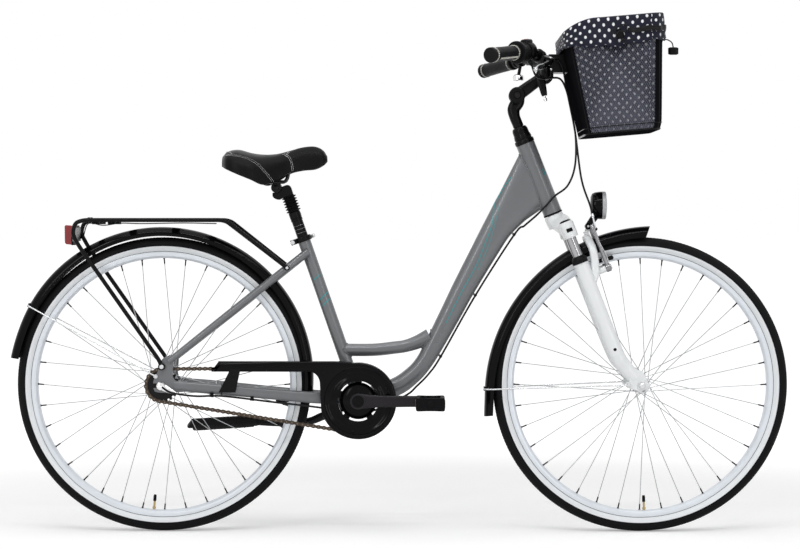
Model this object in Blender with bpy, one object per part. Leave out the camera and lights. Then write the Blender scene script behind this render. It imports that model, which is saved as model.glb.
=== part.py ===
"""City bike with a low step-through frame, built in metres.

+X is forward, +Y is the bike's left and +Z is up. The origin is on the ground below the middle.
The drive side, with the chain and its guard, is the right side, at -Y.
"""

from math import atan2, cos, hypot, pi, radians, sin, sqrt

import bmesh
import bpy
from mathutils import Vector

for item in list(bpy.data.objects):
    bpy.data.objects.remove(item, do_unlink=True)

# Clearances
GAP = 0.0003
RUN = 0.0004

# Wheels
WHEEL_RADIUS = 0.350
TYRE_WIDTH = 0.041
TYRE_HEIGHT = 0.034
TREAD_FLAT = 0.006
RIM_DEPTH = 0.016
RIM_WIDTH = 0.027
RIM_WALL = 0.003
BEAD_DEPTH = 0.0062
SPOKES = 36
SPOKE_RADIUS = 0.0011
WHEEL_STEPS = 36
HUB_FLANGE_REAR = 0.031
HUB_FLANGE_FRONT = 0.021
FLANGE_Y = 0.029
FLANGE_HALF = 0.0025
SPOKE_OFFSET = 0.00115
AXLE_RADIUS = 0.005

# Frame layout
HEAD_LEAN = radians(21.6)
SEAT_LEAN = radians(19.3)
RAKE = 0.0434
BB_DROP = 0.036
STAY_CLEAR = 0.114
FRONT_CLEAR = 0.319
HEAD_CLEAR = 0.1025
HEAD_LENGTH = 0.180
HEAD_RADIUS = 0.0225
SEAT_TUBE_LENGTH = 0.410
SEAT_TUBE_RADIUS = 0.0152
POST_RADIUS = 0.0131
PLUNGER_RADIUS = 0.0100
BOOT_LOW = 0.062
BOOT_RADIUS = 0.0180
BB_RADIUS = 0.0205
BB_HALF_WIDTH = 0.034
DROPOUT_INNER = 0.0603
DROPOUT_THICK = 0.006
CLAMP_BOLT = 0.0190
CAM_RADIUS = 0.0050
RAIL_RADIUS = 0.0034

# Steering and suspension
STEERER_RADIUS = 0.0143
HEAD_BORE = 0.0170
QUILL_RADIUS = 0.0111
STANCHION_RADIUS = 0.0127
STANCHION_Y = 0.058
STANCHION_OFFSET = 0.0150
HUB_SPACE_FRONT = 0.0503
BRAKE_STUD = WHEEL_RADIUS - 0.0623
BRAKE_STUD_Y = 0.042
BRAKE_STUD_FORE = 0.0725

# Drive
CHAINRING_TEETH = 38
SPROCKET_TEETH = 19
PITCH = 0.0127
CHAIN_LINE = -0.048
CHAIN_HALF_WIDTH = 0.0045
CHAIN_HALF_HEIGHT = 0.0042
TOOTH_HALF_WIDTH = 0.0011
CRANK_LENGTH = 0.170
SPINDLE_RADIUS = 0.0085
GUARD_RADIUS = 0.0905
GUARD_HOLE = 0.0475

# Mudguards
GUARD_HALF_WIDTH = 0.0262
GUARD_DEPTH = 0.020
GUARD_SHEET = 0.0016
# First angle, last angle and number of flats, from level ahead of each wheel
REAR_SPAN = (-5, 172, 20)
FRONT_SPAN = (92, 186.5, 11)

# Handlebar
BAR_RADIUS = 0.0111
BAR_CENTRE_RADIUS = 0.0127
GRIP_RADIUS = 0.0168
BAR_HALF_WIDTH = 0.300
TWIST_START = 0.0265
TWIST_END = 0.0640

# Basket, cords and cables
WALL = 0.0025
KNEE = 0.06
CLOTH = 0.0014
HOOK_HEIGHT = 0.165
HOOK_HALF = 0.0055
CORNER_ANGLES = (0, 45, 90)
LINER_STEPS = 6
CORD_RADIUS = 0.0014
CABLE_RADIUS = 0.0024
CLIP_HEIGHT = 0.0026

# Number of flats on round pieces that fit one another
ROUND = 12

# Derived places
CHAINSTAY = WHEEL_RADIUS + STAY_CLEAR
REAR_X = -(CHAINSTAY + WHEEL_RADIUS + FRONT_CLEAR) / 2 + 0.0045
BB = Vector((REAR_X + CHAINSTAY, 0, WHEEL_RADIUS - BB_DROP))
REAR = Vector((REAR_X, 0, WHEEL_RADIUS))
FRONT = Vector((BB.x + WHEEL_RADIUS + FRONT_CLEAR, 0, WHEEL_RADIUS))
STEER_UP = Vector((-sin(HEAD_LEAN), 0, cos(HEAD_LEAN)))
STEER_FORE = Vector((cos(HEAD_LEAN), 0, sin(HEAD_LEAN)))
SEAT_UP = Vector((-sin(SEAT_LEAN), 0, cos(SEAT_LEAN)))
SEAT_FORE = Vector((cos(SEAT_LEAN), 0, sin(SEAT_LEAN)))
LEFT = Vector((0, 1, 0))
UP = Vector((0, 0, 1))
FORE = Vector((1, 0, 0))
HEAD_LOW = WHEEL_RADIUS + HEAD_CLEAR
HEAD_HIGH = HEAD_LOW + HEAD_LENGTH
RIM_TOP = WHEEL_RADIUS - TYRE_HEIGHT - GAP
RIM_INNER = RIM_TOP - RIM_DEPTH
RING_RADIUS = PITCH / 2 / sin(pi / CHAINRING_TEETH)
SPROCKET_RADIUS = PITCH / 2 / sin(pi / SPROCKET_TEETH)


def on_steer(t, o=0.0, y=0.0):
    """A point t up the steering axis from beside the front axle, o ahead of that axis."""
    return FRONT + STEER_UP * t + STEER_FORE * (o - RAKE) + LEFT * y


def on_seat(t, o=0.0, y=0.0):
    """A point t up the seat tube's axis from the bottom bracket, o ahead of it."""
    return BB + Vector((0.002, 0, 0)) + SEAT_UP * t + SEAT_FORE * o + LEFT * y


# Materials

LOOKS = {
    "frame_grey": ((0.19, 0.197, 0.203), 0.35, 0.3),
    "fork_white": ((0.86, 0.88, 0.88), 0.25, 0.0),
    "black_gloss": ((0.012, 0.012, 0.014), 0.2, 0.0),
    "black_satin": ((0.025, 0.025, 0.027), 0.5, 0.0),
    "black_steel": ((0.03, 0.03, 0.032), 0.4, 0.5),
    "crank_grey": ((0.055, 0.05, 0.055), 0.45, 0.3),
    "silver": ((0.70, 0.71, 0.72), 0.3, 1.0),
    "chrome": ((0.85, 0.85, 0.86), 0.12, 1.0),
    "rim_silver": ((0.78, 0.80, 0.83), 0.35, 0.8),
    "tyre_black": ((0.02, 0.02, 0.02), 0.8, 0.0),
    "rubber": ((0.03, 0.03, 0.03), 0.7, 0.0),
    "saddle_black": ((0.03, 0.03, 0.032), 0.55, 0.0),
    "grip_black": ((0.04, 0.04, 0.042), 0.6, 0.0),
    "chain_brown": ((0.25, 0.17, 0.11), 0.45, 0.8),
    "light_red": ((0.55, 0.01, 0.015), 0.2, 0.0),
    "cloth_navy": ((0.02, 0.02, 0.045), 0.85, 0.0),
    "cable_black": ((0.02, 0.02, 0.02), 0.45, 0.0),
}


def look(name):
    if name in bpy.data.materials:
        return bpy.data.materials[name]
    colour, roughness, metallic = LOOKS[name]
    material = bpy.data.materials.new(name)
    material.use_nodes = True
    shader = material.node_tree.nodes["Principled BSDF"]
    shader.inputs["Base Color"].default_value = (*colour, 1)
    shader.inputs["Roughness"].default_value = roughness
    shader.inputs["Metallic"].default_value = metallic
    material.diffuse_color = (*colour, 1)
    return material


# Shape helpers: each gives (points, faces) of one closed shape

def unit(vector):
    return Vector(vector).normalized()


def stacked(loops):
    """A closed shape through loops of as many points each; the first and last are its ends."""
    count = len(loops[0])
    points = [point for loop in loops for point in loop]
    faces = []
    for level in range(len(loops) - 1):
        for step in range(count):
            following = (step + 1) % count
            low, high = level * count, (level + 1) * count
            faces.append((low + step, low + following, high + following, high + step))
    faces.append(tuple(range(count))[::-1])
    faces.append(tuple(range((len(loops) - 1) * count, len(loops) * count)))
    return points, faces


def slit(shape):
    """The same shape with each four-sided face split the same way, so that two of them nest."""
    points, faces = shape
    found = []
    for face in faces:
        if len(face) == 4:
            found += [face[:3], (face[0], face[2], face[3])]
        else:
            found.append(face)
    return points, found


def oval(centre, wide, deep, sides, square=1.0):
    """Points round an oval given by two half-size vectors; square under 1 fills its corners."""
    found = []
    for step in range(sides):
        angle = 2 * pi * (step + 0.5) / sides
        c, s = cos(angle), sin(angle)
        c = abs(c) ** square * (1 if c > 0 else -1)
        s = abs(s) ** square * (1 if s > 0 else -1)
        found.append(centre + wide * c + deep * s)
    return found


def sweep(path, sizes, sides=10, side=LEFT, square=1.0, upright=False):
    """A tube along path. A size is a radius or (half size along side, half size across it).

    upright keeps its flats facing side all the way, which suits a path that never runs that way.
    """
    path = [Vector(point) for point in path]
    count = len(path)
    if isinstance(sizes, (int, float, tuple)):
        sizes = [sizes] * count
    loops = []
    across = Vector(side)
    for index, point in enumerate(path):
        if index == 0 or index + 1 == count:
            along = unit(path[min(index + 1, count - 1)] - path[max(index - 1, 0)])
        else:
            along = unit(unit(path[index + 1] - point) + unit(point - path[index - 1]))
        across = Vector(side) if upright else across
        across = unit(across - along * across.dot(along))
        size = sizes[index]
        wide, deep = size if isinstance(size, tuple) else (size, size)
        loops.append(oval(point, across * wide, along.cross(across) * deep, sides, square))
    return stacked(loops)


def turned(profile, centre, axis=LEFT, steps=24, start=UP):
    """A closed (radius, height) profile turned round axis. Radius 0 makes one pole point."""
    axis = unit(axis)
    first = unit(Vector(start) - axis * Vector(start).dot(axis))
    second = axis.cross(first)
    points, rings = [], []
    for radius, height in profile:
        ring = []
        if radius == 0:
            points.append(Vector(centre) + axis * height)
            ring = [len(points) - 1] * steps
        else:
            for step in range(steps):
                angle = 2 * pi * (step + 0.5) / steps
                ring.append(len(points))
                points.append(
                    Vector(centre) + axis * height + (first * cos(angle) + second * sin(angle)) * radius
                )
        rings.append(ring)
    faces = []
    for index, ring in enumerate(rings):
        above = rings[(index + 1) % len(rings)]
        if profile[index][0] == 0 and profile[(index + 1) % len(rings)][0] == 0:
            continue
        for step in range(steps):
            following = (step + 1) % steps
            corners = [ring[step], ring[following], above[following], above[step]]
            faces.append(tuple(dict.fromkeys(corners)))
    return points, faces


def plate(outline, low, high, origin=(0, 0, 0), first=FORE, second=UP, normal=LEFT):
    """An outline of (first, second) pairs, extruded along normal from low to high."""
    base = [Vector(origin) + Vector(first) * a + Vector(second) * b for a, b in outline]
    count = len(base)
    points = [point + Vector(normal) * low for point in base]
    points += [point + Vector(normal) * high for point in base]
    faces = [tuple(range(count))[::-1], tuple(range(count, 2 * count))]
    for index in range(count):
        following = (index + 1) % count
        faces.append((index, following, following + count, index + count))
    return points, faces


def block(centre, halves, first=FORE, second=LEFT, third=UP):
    a, b, c = halves
    outline = [(-a, -b), (a, -b), (a, b), (-a, b)]
    return plate(outline, -c, c, centre, first, second, third)


def rod(start, end, radius, sides=12, side=LEFT):
    along = unit(Vector(end) - Vector(start))
    if abs(along.dot(Vector(side))) > 0.9:
        side = UP if abs(along.z) < 0.9 else FORE
    return sweep([start, end], radius, sides, side)


def arc(radius, start, end, steps, centre=(0.0, 0.0)):
    """Points (a, b) on a circle, from start to end in degrees."""
    found = []
    for step in range(steps + 1):
        angle = radians(start + (end - start) * step / steps)
        found.append((centre[0] + radius * cos(angle), centre[1] + radius * sin(angle)))
    return found


def smooth(points, steps):
    """A curve through points, as Catmull-Rom steps between them."""
    points = [Vector(point) for point in points]
    ends = [points[0] * 2 - points[1]] + points + [points[-1] * 2 - points[-2]]
    found = []
    for index in range(1, len(ends) - 2):
        a, b, c, d = ends[index - 1:index + 3]
        for step in range(steps):
            f = step / steps
            found.append(
                b + (c - a) * f / 2 + (a * 2 - b * 5 + c * 4 - d) * f * f / 2
                + (b * 3 - a - c * 3 + d) * f ** 3 / 2
            )
    return found + [points[-1]]


def flip(points):
    """The same points on the other side of the bike."""
    return [Vector((p[0], -p[1], p[2])) for p in points]


def mirrored(shape):
    points, faces = shape
    return flip(points), [tuple(reversed(face)) for face in faces]


def add(name, shape, colour, origin=(0, 0, 0), sharp=35):
    points, faces = shape
    origin = Vector(origin)
    mesh = bpy.data.meshes.new(name)
    mesh.from_pydata([Vector(point) - origin for point in points], [], faces)
    work = bmesh.new()
    work.from_mesh(mesh)
    bmesh.ops.recalc_face_normals(work, faces=work.faces)
    work.to_mesh(mesh)
    work.free()
    mesh.materials.append(look(colour))
    obj = bpy.data.objects.new(name, mesh)
    obj.location = origin
    bpy.context.scene.collection.objects.link(obj)
    finish(obj, sharp)
    return obj


def finish(obj, sharp=35):
    obj.data.shade_smooth()
    obj.data.set_sharp_from_angle(angle=radians(sharp))


def boolean(target, shape, operation):
    """Joins shape to target, or cuts it away, and keeps the result as target's mesh."""
    other = add("tool", shape, "silver")
    other.display_type = "WIRE"
    other.hide_render = True
    step = target.modifiers.new("Boolean", "BOOLEAN")
    step.operation = operation
    step.solver = "EXACT"
    step.object = other
    bpy.context.view_layer.update()
    graph = bpy.context.evaluated_depsgraph_get()
    mesh = bpy.data.meshes.new_from_object(target.evaluated_get(graph))
    target.modifiers.clear()
    target.data = mesh
    bpy.data.objects.remove(other, do_unlink=True)
    finish(target)


def join(target, *shapes):
    for shape in shapes:
        boolean(target, shape, "UNION")


def cut(target, *shapes):
    for shape in shapes:
        boolean(target, shape, "DIFFERENCE")


def together(shapes):
    points, faces = [], []
    for some_points, some_faces in shapes:
        base = len(points)
        points += some_points
        faces += [tuple(base + index for index in face) for face in some_faces]
    return points, faces


# Frame

def frame_line(along, off):
    """A point between the bottom bracket and the head tube's middle, as shares of that line."""
    head = on_steer((HEAD_LOW + HEAD_HIGH) / 2)
    run = head - BB
    across = Vector((run.z, 0, -run.x)).normalized()
    return BB + run * along + across * off


def chainstay_points():
    return [
        REAR + Vector((0.030, -0.0650, -0.001)),
        REAR + Vector((0.100, -0.0610, -0.006)),
        Vector((REAR_X + WHEEL_RADIUS - 0.060, -0.0400, WHEEL_RADIUS - 0.024)),
        Vector((REAR_X + WHEEL_RADIUS + 0.012, -0.0362, WHEEL_RADIUS - 0.030)),
        BB + Vector((-0.014, -0.0230, 0.002)),
    ]


def seatstay_points():
    top = on_seat(SEAT_TUBE_LENGTH - 0.038, 0, -0.019)
    low = REAR + Vector((0.017, -0.0650, 0.057))
    return [
        low,
        low.lerp(top, 0.45) + Vector((0, -0.003, 0)),
        low.lerp(top, 0.80) + Vector((0, -0.0095, 0)),
        low.lerp(top, 0.90) + Vector((0, -0.0035, 0)),
        top,
    ]


DOWN_TUBE = (
    # share of the line from the bottom bracket, distance off it, half depth, half width
    (0.867, -0.0064, 0.0450, 0.0180),
    (0.783, -0.0032, 0.0355, 0.0190),
    (0.701, 0.0055, 0.0320, 0.0195),
    (0.538, 0.0254, 0.0275, 0.0200),
    (0.446, 0.0386, 0.0255, 0.0200),
    (0.315, 0.0566, 0.0225, 0.0205),
    (0.245, 0.0642, 0.0208, 0.0210),
    (0.186, 0.0627, 0.0210, 0.0215),
    (0.113, 0.0485, 0.0220, 0.0220),
    (0.0, 0.0, 0.0200, 0.0220),
)


def down_tube():
    """Deep where it meets the head, then curving forward and down into the bottom bracket."""
    sides, square = 10, 0.85
    middle = on_steer((HEAD_LOW + HEAD_HIGH) / 2)
    loops = [
        oval(middle, LEFT * 0.0150, STEER_UP * -0.0740, sides, square),
        oval(middle - STEER_FORE * 0.0250, LEFT * 0.0165, STEER_UP * -0.0700, sides, square),
    ]
    path = [middle] + [frame_line(along, off) for along, off, deep, wide in DOWN_TUBE]
    for index, (along, off, deep, wide) in enumerate(DOWN_TUBE):
        here = path[index + 1]
        after = path[min(index + 2, len(path) - 1)]
        down = unit(after - path[index])
        loops.append(oval(here, LEFT * wide, down.cross(LEFT) * deep, sides, square))
    return stacked(loops)


def main_frame():
    head_low, head_high = on_steer(HEAD_LOW), on_steer(HEAD_HIGH)
    frame = add("main_frame", rod(head_low, head_high, HEAD_RADIUS, ROUND), "frame_grey")
    join(frame, down_tube())
    seat_low, seat_high = on_seat(0.0), on_seat(SEAT_TUBE_LENGTH)
    join(frame, rod(seat_low, seat_high, SEAT_TUBE_RADIUS, ROUND))
    cross = [
        on_seat(0.1245), frame_line(0.166, -0.0483), frame_line(0.217, -0.0140), frame_line(0.250, 0.0065),
        frame_line(0.288, 0.0226), frame_line(0.330, 0.0350),
    ]
    join(frame, sweep(cross, [0.0150] * 4 + [0.0165, 0.0180], 8))
    join(frame, rod(BB - LEFT * BB_HALF_WIDTH, BB + LEFT * BB_HALF_WIDTH, BB_RADIUS + 0.0015, ROUND))
    for side in (lambda shape: shape, mirrored):
        stay = chainstay_points()
        sizes = [(0.0040, 0.0110), (0.0080, 0.0125), (0.0078, 0.0130), (0.0070, 0.0138), (0.0090, 0.0130)]
        join(frame, side(sweep(stay, sizes, 6, square=0.8)))
        join(frame, side(sweep(seatstay_points(), [0.0075, 0.0092, 0.0095, 0.0095, 0.0095], 6)))
        outline = [(-0.016, -0.014), (0.012, -0.016), (0.060, -0.012), (0.060, 0.009)]
        outline += [(0.030, 0.014), (0.028, 0.062), (0.006, 0.066), (-0.007, 0.046), (-0.018, 0.014)]
        join(frame, side(plate(outline, -DROPOUT_INNER - DROPOUT_THICK, -DROPOUT_INNER, REAR)))
    # Bridges carry the mudguard between the stays, and a plate carries the stand.
    mud_centre, mud_radius = rear_mudguard_circle()
    toward = unit(Vector((0.277, 0, 0.2506)))
    high = mud_centre + toward * (mud_radius + GAP + 0.0055)
    join(frame, rod(high - LEFT * 0.040, high + LEFT * 0.040, 0.0055, 8))
    low = Vector((REAR_X + WHEEL_RADIUS + 0.0262, 0, WHEEL_RADIUS - 0.0290))
    join(frame, rod(low - LEFT * 0.0355, low + LEFT * 0.0355, 0.0060, 6))
    join(frame, rod(stand_pivot() - STAND_AXIS * 0.0280, stand_pivot() - STAND_AXIS * 0.0063, 0.0115, 10))
    join(frame, block(stand_pivot() + Vector((0.0, -0.0213, 0.0110)), (0.0115, 0.0080, 0.0220)))
    for spot, toward in cable_stops():
        join(frame, rod(spot - toward * 0.0040, spot + toward * CLIP_HEIGHT, 0.0026, 6))
    cut(frame, rod(on_steer(HEAD_LOW - 0.01), on_steer(HEAD_HIGH + 0.01), HEAD_BORE, ROUND))
    cut(frame, rod(on_steer(HEAD_HIGH - 0.008), on_steer(HEAD_HIGH + 0.01), 0.0205, ROUND))
    cut(frame, rod(on_seat(0.160), on_seat(SEAT_TUBE_LENGTH + 0.02), POST_RADIUS + GAP, ROUND))
    cut(frame, rod(BB - LEFT * 0.05, BB + LEFT * 0.05, BB_RADIUS - 0.0035, ROUND))
    slot = [(-0.03, -AXLE_RADIUS - GAP), (0.0, -AXLE_RADIUS - GAP)]
    slot += arc(AXLE_RADIUS + GAP, -60, 60, 3) + [(0.0, AXLE_RADIUS + GAP), (-0.03, AXLE_RADIUS + GAP)]
    cut(frame, plate(slot, -0.08, -0.05, REAR), plate(slot, 0.05, 0.08, REAR))
    return frame


def headset_upper():
    low = HEAD_HIGH
    # The corners of what turns inside clear the flats of these bores.
    bore = (STEERER_RADIUS + RUN) / cos(pi / ROUND)
    neck = (QUILL_RADIUS + RUN) / cos(pi / ROUND)
    profile = [
        (bore, -0.0075), (0.0202, -0.0075), (0.0202, GAP), (0.0235, GAP), (0.0235, 0.010),
        (0.0200, 0.0220), (0.0188, 0.0345), (0.0140, 0.0420), (neck, 0.0420), (neck, 0.0300),
        (bore, 0.0300),
    ]
    return add("headset_upper", turned(profile, on_steer(low), STEER_UP, ROUND, LEFT), "black_satin")


def bottom_bracket():
    outer, inner = BB_RADIUS - 0.0035 - GAP, SPINDLE_RADIUS + GAP
    half = BB_HALF_WIDTH + 0.002
    profile = [(inner, -half), (outer, -half), (outer, half), (inner, half)]
    return add("bottom_bracket", turned(profile, BB, LEFT, ROUND), "black_steel")


def cable_stops():
    """Where the shift cable is clipped to the frame, and the way each clip points."""
    found = []
    run = on_steer((HEAD_LOW + HEAD_HIGH) / 2) - BB
    for along, off in ((0.793, 0.0325), (0.542, 0.0525), (0.299, 0.0808)):
        found.append((frame_line(along, off) - LEFT * 0.004, unit((run.z, 0, -run.x))))
    return found


# Rear wheel and its axle

def hub_profile(flange, barrel, ends):
    left, right = ends
    bore = AXLE_RADIUS + RUN
    reach = FLANGE_Y - FLANGE_HALF
    end = FLANGE_Y + FLANGE_HALF
    return [
        (bore, right), (barrel - 0.004, right), (barrel, -end), (flange, -end), (flange, -reach),
        (barrel, -reach), (barrel, reach), (flange, reach), (flange, end), (barrel, end),
        (barrel - 0.004, left), (bore, left),
    ]


def spokes(centre, flange):
    """Spokes laced three cross, half to each flange, ending at the rim's inner face.

    Those that lean forward lie outside those that lean back, so that they pass.
    """
    shapes = []
    lean = radians(720 * 3 / SPOKES)
    for index in range(SPOKES):
        rim_angle = 2 * pi * index / SPOKES
        side = 1 if index % 2 else -1
        turn = 1 if index // 2 % 2 else -1
        hub_angle = rim_angle + turn * lean
        radius = flange - 0.0035
        shift = side * turn * SPOKE_OFFSET
        start = Vector((cos(hub_angle) * radius, side * FLANGE_Y + shift, sin(hub_angle) * radius))
        reach = RIM_INNER * cos(pi / WHEEL_STEPS) - GAP
        end = Vector((cos(rim_angle) * reach, side * 0.003 + shift, sin(rim_angle) * reach))
        shapes.append(rod(centre + start, centre + end, SPOKE_RADIUS, 3))
    return together(shapes)


def hub(name, centre, flange, barrel, ends):
    obj = add(name, turned(hub_profile(flange, barrel, ends), centre, LEFT, ROUND), "silver", centre)
    join(obj, spokes(centre, flange))
    return obj


def rim(name, centre):
    half, lip = RIM_WIDTH / 2, RIM_TOP
    profile = [
        (RIM_INNER, -half * 0.6), (lip, -half), (lip - BEAD_DEPTH, -half + RIM_WALL),
        (lip - BEAD_DEPTH, half - RIM_WALL), (lip, half), (RIM_INNER, half * 0.6),
    ]
    return add(name, turned(profile, centre, LEFT, WHEEL_STEPS), "rim_silver", centre)


def tyre(name, centre):
    half = TYRE_WIDTH / 2
    base = WHEEL_RADIUS - TYRE_HEIGHT
    seat = base - BEAD_DEPTH + GAP
    grip = RIM_WIDTH / 2 - RIM_WALL - GAP * 2
    # The flats of the turned ring lie at the stated radius, so the tyre meets the ground at 0.
    grow = 1 / cos(pi / WHEEL_STEPS)
    outer = [
        (base + 0.0003, RIM_WIDTH / 2 - 0.0008), (base + 0.013, half), (WHEEL_RADIUS, TREAD_FLAT),
    ]
    profile = [(seat, -grip)] + [(r, -y) for r, y in outer]
    profile += [(r, y) for r, y in reversed(outer)] + [(seat, grip)]
    profile = [(r * grow if r > base + 0.005 else r, y) for r, y in profile]
    return add(name, turned(profile, centre, LEFT, WHEEL_STEPS), "tyre_black", centre)


def rear_axle():
    r = AXLE_RADIUS
    face = DROPOUT_INNER + DROPOUT_THICK + GAP
    inside = DROPOUT_INNER - GAP
    profile = [
        (0, -0.0880), (0.0080, -0.0875), (0.0105, -face), (r, -face), (r, -inside), (0.0085, -inside),
        (0.0085, -0.0555), (r, -0.0555), (r, 0.0390), (0.0085, 0.0390), (0.0085, 0.0510), (r, 0.0510),
        (r, 0.0541), (0.0095, 0.0541), (0.0095, inside), (r, inside), (r, face), (0.0105, face),
        (0.0100, face + 0.0100), (0.0040, 0.0840), (0, 0.0840),
    ]
    return add("rear_axle", turned(profile, REAR, LEFT, 8), "silver")


def coaster_arm():
    """The rear hub's brake arm, on the left, held to the chainstay by a clip."""
    low, high = 0.0513, 0.0538
    hole = AXLE_RADIUS + GAP
    outline = arc(0.016, 60, 300, 6)
    outline += [(0.075, -0.0235), (0.125, -0.0265), (0.127, -0.0205), (0.075, -0.0120)]
    arm = add("coaster_arm", plate(outline, low, high, REAR), "silver")
    cut(arm, rod(REAR + LEFT * 0.04, REAR + LEFT * 0.07, hole, 10))
    return arm


def rear_sprocket():
    outline = teeth(SPROCKET_TEETH, SPROCKET_RADIUS)
    low, high = CHAIN_LINE - TOOTH_HALF_WIDTH, CHAIN_LINE + TOOTH_HALF_WIDTH
    obj = add("rear_sprocket", plate(outline, low, high, REAR), "black_steel", REAR)
    join(obj, rod(REAR + LEFT * -0.0550, REAR + LEFT * -0.0342, 0.0165, 12))
    cut(obj, rod(REAR + LEFT * -0.07, REAR + LEFT * -0.02, AXLE_RADIUS + RUN, 10))
    return obj


def teeth(count, radius):
    found = []
    for index in range(count):
        for share, reach in ((0.0, radius + 0.0022), (0.5, radius - 0.0046)):
            angle = 2 * pi * (index + share) / count
            found.append((reach * cos(angle), reach * sin(angle)))
    return found


def chain():
    """One channel round both gears, with the teeth running in its groove."""
    apart = hypot(BB.x - REAR.x, BB.z - REAR.z)
    tilt = atan2(BB.z - REAR.z, BB.x - REAR.x)
    lean = atan2(RING_RADIUS - SPROCKET_RADIUS, apart)
    turns = (
        (REAR, SPROCKET_RADIUS, tilt + pi / 2 + lean, tilt + 3 * pi / 2 - lean, 8),
        (BB, RING_RADIUS, tilt - pi / 2 - lean, tilt + pi / 2 + lean, 12),
    )
    path, outwards = [], []
    for centre, radius, start, end, steps in turns:
        for step in range(steps + 1):
            angle = start + (end - start) * step / steps
            outwards.append(Vector((cos(angle), 0, sin(angle))))
            path.append(centre + outwards[-1] * radius)
    wide, high, slot = CHAIN_HALF_WIDTH, CHAIN_HALF_HEIGHT, TOOTH_HALF_WIDTH + 0.0006
    section = [(-wide, -high), (-slot, -high), (-slot, high - 0.0010), (slot, high - 0.0010), (slot, -high)]
    section += [(wide, -high), (wide, high), (-wide, high)]
    loops = []
    for point, outward in zip(path, outwards):
        loops.append([point + LEFT * (CHAIN_LINE + y) + outward * out for y, out in section])
    # The last loop leads back to the first, so the shape has no ends.
    points, faces = stacked(loops + loops[:1])
    sides, count = len(section), len(loops)
    points = points[:sides * count]
    faces = [tuple(index % (sides * count) for index in face) for face in faces[:-2]]
    return add("chain", (points, faces), "chain_brown")


# Cranks and pedals

def crank_arm(name, side, toward):
    """side is -1 for the right crank; toward is +1 when the crank points forward."""
    axle = BB + FORE * CRANK_LENGTH * toward
    inner, outer = 0.0700, 0.0842
    outline = arc(0.0195, 90, 270, 6) + [(0.045, -0.0150), (CRANK_LENGTH - 0.012, -0.0140)]
    outline += arc(0.0140, -75, 75, 4, (CRANK_LENGTH, 0)) + [(CRANK_LENGTH - 0.012, 0.0140), (0.045, 0.0150)]
    outline = [(a * toward, b) for a, b in outline]
    low, high = sorted((side * inner, side * outer))
    obj = add(name, plate(outline, low, high, BB), "crank_grey", BB)
    boss = 0.0495 if side < 0 else 0.0375
    join(obj, rod(BB + LEFT * side * boss, BB + LEFT * side * 0.0855, 0.0185, ROUND))
    # The arm steps out towards the pedal, whose spindle is screwed into it.
    join(obj, rod(axle + LEFT * side * 0.0705, axle + LEFT * side * 0.0905, 0.0125, 10))
    join(obj, rod(axle + LEFT * side * 0.0880, axle + LEFT * side * 0.1860, 0.0045, 8))
    cut(obj, rod(BB + LEFT * side * 0.02, BB + LEFT * side * 0.0838, SPINDLE_RADIUS + GAP, ROUND))
    return obj


def crank_spindle():
    half = 0.0835
    return add("crank_spindle", rod(BB - LEFT * half, BB + LEFT * half, SPINDLE_RADIUS, ROUND), "silver", BB)


def chainring():
    low, high = CHAIN_LINE - TOOTH_HALF_WIDTH, CHAIN_LINE + TOOTH_HALF_WIDTH
    outline = teeth(CHAINRING_TEETH, RING_RADIUS)
    obj = add("chainring", plate(outline, low, high, BB), "black_steel", BB)
    cut(obj, rod(BB + LEFT * -0.07, BB + LEFT * -0.02, SPINDLE_RADIUS + GAP, ROUND))
    return obj


def crank_disc():
    profile = [
        (0.0185 + GAP, -0.0510), (0.0435, -0.0510), (0.0415, -0.0575), (0.0300, -0.0630),
        (0.0185 + GAP, -0.0640),
    ]
    return add("crank_disc", turned(profile, BB, LEFT, ROUND * 2), "black_gloss", BB)


def pedal(name, side, toward):
    axle = BB + FORE * CRANK_LENGTH * toward
    low, high = 0.0915, 0.1860
    outline = [
        (-0.034, -0.0120), (-0.030, -0.0155), (0.030, -0.0155), (0.034, -0.0120), (0.034, 0.0120),
        (0.030, 0.0155), (-0.030, 0.0155), (-0.034, 0.0120),
    ]
    a, b = sorted((side * low, side * high))
    obj = add(name, plate(outline, a, b, axle), "black_satin", axle)
    for offset in (-0.0195, 0.0195):
        centre = axle + Vector((offset, side * (low + high) / 2, 0))
        cut(obj, block(centre, (0.0075, 0.0330, 0.03)))
    cut(obj, rod(axle + LEFT * side * 0.08, axle + LEFT * side * 0.20, 0.0045 + RUN, 8))
    return obj


# Chain guard

def chain_guard():
    """A face plate over the chainring and the upper run, with a flange turned in round its edge."""
    top = 0.0935
    radius = GUARD_RADIUS
    arm_x = REAR_X + 0.118 - BB.x
    arm_low = 0.0690
    outline = [(arm_x, arm_low), (arm_x + 0.018, top)]
    outline += [(-0.060, top)] + arc(radius, 90, -165, 17) + arc(0.030, 0, 70, 3, (-0.1205, 0.0405))
    outer, inner = -0.0685, -0.0660
    guard = add("chain_guard", plate(outline, outer, inner, BB), "black_gloss")
    cut(guard, rod(BB + LEFT * -0.10, BB + LEFT * -0.03, GUARD_HOLE, 20))
    flange = [(arm_x + 0.018, top), (-0.060, top)] + arc(radius, 90, -90, 12)
    thick = 0.0022
    inside = []
    for index, (a, b) in enumerate(flange):
        inside.append((a, b - thick) if index < 2 else (a * (1 - thick / radius), b * (1 - thick / radius)))
    join(guard, plate(flange + inside[::-1], outer + 0.0005, -0.0405, BB))
    # A strap below the arm clips to the chainstay.
    stay = chainstay_points()
    foot = stay[1].lerp(stay[2], 0.22)
    slope = (stay[2].y - stay[1].y) / (stay[2].x - stay[1].x)
    strap = [(-0.010, -0.0060), (0.010, -0.0060), (0.030, 0.0500), (0.008, 0.0500)]
    seat = foot.y - 0.0076 - 0.010 * slope - GAP
    join(guard, plate(strap, outer, seat, Vector((foot.x, 0, foot.z))))
    return guard


# Mudguards and stays

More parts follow.
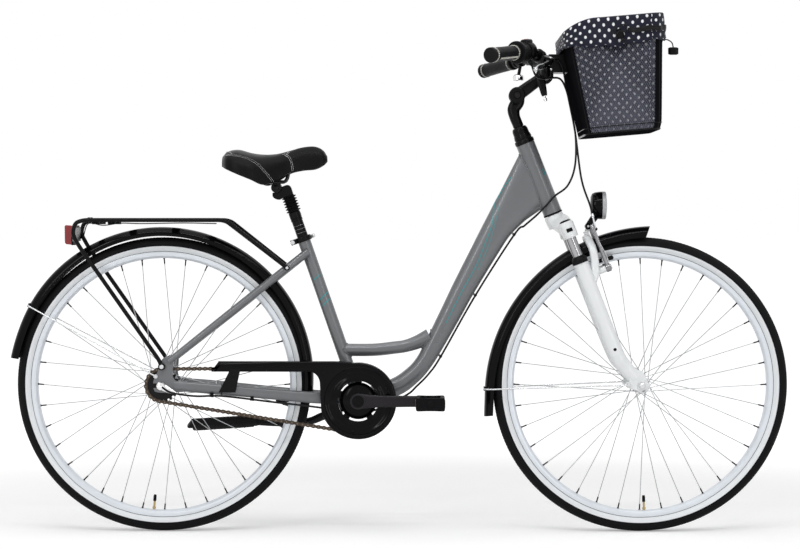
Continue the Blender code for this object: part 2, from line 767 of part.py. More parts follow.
def rear_mudguard_circle():
    return REAR + Vector((-0.005, 0, 0.0126)), WHEEL_RADIUS + 0.0115


def front_mudguard_circle():
    return FRONT + Vector((0.0366, 0, -0.0297)), WHEEL_RADIUS + 0.0564


def mudguard(name, circle, span, origin=(0, 0, 0)):
    """An arched strip: each section is half an oval, open towards the wheel."""
    centre, radius = circle
    start, end, steps = span
    outer = [(sin(radians(a)), cos(radians(a))) for a in range(-90, 91, 45)]
    wide, deep = GUARD_HALF_WIDTH - GUARD_SHEET, GUARD_DEPTH - GUARD_SHEET
    section = [(y * GUARD_HALF_WIDTH, out * GUARD_DEPTH) for y, out in outer]
    section += [(y * wide, out * deep) for y, out in outer[::-1]]
    loops = []
    for step in range(steps + 1):
        angle = radians(start + (end - start) * step / steps)
        loop = []
        for y, out in section:
            reach = radius - GUARD_DEPTH + out
            loop.append(centre + Vector((cos(angle) * reach, y, sin(angle) * reach)))
        loops.append(loop)
    return add(name, stacked(loops), "black_satin", origin)


def stay_wire(name, foot, circle, span, angle):
    """One wire from the right eyelet, over the mudguard, to the left eyelet."""
    centre, radius = circle
    away = Vector((cos(radians(angle)), 0, sin(radians(angle))))
    wire = 0.0018
    # The strip is made of flats, and the wire lies on the one that it crosses.
    flat = radians(span[1] - span[0]) / span[2]
    past = (radians(angle - span[0]) % flat) - flat / 2
    over = centre + away * (radius * cos(flat / 2) / cos(past) + wire + GAP)
    below = centre + away * (radius - 0.009)
    first = unit(Vector((below.x - foot.x, 0, below.z - foot.z)))
    beside = LEFT * -(GUARD_HALF_WIDTH + 0.0040)
    half = [foot, foot + first * 0.0120, below + beside, over + away * -0.0015 + LEFT * -0.0150]
    half.insert(3, below + away * 0.006 + beside * 0.97)
    path = half + [over] + flip(half)[::-1]
    obj = add(name, sweep(path, wire, 6, away), "silver")
    for eye in [foot] + flip([foot]):
        join(obj, rod(eye - LEFT * 0.0019, eye + LEFT * 0.0019, 0.0050, 8))
    return obj


# Rack, tail light and clip

def rack_points():
    top = rack_top()
    back = REAR.x - 0.2100
    foot = REAR + Vector((0.0012, -0.0725, 0.045))
    front_foot = rack_front_foot()
    half = 0.075
    return [
        foot,
        Vector((foot.x - 0.006, -half, foot.z + 0.016)),
        Vector((back + 0.0165, -half, top - 0.060)),
        Vector((back + 0.0015, -half, top - 0.032)),
        Vector((back + 0.0090, -half, top - 0.006)),
        Vector((back + 0.0290, -half, top)),
        Vector((REAR.x + 0.142, -half, top)),
        Vector((REAR.x + 0.156, -half + 0.001, top - 0.004)),
        front_foot + Vector((-0.014, -0.0020, 0.0110)),
        front_foot,
    ]


def rack_top():
    centre, radius = rear_mudguard_circle()
    return centre.z + radius + 0.0165


def rack_front_foot():
    stay = seatstay_points()
    spot = stay[2].lerp(stay[3], 0.55)
    return Vector((spot.x, spot.y - 0.0095 - GAP - 0.0052 - 0.0016, spot.z))


def rear_rack():
    wire = 0.0050
    rack = add("rear_rack", sweep(rack_points(), wire, 6), "black_satin")
    join(rack, mirrored(sweep(rack_points(), wire, 6)))
    top = rack_top()
    for x in (REAR.x - 0.176, REAR.x - 0.080, REAR.x + 0.030, REAR.x + 0.128):
        join(rack, block((x, 0, top - 0.0020), (0.010, 0.074, 0.0015)))
    back = Vector((REAR.x - 0.2085, 0, top - 0.034))
    join(rack, block(back, (0.0018, 0.0745, 0.0170), unit((1, 0, -0.1)), LEFT, unit((0.1, 0, 1))))
    # The clip's hinge ears stand up between the rails.
    for y in (-0.030, 0.030):
        join(rack, block((REAR.x - 0.176, y, top + 0.0015), (0.006, 0.003, 0.0030)))
    for y in (-1, 1):
        foot = rack_points()[0]
        join(rack, rod((foot.x, y * 0.0667, foot.z), (foot.x, y * 0.0763, foot.z), 0.0085, 8))
        spot = rack_front_foot()
        near, far = abs(spot.y) - 0.0050, abs(spot.y) + 0.0052
        join(rack, rod((spot.x, y * near, spot.z), (spot.x, y * far, spot.z), 0.0062, 8))
    return rack


def rack_clip():
    top = rack_top()
    hinge = Vector((REAR.x - 0.176, 0, top + 0.0021))
    wire = 0.0022
    reach = 0.225
    path = [hinge + Vector(spot) for spot in (
        (0, 0.0265, 0), (0, 0.0150, 0), (0.016, 0.014, 0), (reach - 0.02, 0.014, 0), (reach, 0.007, 0),
    )]
    other = flip(path)
    return add("rack_clip", sweep(path + other[::-1], wire, 6, side=UP), "chrome", hinge)


def tail_light():
    top = rack_top()
    back = REAR.x - 0.2085
    tilt = unit((1, 0, -0.1))
    rise = unit((0.1, 0, 1))
    outline = arc(0.0235, 90, 270, 8)
    outline = [(x * 0.85 - 0.0022, z) for x, z in outline]
    centre = Vector((back, 0, top - 0.0365))
    return add("tail_light", plate(outline, -0.040, 0.040, centre, tilt, rise, LEFT), "light_red")


# Kickstand

def stand_pivot():
    return BB + Vector((-0.052, 0.043, -0.0345))


STAND_FOLDED = unit((-0.350, 0.013, -0.032))
STAND_DOWN = unit((0.050, 0.225, -0.250))
STAND_AXIS = unit((STAND_DOWN - STAND_FOLDED).cross(Vector((1, 0, 0))))
if STAND_AXIS.y < 0:
    STAND_AXIS = -STAND_AXIS


def kickstand():
    pivot = stand_pivot()
    head = rod(pivot - STAND_AXIS * 0.006, pivot + STAND_AXIS * 0.010, 0.0120, ROUND)
    stand = add("kickstand", head, "black_steel", pivot)
    along = STAND_FOLDED
    drop = along.cross(STAND_AXIS) * 0.006
    leg = [
        pivot + STAND_AXIS * 0.002, pivot + along * 0.03 + drop, pivot + along * 0.09 + drop,
        pivot + along * 0.20,
    ]
    sizes = [(0.006, 0.011), (0.0065, 0.0125), (0.0065, 0.0095), (0.006, 0.009)]
    join(stand, sweep(leg, sizes, 8, STAND_AXIS, 0.7))
    foot = [pivot + along * reach for reach in (0.19, 0.215, 0.335, 0.352)]
    sizes = [(0.008, 0.011), (0.010, 0.0165), (0.010, 0.0172), (0.0085, 0.0120)]
    join(stand, sweep(foot, sizes, 8, STAND_AXIS, 0.7))
    return stand


# Seat post and saddle

def seat_clamp():
    inner = SEAT_TUBE_RADIUS + GAP
    profile = [(inner, -0.0120), (inner + 0.0030, -0.0120), (inner + 0.0030, 0.0008), (inner, 0.0008)]
    clamp = add("seat_clamp", turned(profile, on_seat(SEAT_TUBE_LENGTH), SEAT_UP, ROUND, LEFT), "black_satin")
    centre = on_seat(SEAT_TUBE_LENGTH - 0.0056, -inner - 0.0085)
    join(clamp, block(centre, (0.0075, 0.0110, 0.0062), SEAT_FORE, LEFT, SEAT_UP))
    bolt = on_seat(SEAT_TUBE_LENGTH - 0.0056, -inner - 0.0110)
    join(clamp, rod(bolt - LEFT * 0.0160, bolt + LEFT * CLAMP_BOLT, 0.0030, 8))
    return clamp


def clamp_lever_pivot():
    return on_seat(SEAT_TUBE_LENGTH - 0.0056, -SEAT_TUBE_RADIUS - GAP - 0.0110, CLAMP_BOLT + GAP + CAM_RADIUS)


def seat_clamp_lever():
    pivot = clamp_lever_pivot()
    cam = rod(pivot - SEAT_UP * 0.0050, pivot + SEAT_UP * 0.0050, CAM_RADIUS, 12)
    lever = add("seat_clamp_lever", cam, "chrome", pivot)
    line = [(0.0, 0.001), (0.012, 0.001), (0.034, 0.000), (0.046, -0.004), (0.053, -0.014), (0.052, -0.024)]
    path = [pivot + SEAT_FORE * fore + LEFT * out for fore, out in line]
    join(lever, sweep(path, (0.0045, 0.0022), 8, SEAT_UP))
    return lever


def seatpost_tube():
    outer, inner = POST_RADIUS, PLUNGER_RADIUS + GAP
    low, collar, top = 0.205, SEAT_TUBE_LENGTH + 0.040, SEAT_TUBE_LENGTH + BOOT_LOW
    profile = [
        (inner, low), (outer, low), (outer, collar), (0.0142, collar + 0.001), (0.0142, top), (inner, top),
    ]
    shape = turned(profile, on_seat(0), SEAT_UP, ROUND, LEFT)
    return add("seatpost_tube", shape, "black_satin", on_seat(SEAT_TUBE_LENGTH))


def seatpost_plunger():
    base = SEAT_TUBE_LENGTH + 0.104
    origin = on_seat(base)
    shaft = rod(on_seat(0.330), on_seat(base + 0.010), PLUNGER_RADIUS, ROUND)
    post = add("seatpost_plunger", shaft, "black_satin", origin)
    # The forged head reaches back under the saddle and carries the lower half of its clamp.
    bolt = saddle_pivot()
    outline = [(0.0125, -0.001), (0.0125, 0.017), (0.005, 0.0245), (-0.008, 0.0235), (-0.0115, 0.0165)]
    outline += [(-0.0315, 0.0180), (-0.0350, 0.0080), (-0.0220, -0.0030), (-0.0120, -0.001)]
    join(post, plate(outline, -0.0125, 0.0125, on_seat(base), SEAT_FORE, SEAT_UP, LEFT))
    cut(post, rod(bolt - LEFT * 0.03, bolt + LEFT * 0.03, 0.0128, ROUND))
    join(post, rod(bolt - LEFT * 0.0125, bolt + LEFT * 0.0125, 0.0045, 8))
    join(post, block(bolt - UP * 0.0085, (0.0045, 0.0050, 0.0075)))
    return post


def saddle_pivot():
    return on_seat(SEAT_TUBE_LENGTH + 0.1305, -0.0200)


def seatpost_boot():
    """Ribbed rubber round the plunger, from the collar to the head."""
    low, high = SEAT_TUBE_LENGTH + BOOT_LOW + GAP, SEAT_TUBE_LENGTH + 0.103 - GAP
    inner = PLUNGER_RADIUS + GAP
    ribs = 6
    profile = [(inner, low)]
    for index in range(ribs):
        start = low + (high - low) * index / ribs
        profile += [(0.0130, start), (BOOT_RADIUS, start + (high - low) / ribs * 0.5)]
    profile += [(0.0130, high), (inner, high)]
    return add("seatpost_boot", turned(profile, on_seat(0), SEAT_UP, ROUND, LEFT), "rubber", on_seat(low))


def saddle_clamp():
    """Clamp block on its pivot, with the two wire rails that it grips."""
    bolt = saddle_pivot()
    cheek = rod(bolt - LEFT * 0.0220, bolt - LEFT * 0.0050, 0.0123, ROUND)
    clamp = add("saddle_clamp", cheek, "black_steel", bolt)
    inner = rod(bolt - LEFT * 0.026, bolt + LEFT * 0.026, 0.0045 + RUN, 8)
    other = rod(bolt + LEFT * 0.0050, bolt + LEFT * 0.0220, 0.0123, ROUND)
    join(clamp, block(bolt + UP * 0.0135, (0.0170, 0.0250, 0.0042)), other)
    cut(clamp, inner, block(bolt + Vector((0, 0, -0.004)), (0.02, 0.0053, 0.0122)))
    drop = UP * (GAP + RAIL_RADIUS + 0.0002)
    rail = [
        saddle_under(0.06, -0.55) - drop, saddle_under(0.12, -0.50) - drop - UP * 0.003,
        bolt + Vector((-0.0440, -0.0270, 0.0190)), bolt + Vector((-0.018, -0.0225, 0.0150)),
        bolt + Vector((0.020, -0.0220, 0.0150)),
        saddle_under(0.64, -0.28) - drop - UP * 0.004, saddle_under(0.70, -0.10) - drop - UP * 0.0010,
    ]
    path = [Vector(p) for p in rail] + flip(rail)[::-1]
    join(clamp, sweep(path, RAIL_RADIUS, 6))
    return clamp


SADDLE_LENGTH = 0.246
SADDLE_ROWS = (
    # share of the length, half width, top, lower edge, all but the share in metres
    (0.00, 0.062, 0.034, 0.008),
    (0.05, 0.092, 0.045, 0.001),
    (0.15, 0.104, 0.049, -0.010),
    (0.28, 0.103, 0.041, -0.023),
    (0.40, 0.088, 0.0375, -0.035),
    (0.52, 0.064, 0.0395, -0.024),
    (0.64, 0.043, 0.047, -0.007),
    (0.76, 0.034, 0.0555, 0.000),
    (0.88, 0.031, 0.0575, 0.003),
    (0.96, 0.027, 0.048, 0.012),
    (1.00, 0.017, 0.034, 0.021),
)


def saddle_back():
    return saddle_pivot() + Vector((-0.1255, 0, 0.0410))


# How high the hollow under the saddle rises, as shares of the half width and of its lift.
HOLLOW = ((0.84, 1.0), (0.5, 1.25), (0.0, 1.4))
BASE_THICK = 0.0028


def saddle_lift(top, low):
    return min(0.024, (top - low) * 0.33)


def saddle_under(share, across):
    """A point under the saddle's base, at a share of the length and a share of the half width."""
    back = saddle_back()
    for here, after in zip(SADDLE_ROWS, SADDLE_ROWS[1:]):
        if here[0] <= share <= after[0]:
            f = (share - here[0]) / (after[0] - here[0])
            half, top, low = (here[k] + (after[k] - here[k]) * f for k in (1, 2, 3))
            break
    for (far, high), (near, higher) in zip(HOLLOW, HOLLOW[1:]):
        if near <= abs(across) <= far:
            rise = high + (higher - high) * (far - abs(across)) / (far - near)
    height = low + saddle_lift(top, low) * rise - GAP * 2 - BASE_THICK
    return Vector((back.x + SADDLE_LENGTH * share, back.y + half * across, back.z + height))


def saddle_cover():
    """Padded cover: crowned over the top, drawn in at the skirt, open below for the base."""
    back = saddle_back()
    hollow = [(0.90, 0.0)] + list(HOLLOW) + [(-far, high) for far, high in HOLLOW[1::-1]] + [(-0.90, 0.0)]
    loops = []
    for share, half, top, low in SADDLE_ROWS:
        ring = []
        for step in range(11):
            angle = pi * step / 10
            wide = abs(cos(angle)) ** 0.75 * (-1 if cos(angle) > 0 else 1)
            ring.append((wide * half, low + (top - low) * max(sin(angle), 0) ** 0.62))
        # The skirt's lip turns in, and the underside is hollowed above it.
        for across, up in hollow:
            ring.append((half * across, low + saddle_lift(top, low) * up))
        loops.append([back + Vector((SADDLE_LENGTH * share, y, z)) for y, z in ring])
    return add("saddle_cover", slit(stacked(loops)), "saddle_black", saddle_pivot())


def saddle_base():
    """Moulded shell under the cover, whose rails end against its underside."""
    columns = (-0.80, -0.5, 0.0, 0.5, 0.80)
    loops = []
    for row in SADDLE_ROWS[1:-1]:
        under = [saddle_under(row[0], across) for across in columns]
        loops.append(under + [spot + UP * BASE_THICK for spot in reversed(under)])
    return add("saddle_base", slit(stacked(loops)), "black_satin", saddle_pivot())


# Fork, brake and front light

def fork_crown():
    """Crown, steerer and the two stanchions that slide in the lower legs."""
    crown = HEAD_LOW - 0.0025
    race = rod(on_steer(crown - 0.030), on_steer(crown), 0.0225, ROUND)
    fork = add("fork_crown", race, "fork_white", on_steer(crown))
    outline = [
        (0.0, crown - 0.002), (0.022, crown - 0.002), (0.048, crown - 0.009), (0.066, crown - 0.021),
        (0.0745, crown - 0.034), (0.0745, crown - 0.0635), (0.0415, crown - 0.0635), (0.0405, crown - 0.046),
        (0.033, crown - 0.0355), (0.0, crown - 0.0325),
    ]
    outline += [(-y, t) for y, t in outline[::-1]]
    outline = [pair for index, pair in enumerate(outline) if index not in (9, 19)]
    join(fork, plate(outline, -0.014, 0.0275, on_steer(0), LEFT, STEER_UP, STEER_FORE))
    for y in (-STANCHION_Y, STANCHION_Y):
        low, high = on_steer(crown - 0.0635, 0.0165, y), on_steer(crown - 0.024, 0.0165, y)
        join(fork, rod(low, high, 0.0180, ROUND, STEER_FORE))
        low, high = on_steer(0.180, STANCHION_OFFSET, y), on_steer(crown - 0.030, STANCHION_OFFSET, y)
        join(fork, rod(low, high, STANCHION_RADIUS, ROUND, STEER_FORE))
    join(fork, rod(on_steer(crown - 0.010), on_steer(HEAD_HIGH + 0.0280), STEERER_RADIUS, ROUND))
    seat = HEAD_BORE * cos(pi / ROUND) - RUN
    join(fork, rod(on_steer(crown - 0.010), on_steer(crown + 0.0100), seat, ROUND))
    cut(fork, rod(on_steer(crown - 0.045), on_steer(HEAD_HIGH + 0.04), QUILL_RADIUS + GAP, ROUND))
    return fork


def fork_lowers():
    """Lower legs with the arch, the wheel's dropouts, the brake studs and the light's knuckle."""
    top = WHEEL_RADIUS - 0.0155
    inner = HUB_SPACE_FRONT
    outer = inner + 0.0150
    fork = add("fork_lowers", lower_leg(top), "fork_white", on_steer(0))
    arch = arch_height()
    half = [
        (0.262, 0.018, -0.0560), (0.290, 0.040, -0.0550), (arch - 0.036, 0.0535, -0.0450),
        (arch - 0.008, 0.0540, -0.0270), (arch, 0.0530, -0.0160),
    ]
    path = [on_steer(*spot) for spot in half]
    path += flip(path)[::-1]
    join(fork, sweep(path, (0.0095, 0.0060), 6, STEER_FORE, 0.8))
    join(fork, mirrored(lower_leg(top)))
    knuckle = light_pivot()
    join(fork, block(on_steer(arch + 0.006, 0.057), (0.006, 0.0058, 0.010), STEER_FORE, LEFT, STEER_UP))
    join(fork, rod(knuckle - LEFT * 0.0058, knuckle + LEFT * 0.0058, 0.0078, 10))
    join(fork, rod(on_steer(arch + 0.007, 0.055), knuckle, 0.0050, 8))
    join(fork, rod(knuckle - LEFT * 0.0135, knuckle + LEFT * 0.0135, 0.0025, 8))
    for side in (-1, 1):
        stud = BRAKE_STUD_Y * side
        join(fork, rod(on_steer(BRAKE_STUD, 0.012, stud), on_steer(BRAKE_STUD, 0.066, stud), 0.0080, 8))
        join(fork, rod(on_steer(BRAKE_STUD, 0.060, stud), on_steer(BRAKE_STUD, 0.0815, stud), 0.0040, 8))
        outline = arc(0.0160, 200, 350, 4)
        outline += [(0.0150, 0.030), (-0.0100, 0.052), (-0.0220, 0.050), (-0.0200, 0.0260)]
        outline += arc(0.0075, 60, 215, 3, (-0.0281, 0.0133))
        low, high = sorted((side * inner, side * outer))
        join(fork, plate(outline, low, high, FRONT, STEER_FORE, STEER_UP))
        bore = [on_steer(t, STANCHION_OFFSET, side * STANCHION_Y) for t in (0.125, 0.4)]
        cut(fork, rod(*bore, STANCHION_RADIUS + GAP, ROUND, STEER_FORE))
    slot = [(-0.0048, -0.04), (0.0048, -0.04)] + arc(0.0048, 0, 180, 4)
    cut(fork, plate(slot, -0.09, 0.09, FRONT, STEER_FORE, STEER_UP))
    return fork


def lower_leg(top):
    spots = [
        (top, STANCHION_OFFSET), (top - 0.012, STANCHION_OFFSET), (top - 0.018, STANCHION_OFFSET),
        (0.100, STANCHION_OFFSET), (0.055, 0.0235), (0.018, 0.0350),
    ]
    sizes = [
        (0.0160, 0.0160), (0.0160, 0.0160), (0.0172, 0.0185), (0.0160, 0.0180), (0.0115, 0.0172),
        (0.0075, 0.0150),
    ]
    return sweep([on_steer(t, o, -STANCHION_Y) for t, o in spots], sizes, 10, square=0.9)


def arch_height():
    """How far up the steering axis the arch's middle line lies, just above the mudguard."""
    centre, radius = front_mudguard_circle()
    return (centre - on_steer(0)).dot(STEER_UP) + radius + GAP + 0.0060


def light_pivot():
    return on_steer(arch_height() + 0.0235, 0.0665)


def front_axle():
    r = 0.0045
    inner = HUB_SPACE_FRONT - GAP
    outer = HUB_SPACE_FRONT + 0.0150 + GAP
    half = [
        (r, outer + 0.0125), (0.0100, outer + 0.0100), (0.0110, outer), (r, outer), (r, inner),
        (0.0082, inner), (0.0082, inner - 0.0075), (r, inner - 0.0075),
    ]
    profile = [(0, outer + 0.0125)] + half + [(a, -b) for a, b in reversed(half)] + [(0, -outer - 0.0125)]
    return add("front_axle", turned(profile, FRONT, LEFT, 8), "silver", FRONT)


def noodle_top():
    """Where the brake cable enters the curved pipe on the right brake arm."""
    return on_steer(BRAKE_STUD + 0.131, BRAKE_STUD_FORE + 0.0115, -BRAKE_STUD_Y - 0.0020)


def noodle_way():
    return unit(STEER_UP * 0.009 + STEER_FORE * 0.002 + LEFT * 0.0055)


def brake_arm(name, side):
    """One arm of the rim brake, with its pad, turning on a stud on the fork leg."""
    stud = on_steer(BRAKE_STUD, BRAKE_STUD_FORE, BRAKE_STUD_Y * side)
    spots = [(0.0, 0.0), (0.030, 0.0045), (0.065, 0.0080), (0.095, 0.0080), (0.108, 0.0055)]
    path = [stud + STEER_UP * up + LEFT * out * side for up, out in spots]
    sizes = [(0.0070, 0.0045), (0.0068, 0.0045), (0.0062, 0.0045), (0.0060, 0.0045), (0.0048, 0.0045)]
    arm = add(name, sweep(path, sizes, 8, square=0.7), "black_steel", stud)
    join(arm, rod(stud - STEER_FORE * 0.0060, stud + STEER_FORE * 0.0060, 0.0098, 10))
    reach = RIM_TOP - 0.0065
    fore = BRAKE_STUD_FORE - RAKE
    pad = FRONT + STEER_FORE * fore + STEER_UP * sqrt(reach ** 2 - fore ** 2)
    radial = unit(pad - FRONT)
    along = LEFT.cross(radial)
    middle = pad + LEFT * side * 0.0207
    join(arm, block(middle, (0.0220, 0.0050, 0.0052), along, LEFT, radial))
    join(arm, rod(pad + LEFT * side * 0.0230, pad + LEFT * side * 0.0455, 0.0035, 8))
    if side < 0:
        boot = [path[-2] + STEER_FORE * 0.0060 + LEFT * 0.002, path[-2] + STEER_FORE * 0.0085 + LEFT * 0.032]
        route = [noodle_top(), noodle_top() - noodle_way() * 0.0110]
        for up, fore, out in ((0.111, 0.0075, 0.0090), (0.101, 0.0060, 0.0060)):
            route.append(stud + STEER_UP * up + STEER_FORE * fore - LEFT * out)
        join(arm, sweep(route + [boot[0] + LEFT * 0.004], 0.0023, 6, STEER_FORE))
        join(arm, rod(boot[0], boot[1], 0.0036, 6))
    else:
        end = path[-2] + STEER_FORE * 0.0045
        join(arm, rod(end - STEER_FORE * 0.004, end + STEER_FORE * 0.0050, 0.0042, 8))
        join(arm, rod(end + STEER_FORE * 0.0025, end + STEER_FORE * 0.0025 - LEFT * 0.0400, 0.0012, 6))
    cut(arm, rod(stud - STEER_FORE * 0.02, stud + STEER_FORE * 0.0064, 0.0040 + GAP, 10))
    return arm


def headlight():
    pivot = light_pivot()
    centre = pivot + Vector((0.0245, 0, 0.0495))
    profile = [
        (0, -0.0190), (0.0140, -0.0190), (0.0260, -0.0120), (0.0325, 0.0020), (0.0330, 0.0165),
        (0.0290, 0.0180), (0.0270, 0.0168), (0, 0.0205),
    ]
    light = add("headlight", turned(profile, centre, FORE, 10), "black_gloss", pivot)
    for y in (-1, 1):
        low, high = pivot + LEFT * y * 0.0062, pivot + LEFT * y * 0.0105
        join(light, rod(low, high, 0.0078, 10))
        outline = [(-0.004, 0.0066), (0.0065, -0.0035), (0.0270, 0.0230), (0.0170, 0.0390)]
        a, b = sorted((y * 0.0062, y * 0.0105))
        join(light, plate(outline, a, b, pivot))
    cut(light, rod(pivot - LEFT * 0.02, pivot + LEFT * 0.02, 0.0025 + GAP, 10))
    return light


# Stem, handlebar and what is on it

BAR_CENTRE = Vector((FRONT.x - 0.228, 0, on_steer(HEAD_HIGH).z + 0.161))
STEM_KNUCKLE = on_steer(HEAD_HIGH + 0.1136, 0.0236)


def bar_point(x, y, z):
    """A point given from the handlebar's middle."""
    return BAR_CENTRE + Vector((x, y, z))


BAR_BEND = bar_point(-0.041, -0.152, 0.0485)
BAR_END = bar_point(-0.136, -BAR_HALF_WIDTH, 0.0295)
GRIP_WAY = unit(BAR_END - BAR_BEND)


def stem_quill():
    head = HEAD_HIGH + 0.0420
    knuckle = HEAD_HIGH + 0.1136
    quill = rod(on_steer(0.520), on_steer(head + 0.008), QUILL_RADIUS, ROUND)
    stem = add("stem_quill", quill, "black_satin", STEM_KNUCKLE)
    join(stem, rod(on_steer(head + 0.0008), on_steer(knuckle - 0.0178), BAR_CENTRE_RADIUS, ROUND))
    outline = [(-0.0355, -0.026), (-0.0125, -0.026)] + arc(0.0150, -60, 120, 5)
    join(stem, plate(outline, -0.0072, 0.0072, STEM_KNUCKLE, STEER_FORE, STEER_UP))
    join(stem, rod(STEM_KNUCKLE - LEFT * 0.0235, STEM_KNUCKLE + LEFT * 0.0235, 0.0040, 8))
    return stem


def stem_extension():
    run = BAR_CENTRE - STEM_KNUCKLE
    along = unit(run)
    across = LEFT.cross(along)
    length = run.length
    outline = [(0.0, 0.0150), (0.0, -0.0150), (0.020, -0.0150)]
    outline += [(length, -0.0135), (length, 0.0135), (0.020, 0.0150)]
    arm = plate(outline, -0.0150, 0.0150, STEM_KNUCKLE, along, -across, LEFT)
    stem = add("stem_extension", arm, "black_satin", STEM_KNUCKLE)
    join(stem, rod(STEM_KNUCKLE - LEFT * 0.0215, STEM_KNUCKLE + LEFT * 0.0215, 0.0195, 14))
    join(stem, rod(BAR_CENTRE - LEFT * 0.0235, BAR_CENTRE + LEFT * 0.0235, 0.0205, 14))
    cut(stem, rod(BAR_CENTRE - LEFT * 0.03, BAR_CENTRE + LEFT * 0.03, BAR_CENTRE_RADIUS + GAP, ROUND))
    cut(stem, rod(STEM_KNUCKLE - LEFT * 0.0077, STEM_KNUCKLE + LEFT * 0.0077, 0.0212, 14))
    cut(stem, rod(STEM_KNUCKLE - LEFT * 0.03, STEM_KNUCKLE + LEFT * 0.03, 0.0040 + GAP, 8))
    return stem


def bar_half():
    """The right half of the handlebar's line, from its middle to its end."""
    return [
        bar_point(0, -0.0420, 0), bar_point(-0.0005, -0.0520, 0.0030), bar_point(-0.0030, -0.0880, 0.0250),
        bar_point(-0.0055, -0.1000, 0.0320), bar_point(-0.0330, -0.1400, 0.0470), BAR_BEND, BAR_END,
    ]


def handlebar_bar():
    half = bar_half()
    path = flip(half)[::-1] + half
    sizes = [BAR_RADIUS] * 5 + [BAR_CENTRE_RADIUS] * 4 + [BAR_RADIUS] * 5
    return add("handlebar_bar", sweep(path, sizes, ROUND, UP, upright=True), "black_satin", BAR_CENTRE)


def on_grip(far, side=-1):
    """A point far along the straight end of the handlebar from its last bend."""
    spot = BAR_BEND + GRIP_WAY * far
    return Vector((spot.x, spot.y * -side, spot.z))


def grip_length():
    return (BAR_END - BAR_BEND).length


def grip(name, side, start):
    """A moulded sleeve with a closed outer end, flared at its inner end."""
    end = grip_length()
    way = Vector((GRIP_WAY.x, GRIP_WAY.y * -side, GRIP_WAY.z))
    inner, outer = BAR_RADIUS + GAP, GRIP_RADIUS
    profile = [
        (inner, start), (outer + 0.0010, start), (outer + 0.0010, start + 0.007),
        (outer - 0.0008, start + 0.011), (outer - 0.0008, end - 0.010), (outer + 0.0006, end - 0.005),
        (outer + 0.0006, end + 0.0025), (outer - 0.0020, end + 0.0040), (0, end + 0.0040), (0, end + GAP),
        (inner, end + GAP),
    ]
    return add(name, turned(profile, on_grip(0, side), way, ROUND), "grip_black")


def shifter_housing():
    """The gear shifter's fixed half: clamp, cable entry and the raised indicator window."""
    way, base = GRIP_WAY, BAR_BEND
    profile = [
        (BAR_RADIUS + GAP, 0.0020), (0.0175, 0.0020), (0.0205, 0.0050), (0.0205, TWIST_START - 0.0004),
        (BAR_RADIUS + GAP, TWIST_START - 0.0004),
    ]
    shifter = add("shifter_housing", turned(profile, base, way, ROUND), "black_satin")
    rise = unit(UP - way * way.z)
    window = on_grip(0.0140) + rise * 0.0185
    join(shifter, block(window, (0.0105, 0.0095, 0.0075), way, way.cross(rise), rise))
    entry = on_grip(0.0150) - rise * 0.0130
    run = shift_cable_points()[0] - entry
    join(shifter, rod(entry, entry + run - unit(run) * 0.0012, 0.0048, 8))
    return shifter


def shifter_twist():
    inner = (BAR_RADIUS + RUN) / cos(pi / ROUND)
    profile = [
        (inner, TWIST_START), (0.0185, TWIST_START), (0.0192, 0.040), (0.0240, 0.0540), (0.0240, TWIST_END),
        (inner, TWIST_END),
    ]
    shape = turned(profile, BAR_BEND, GRIP_WAY, ROUND)
    return add("shifter_twist", shape, "black_satin", on_grip(TWIST_START))


def perch_place():
    """Where the brake lever's clamp sits, its bar direction, and the lever's forward direction."""
    start, end = bar_half()[3], bar_half()[4]
    way = unit(end - start)
    ahead = Vector((0.95, 0, -0.31))
    ahead = unit(ahead - GRIP_WAY * ahead.dot(GRIP_WAY))
    return start.lerp(end, 0.45), way, ahead


def lever_pivot():
    spot, way, ahead = perch_place()
    return spot + ahead * 0.0300


def brake_perch():
    spot, way, ahead = perch_place()
    axis = unit(GRIP_WAY.cross(ahead))
    pivot = lever_pivot()
    inner = BAR_RADIUS + GAP
    profile = [(inner, -0.0075), (0.0160, -0.0075), (0.0160, 0.0075), (inner, 0.0075)]
    perch = add("brake_perch", turned(profile, spot, way, ROUND), "black_satin")
    outline = [(0.0135, 0.0100), (0.0370, 0.0090)] + arc(0.0075, 60, -90, 4, (0.0300, 0))
    outline += [(0.0135, -0.0140)]
    second = unit(axis.cross(ahead))
    join(perch, plate(outline, -0.0085, 0.0085, spot, ahead, second, axis))
    slot = [(0.0205, -0.0300), (0.0450, -0.0300), (0.0450, 0.0300), (0.0205, 0.0130)]
    cut(perch, plate(slot, -0.0046, 0.0046, spot, ahead, second, axis))
    join(perch, rod(pivot - axis * 0.0092, pivot + axis * 0.0092, 0.0025, 8, ahead))
    cut(perch, rod(spot - way * 0.02, spot + way * 0.02, inner, ROUND, UP))
    return perch


def brake_lever():
    spot, way, ahead = perch_place()
    axis = unit(GRIP_WAY.cross(ahead))
    pivot = lever_pivot()
    line = [
        (-0.008, 0.000), (0.012, 0.0030), (0.035, 0.0130), (0.065, 0.0205), (0.095, 0.0250), (0.117, 0.0320),
    ]
    path = [pivot + GRIP_WAY * far + ahead * off for far, off in line]
    sizes = [(0.0040, 0.0060), (0.0041, 0.0058), (0.0060, 0.0042)]
    sizes += [(0.0068, 0.0036), (0.0068, 0.0036), (0.0058, 0.0045)]
    lever = add("brake_lever", sweep(path, sizes, 8, axis, 0.8), "silver", pivot)
    cut(lever, rod(pivot - axis * 0.02, pivot + axis * 0.02, 0.0025 + GAP, 8, ahead))
    return lever


def bell_place():
    """The bell's clamp on the left half of the bar, and the middle of its dome below."""
    spot = on_grip(0.0180, 1)
    return spot, spot + Vector((-0.004, 0, -0.0370))


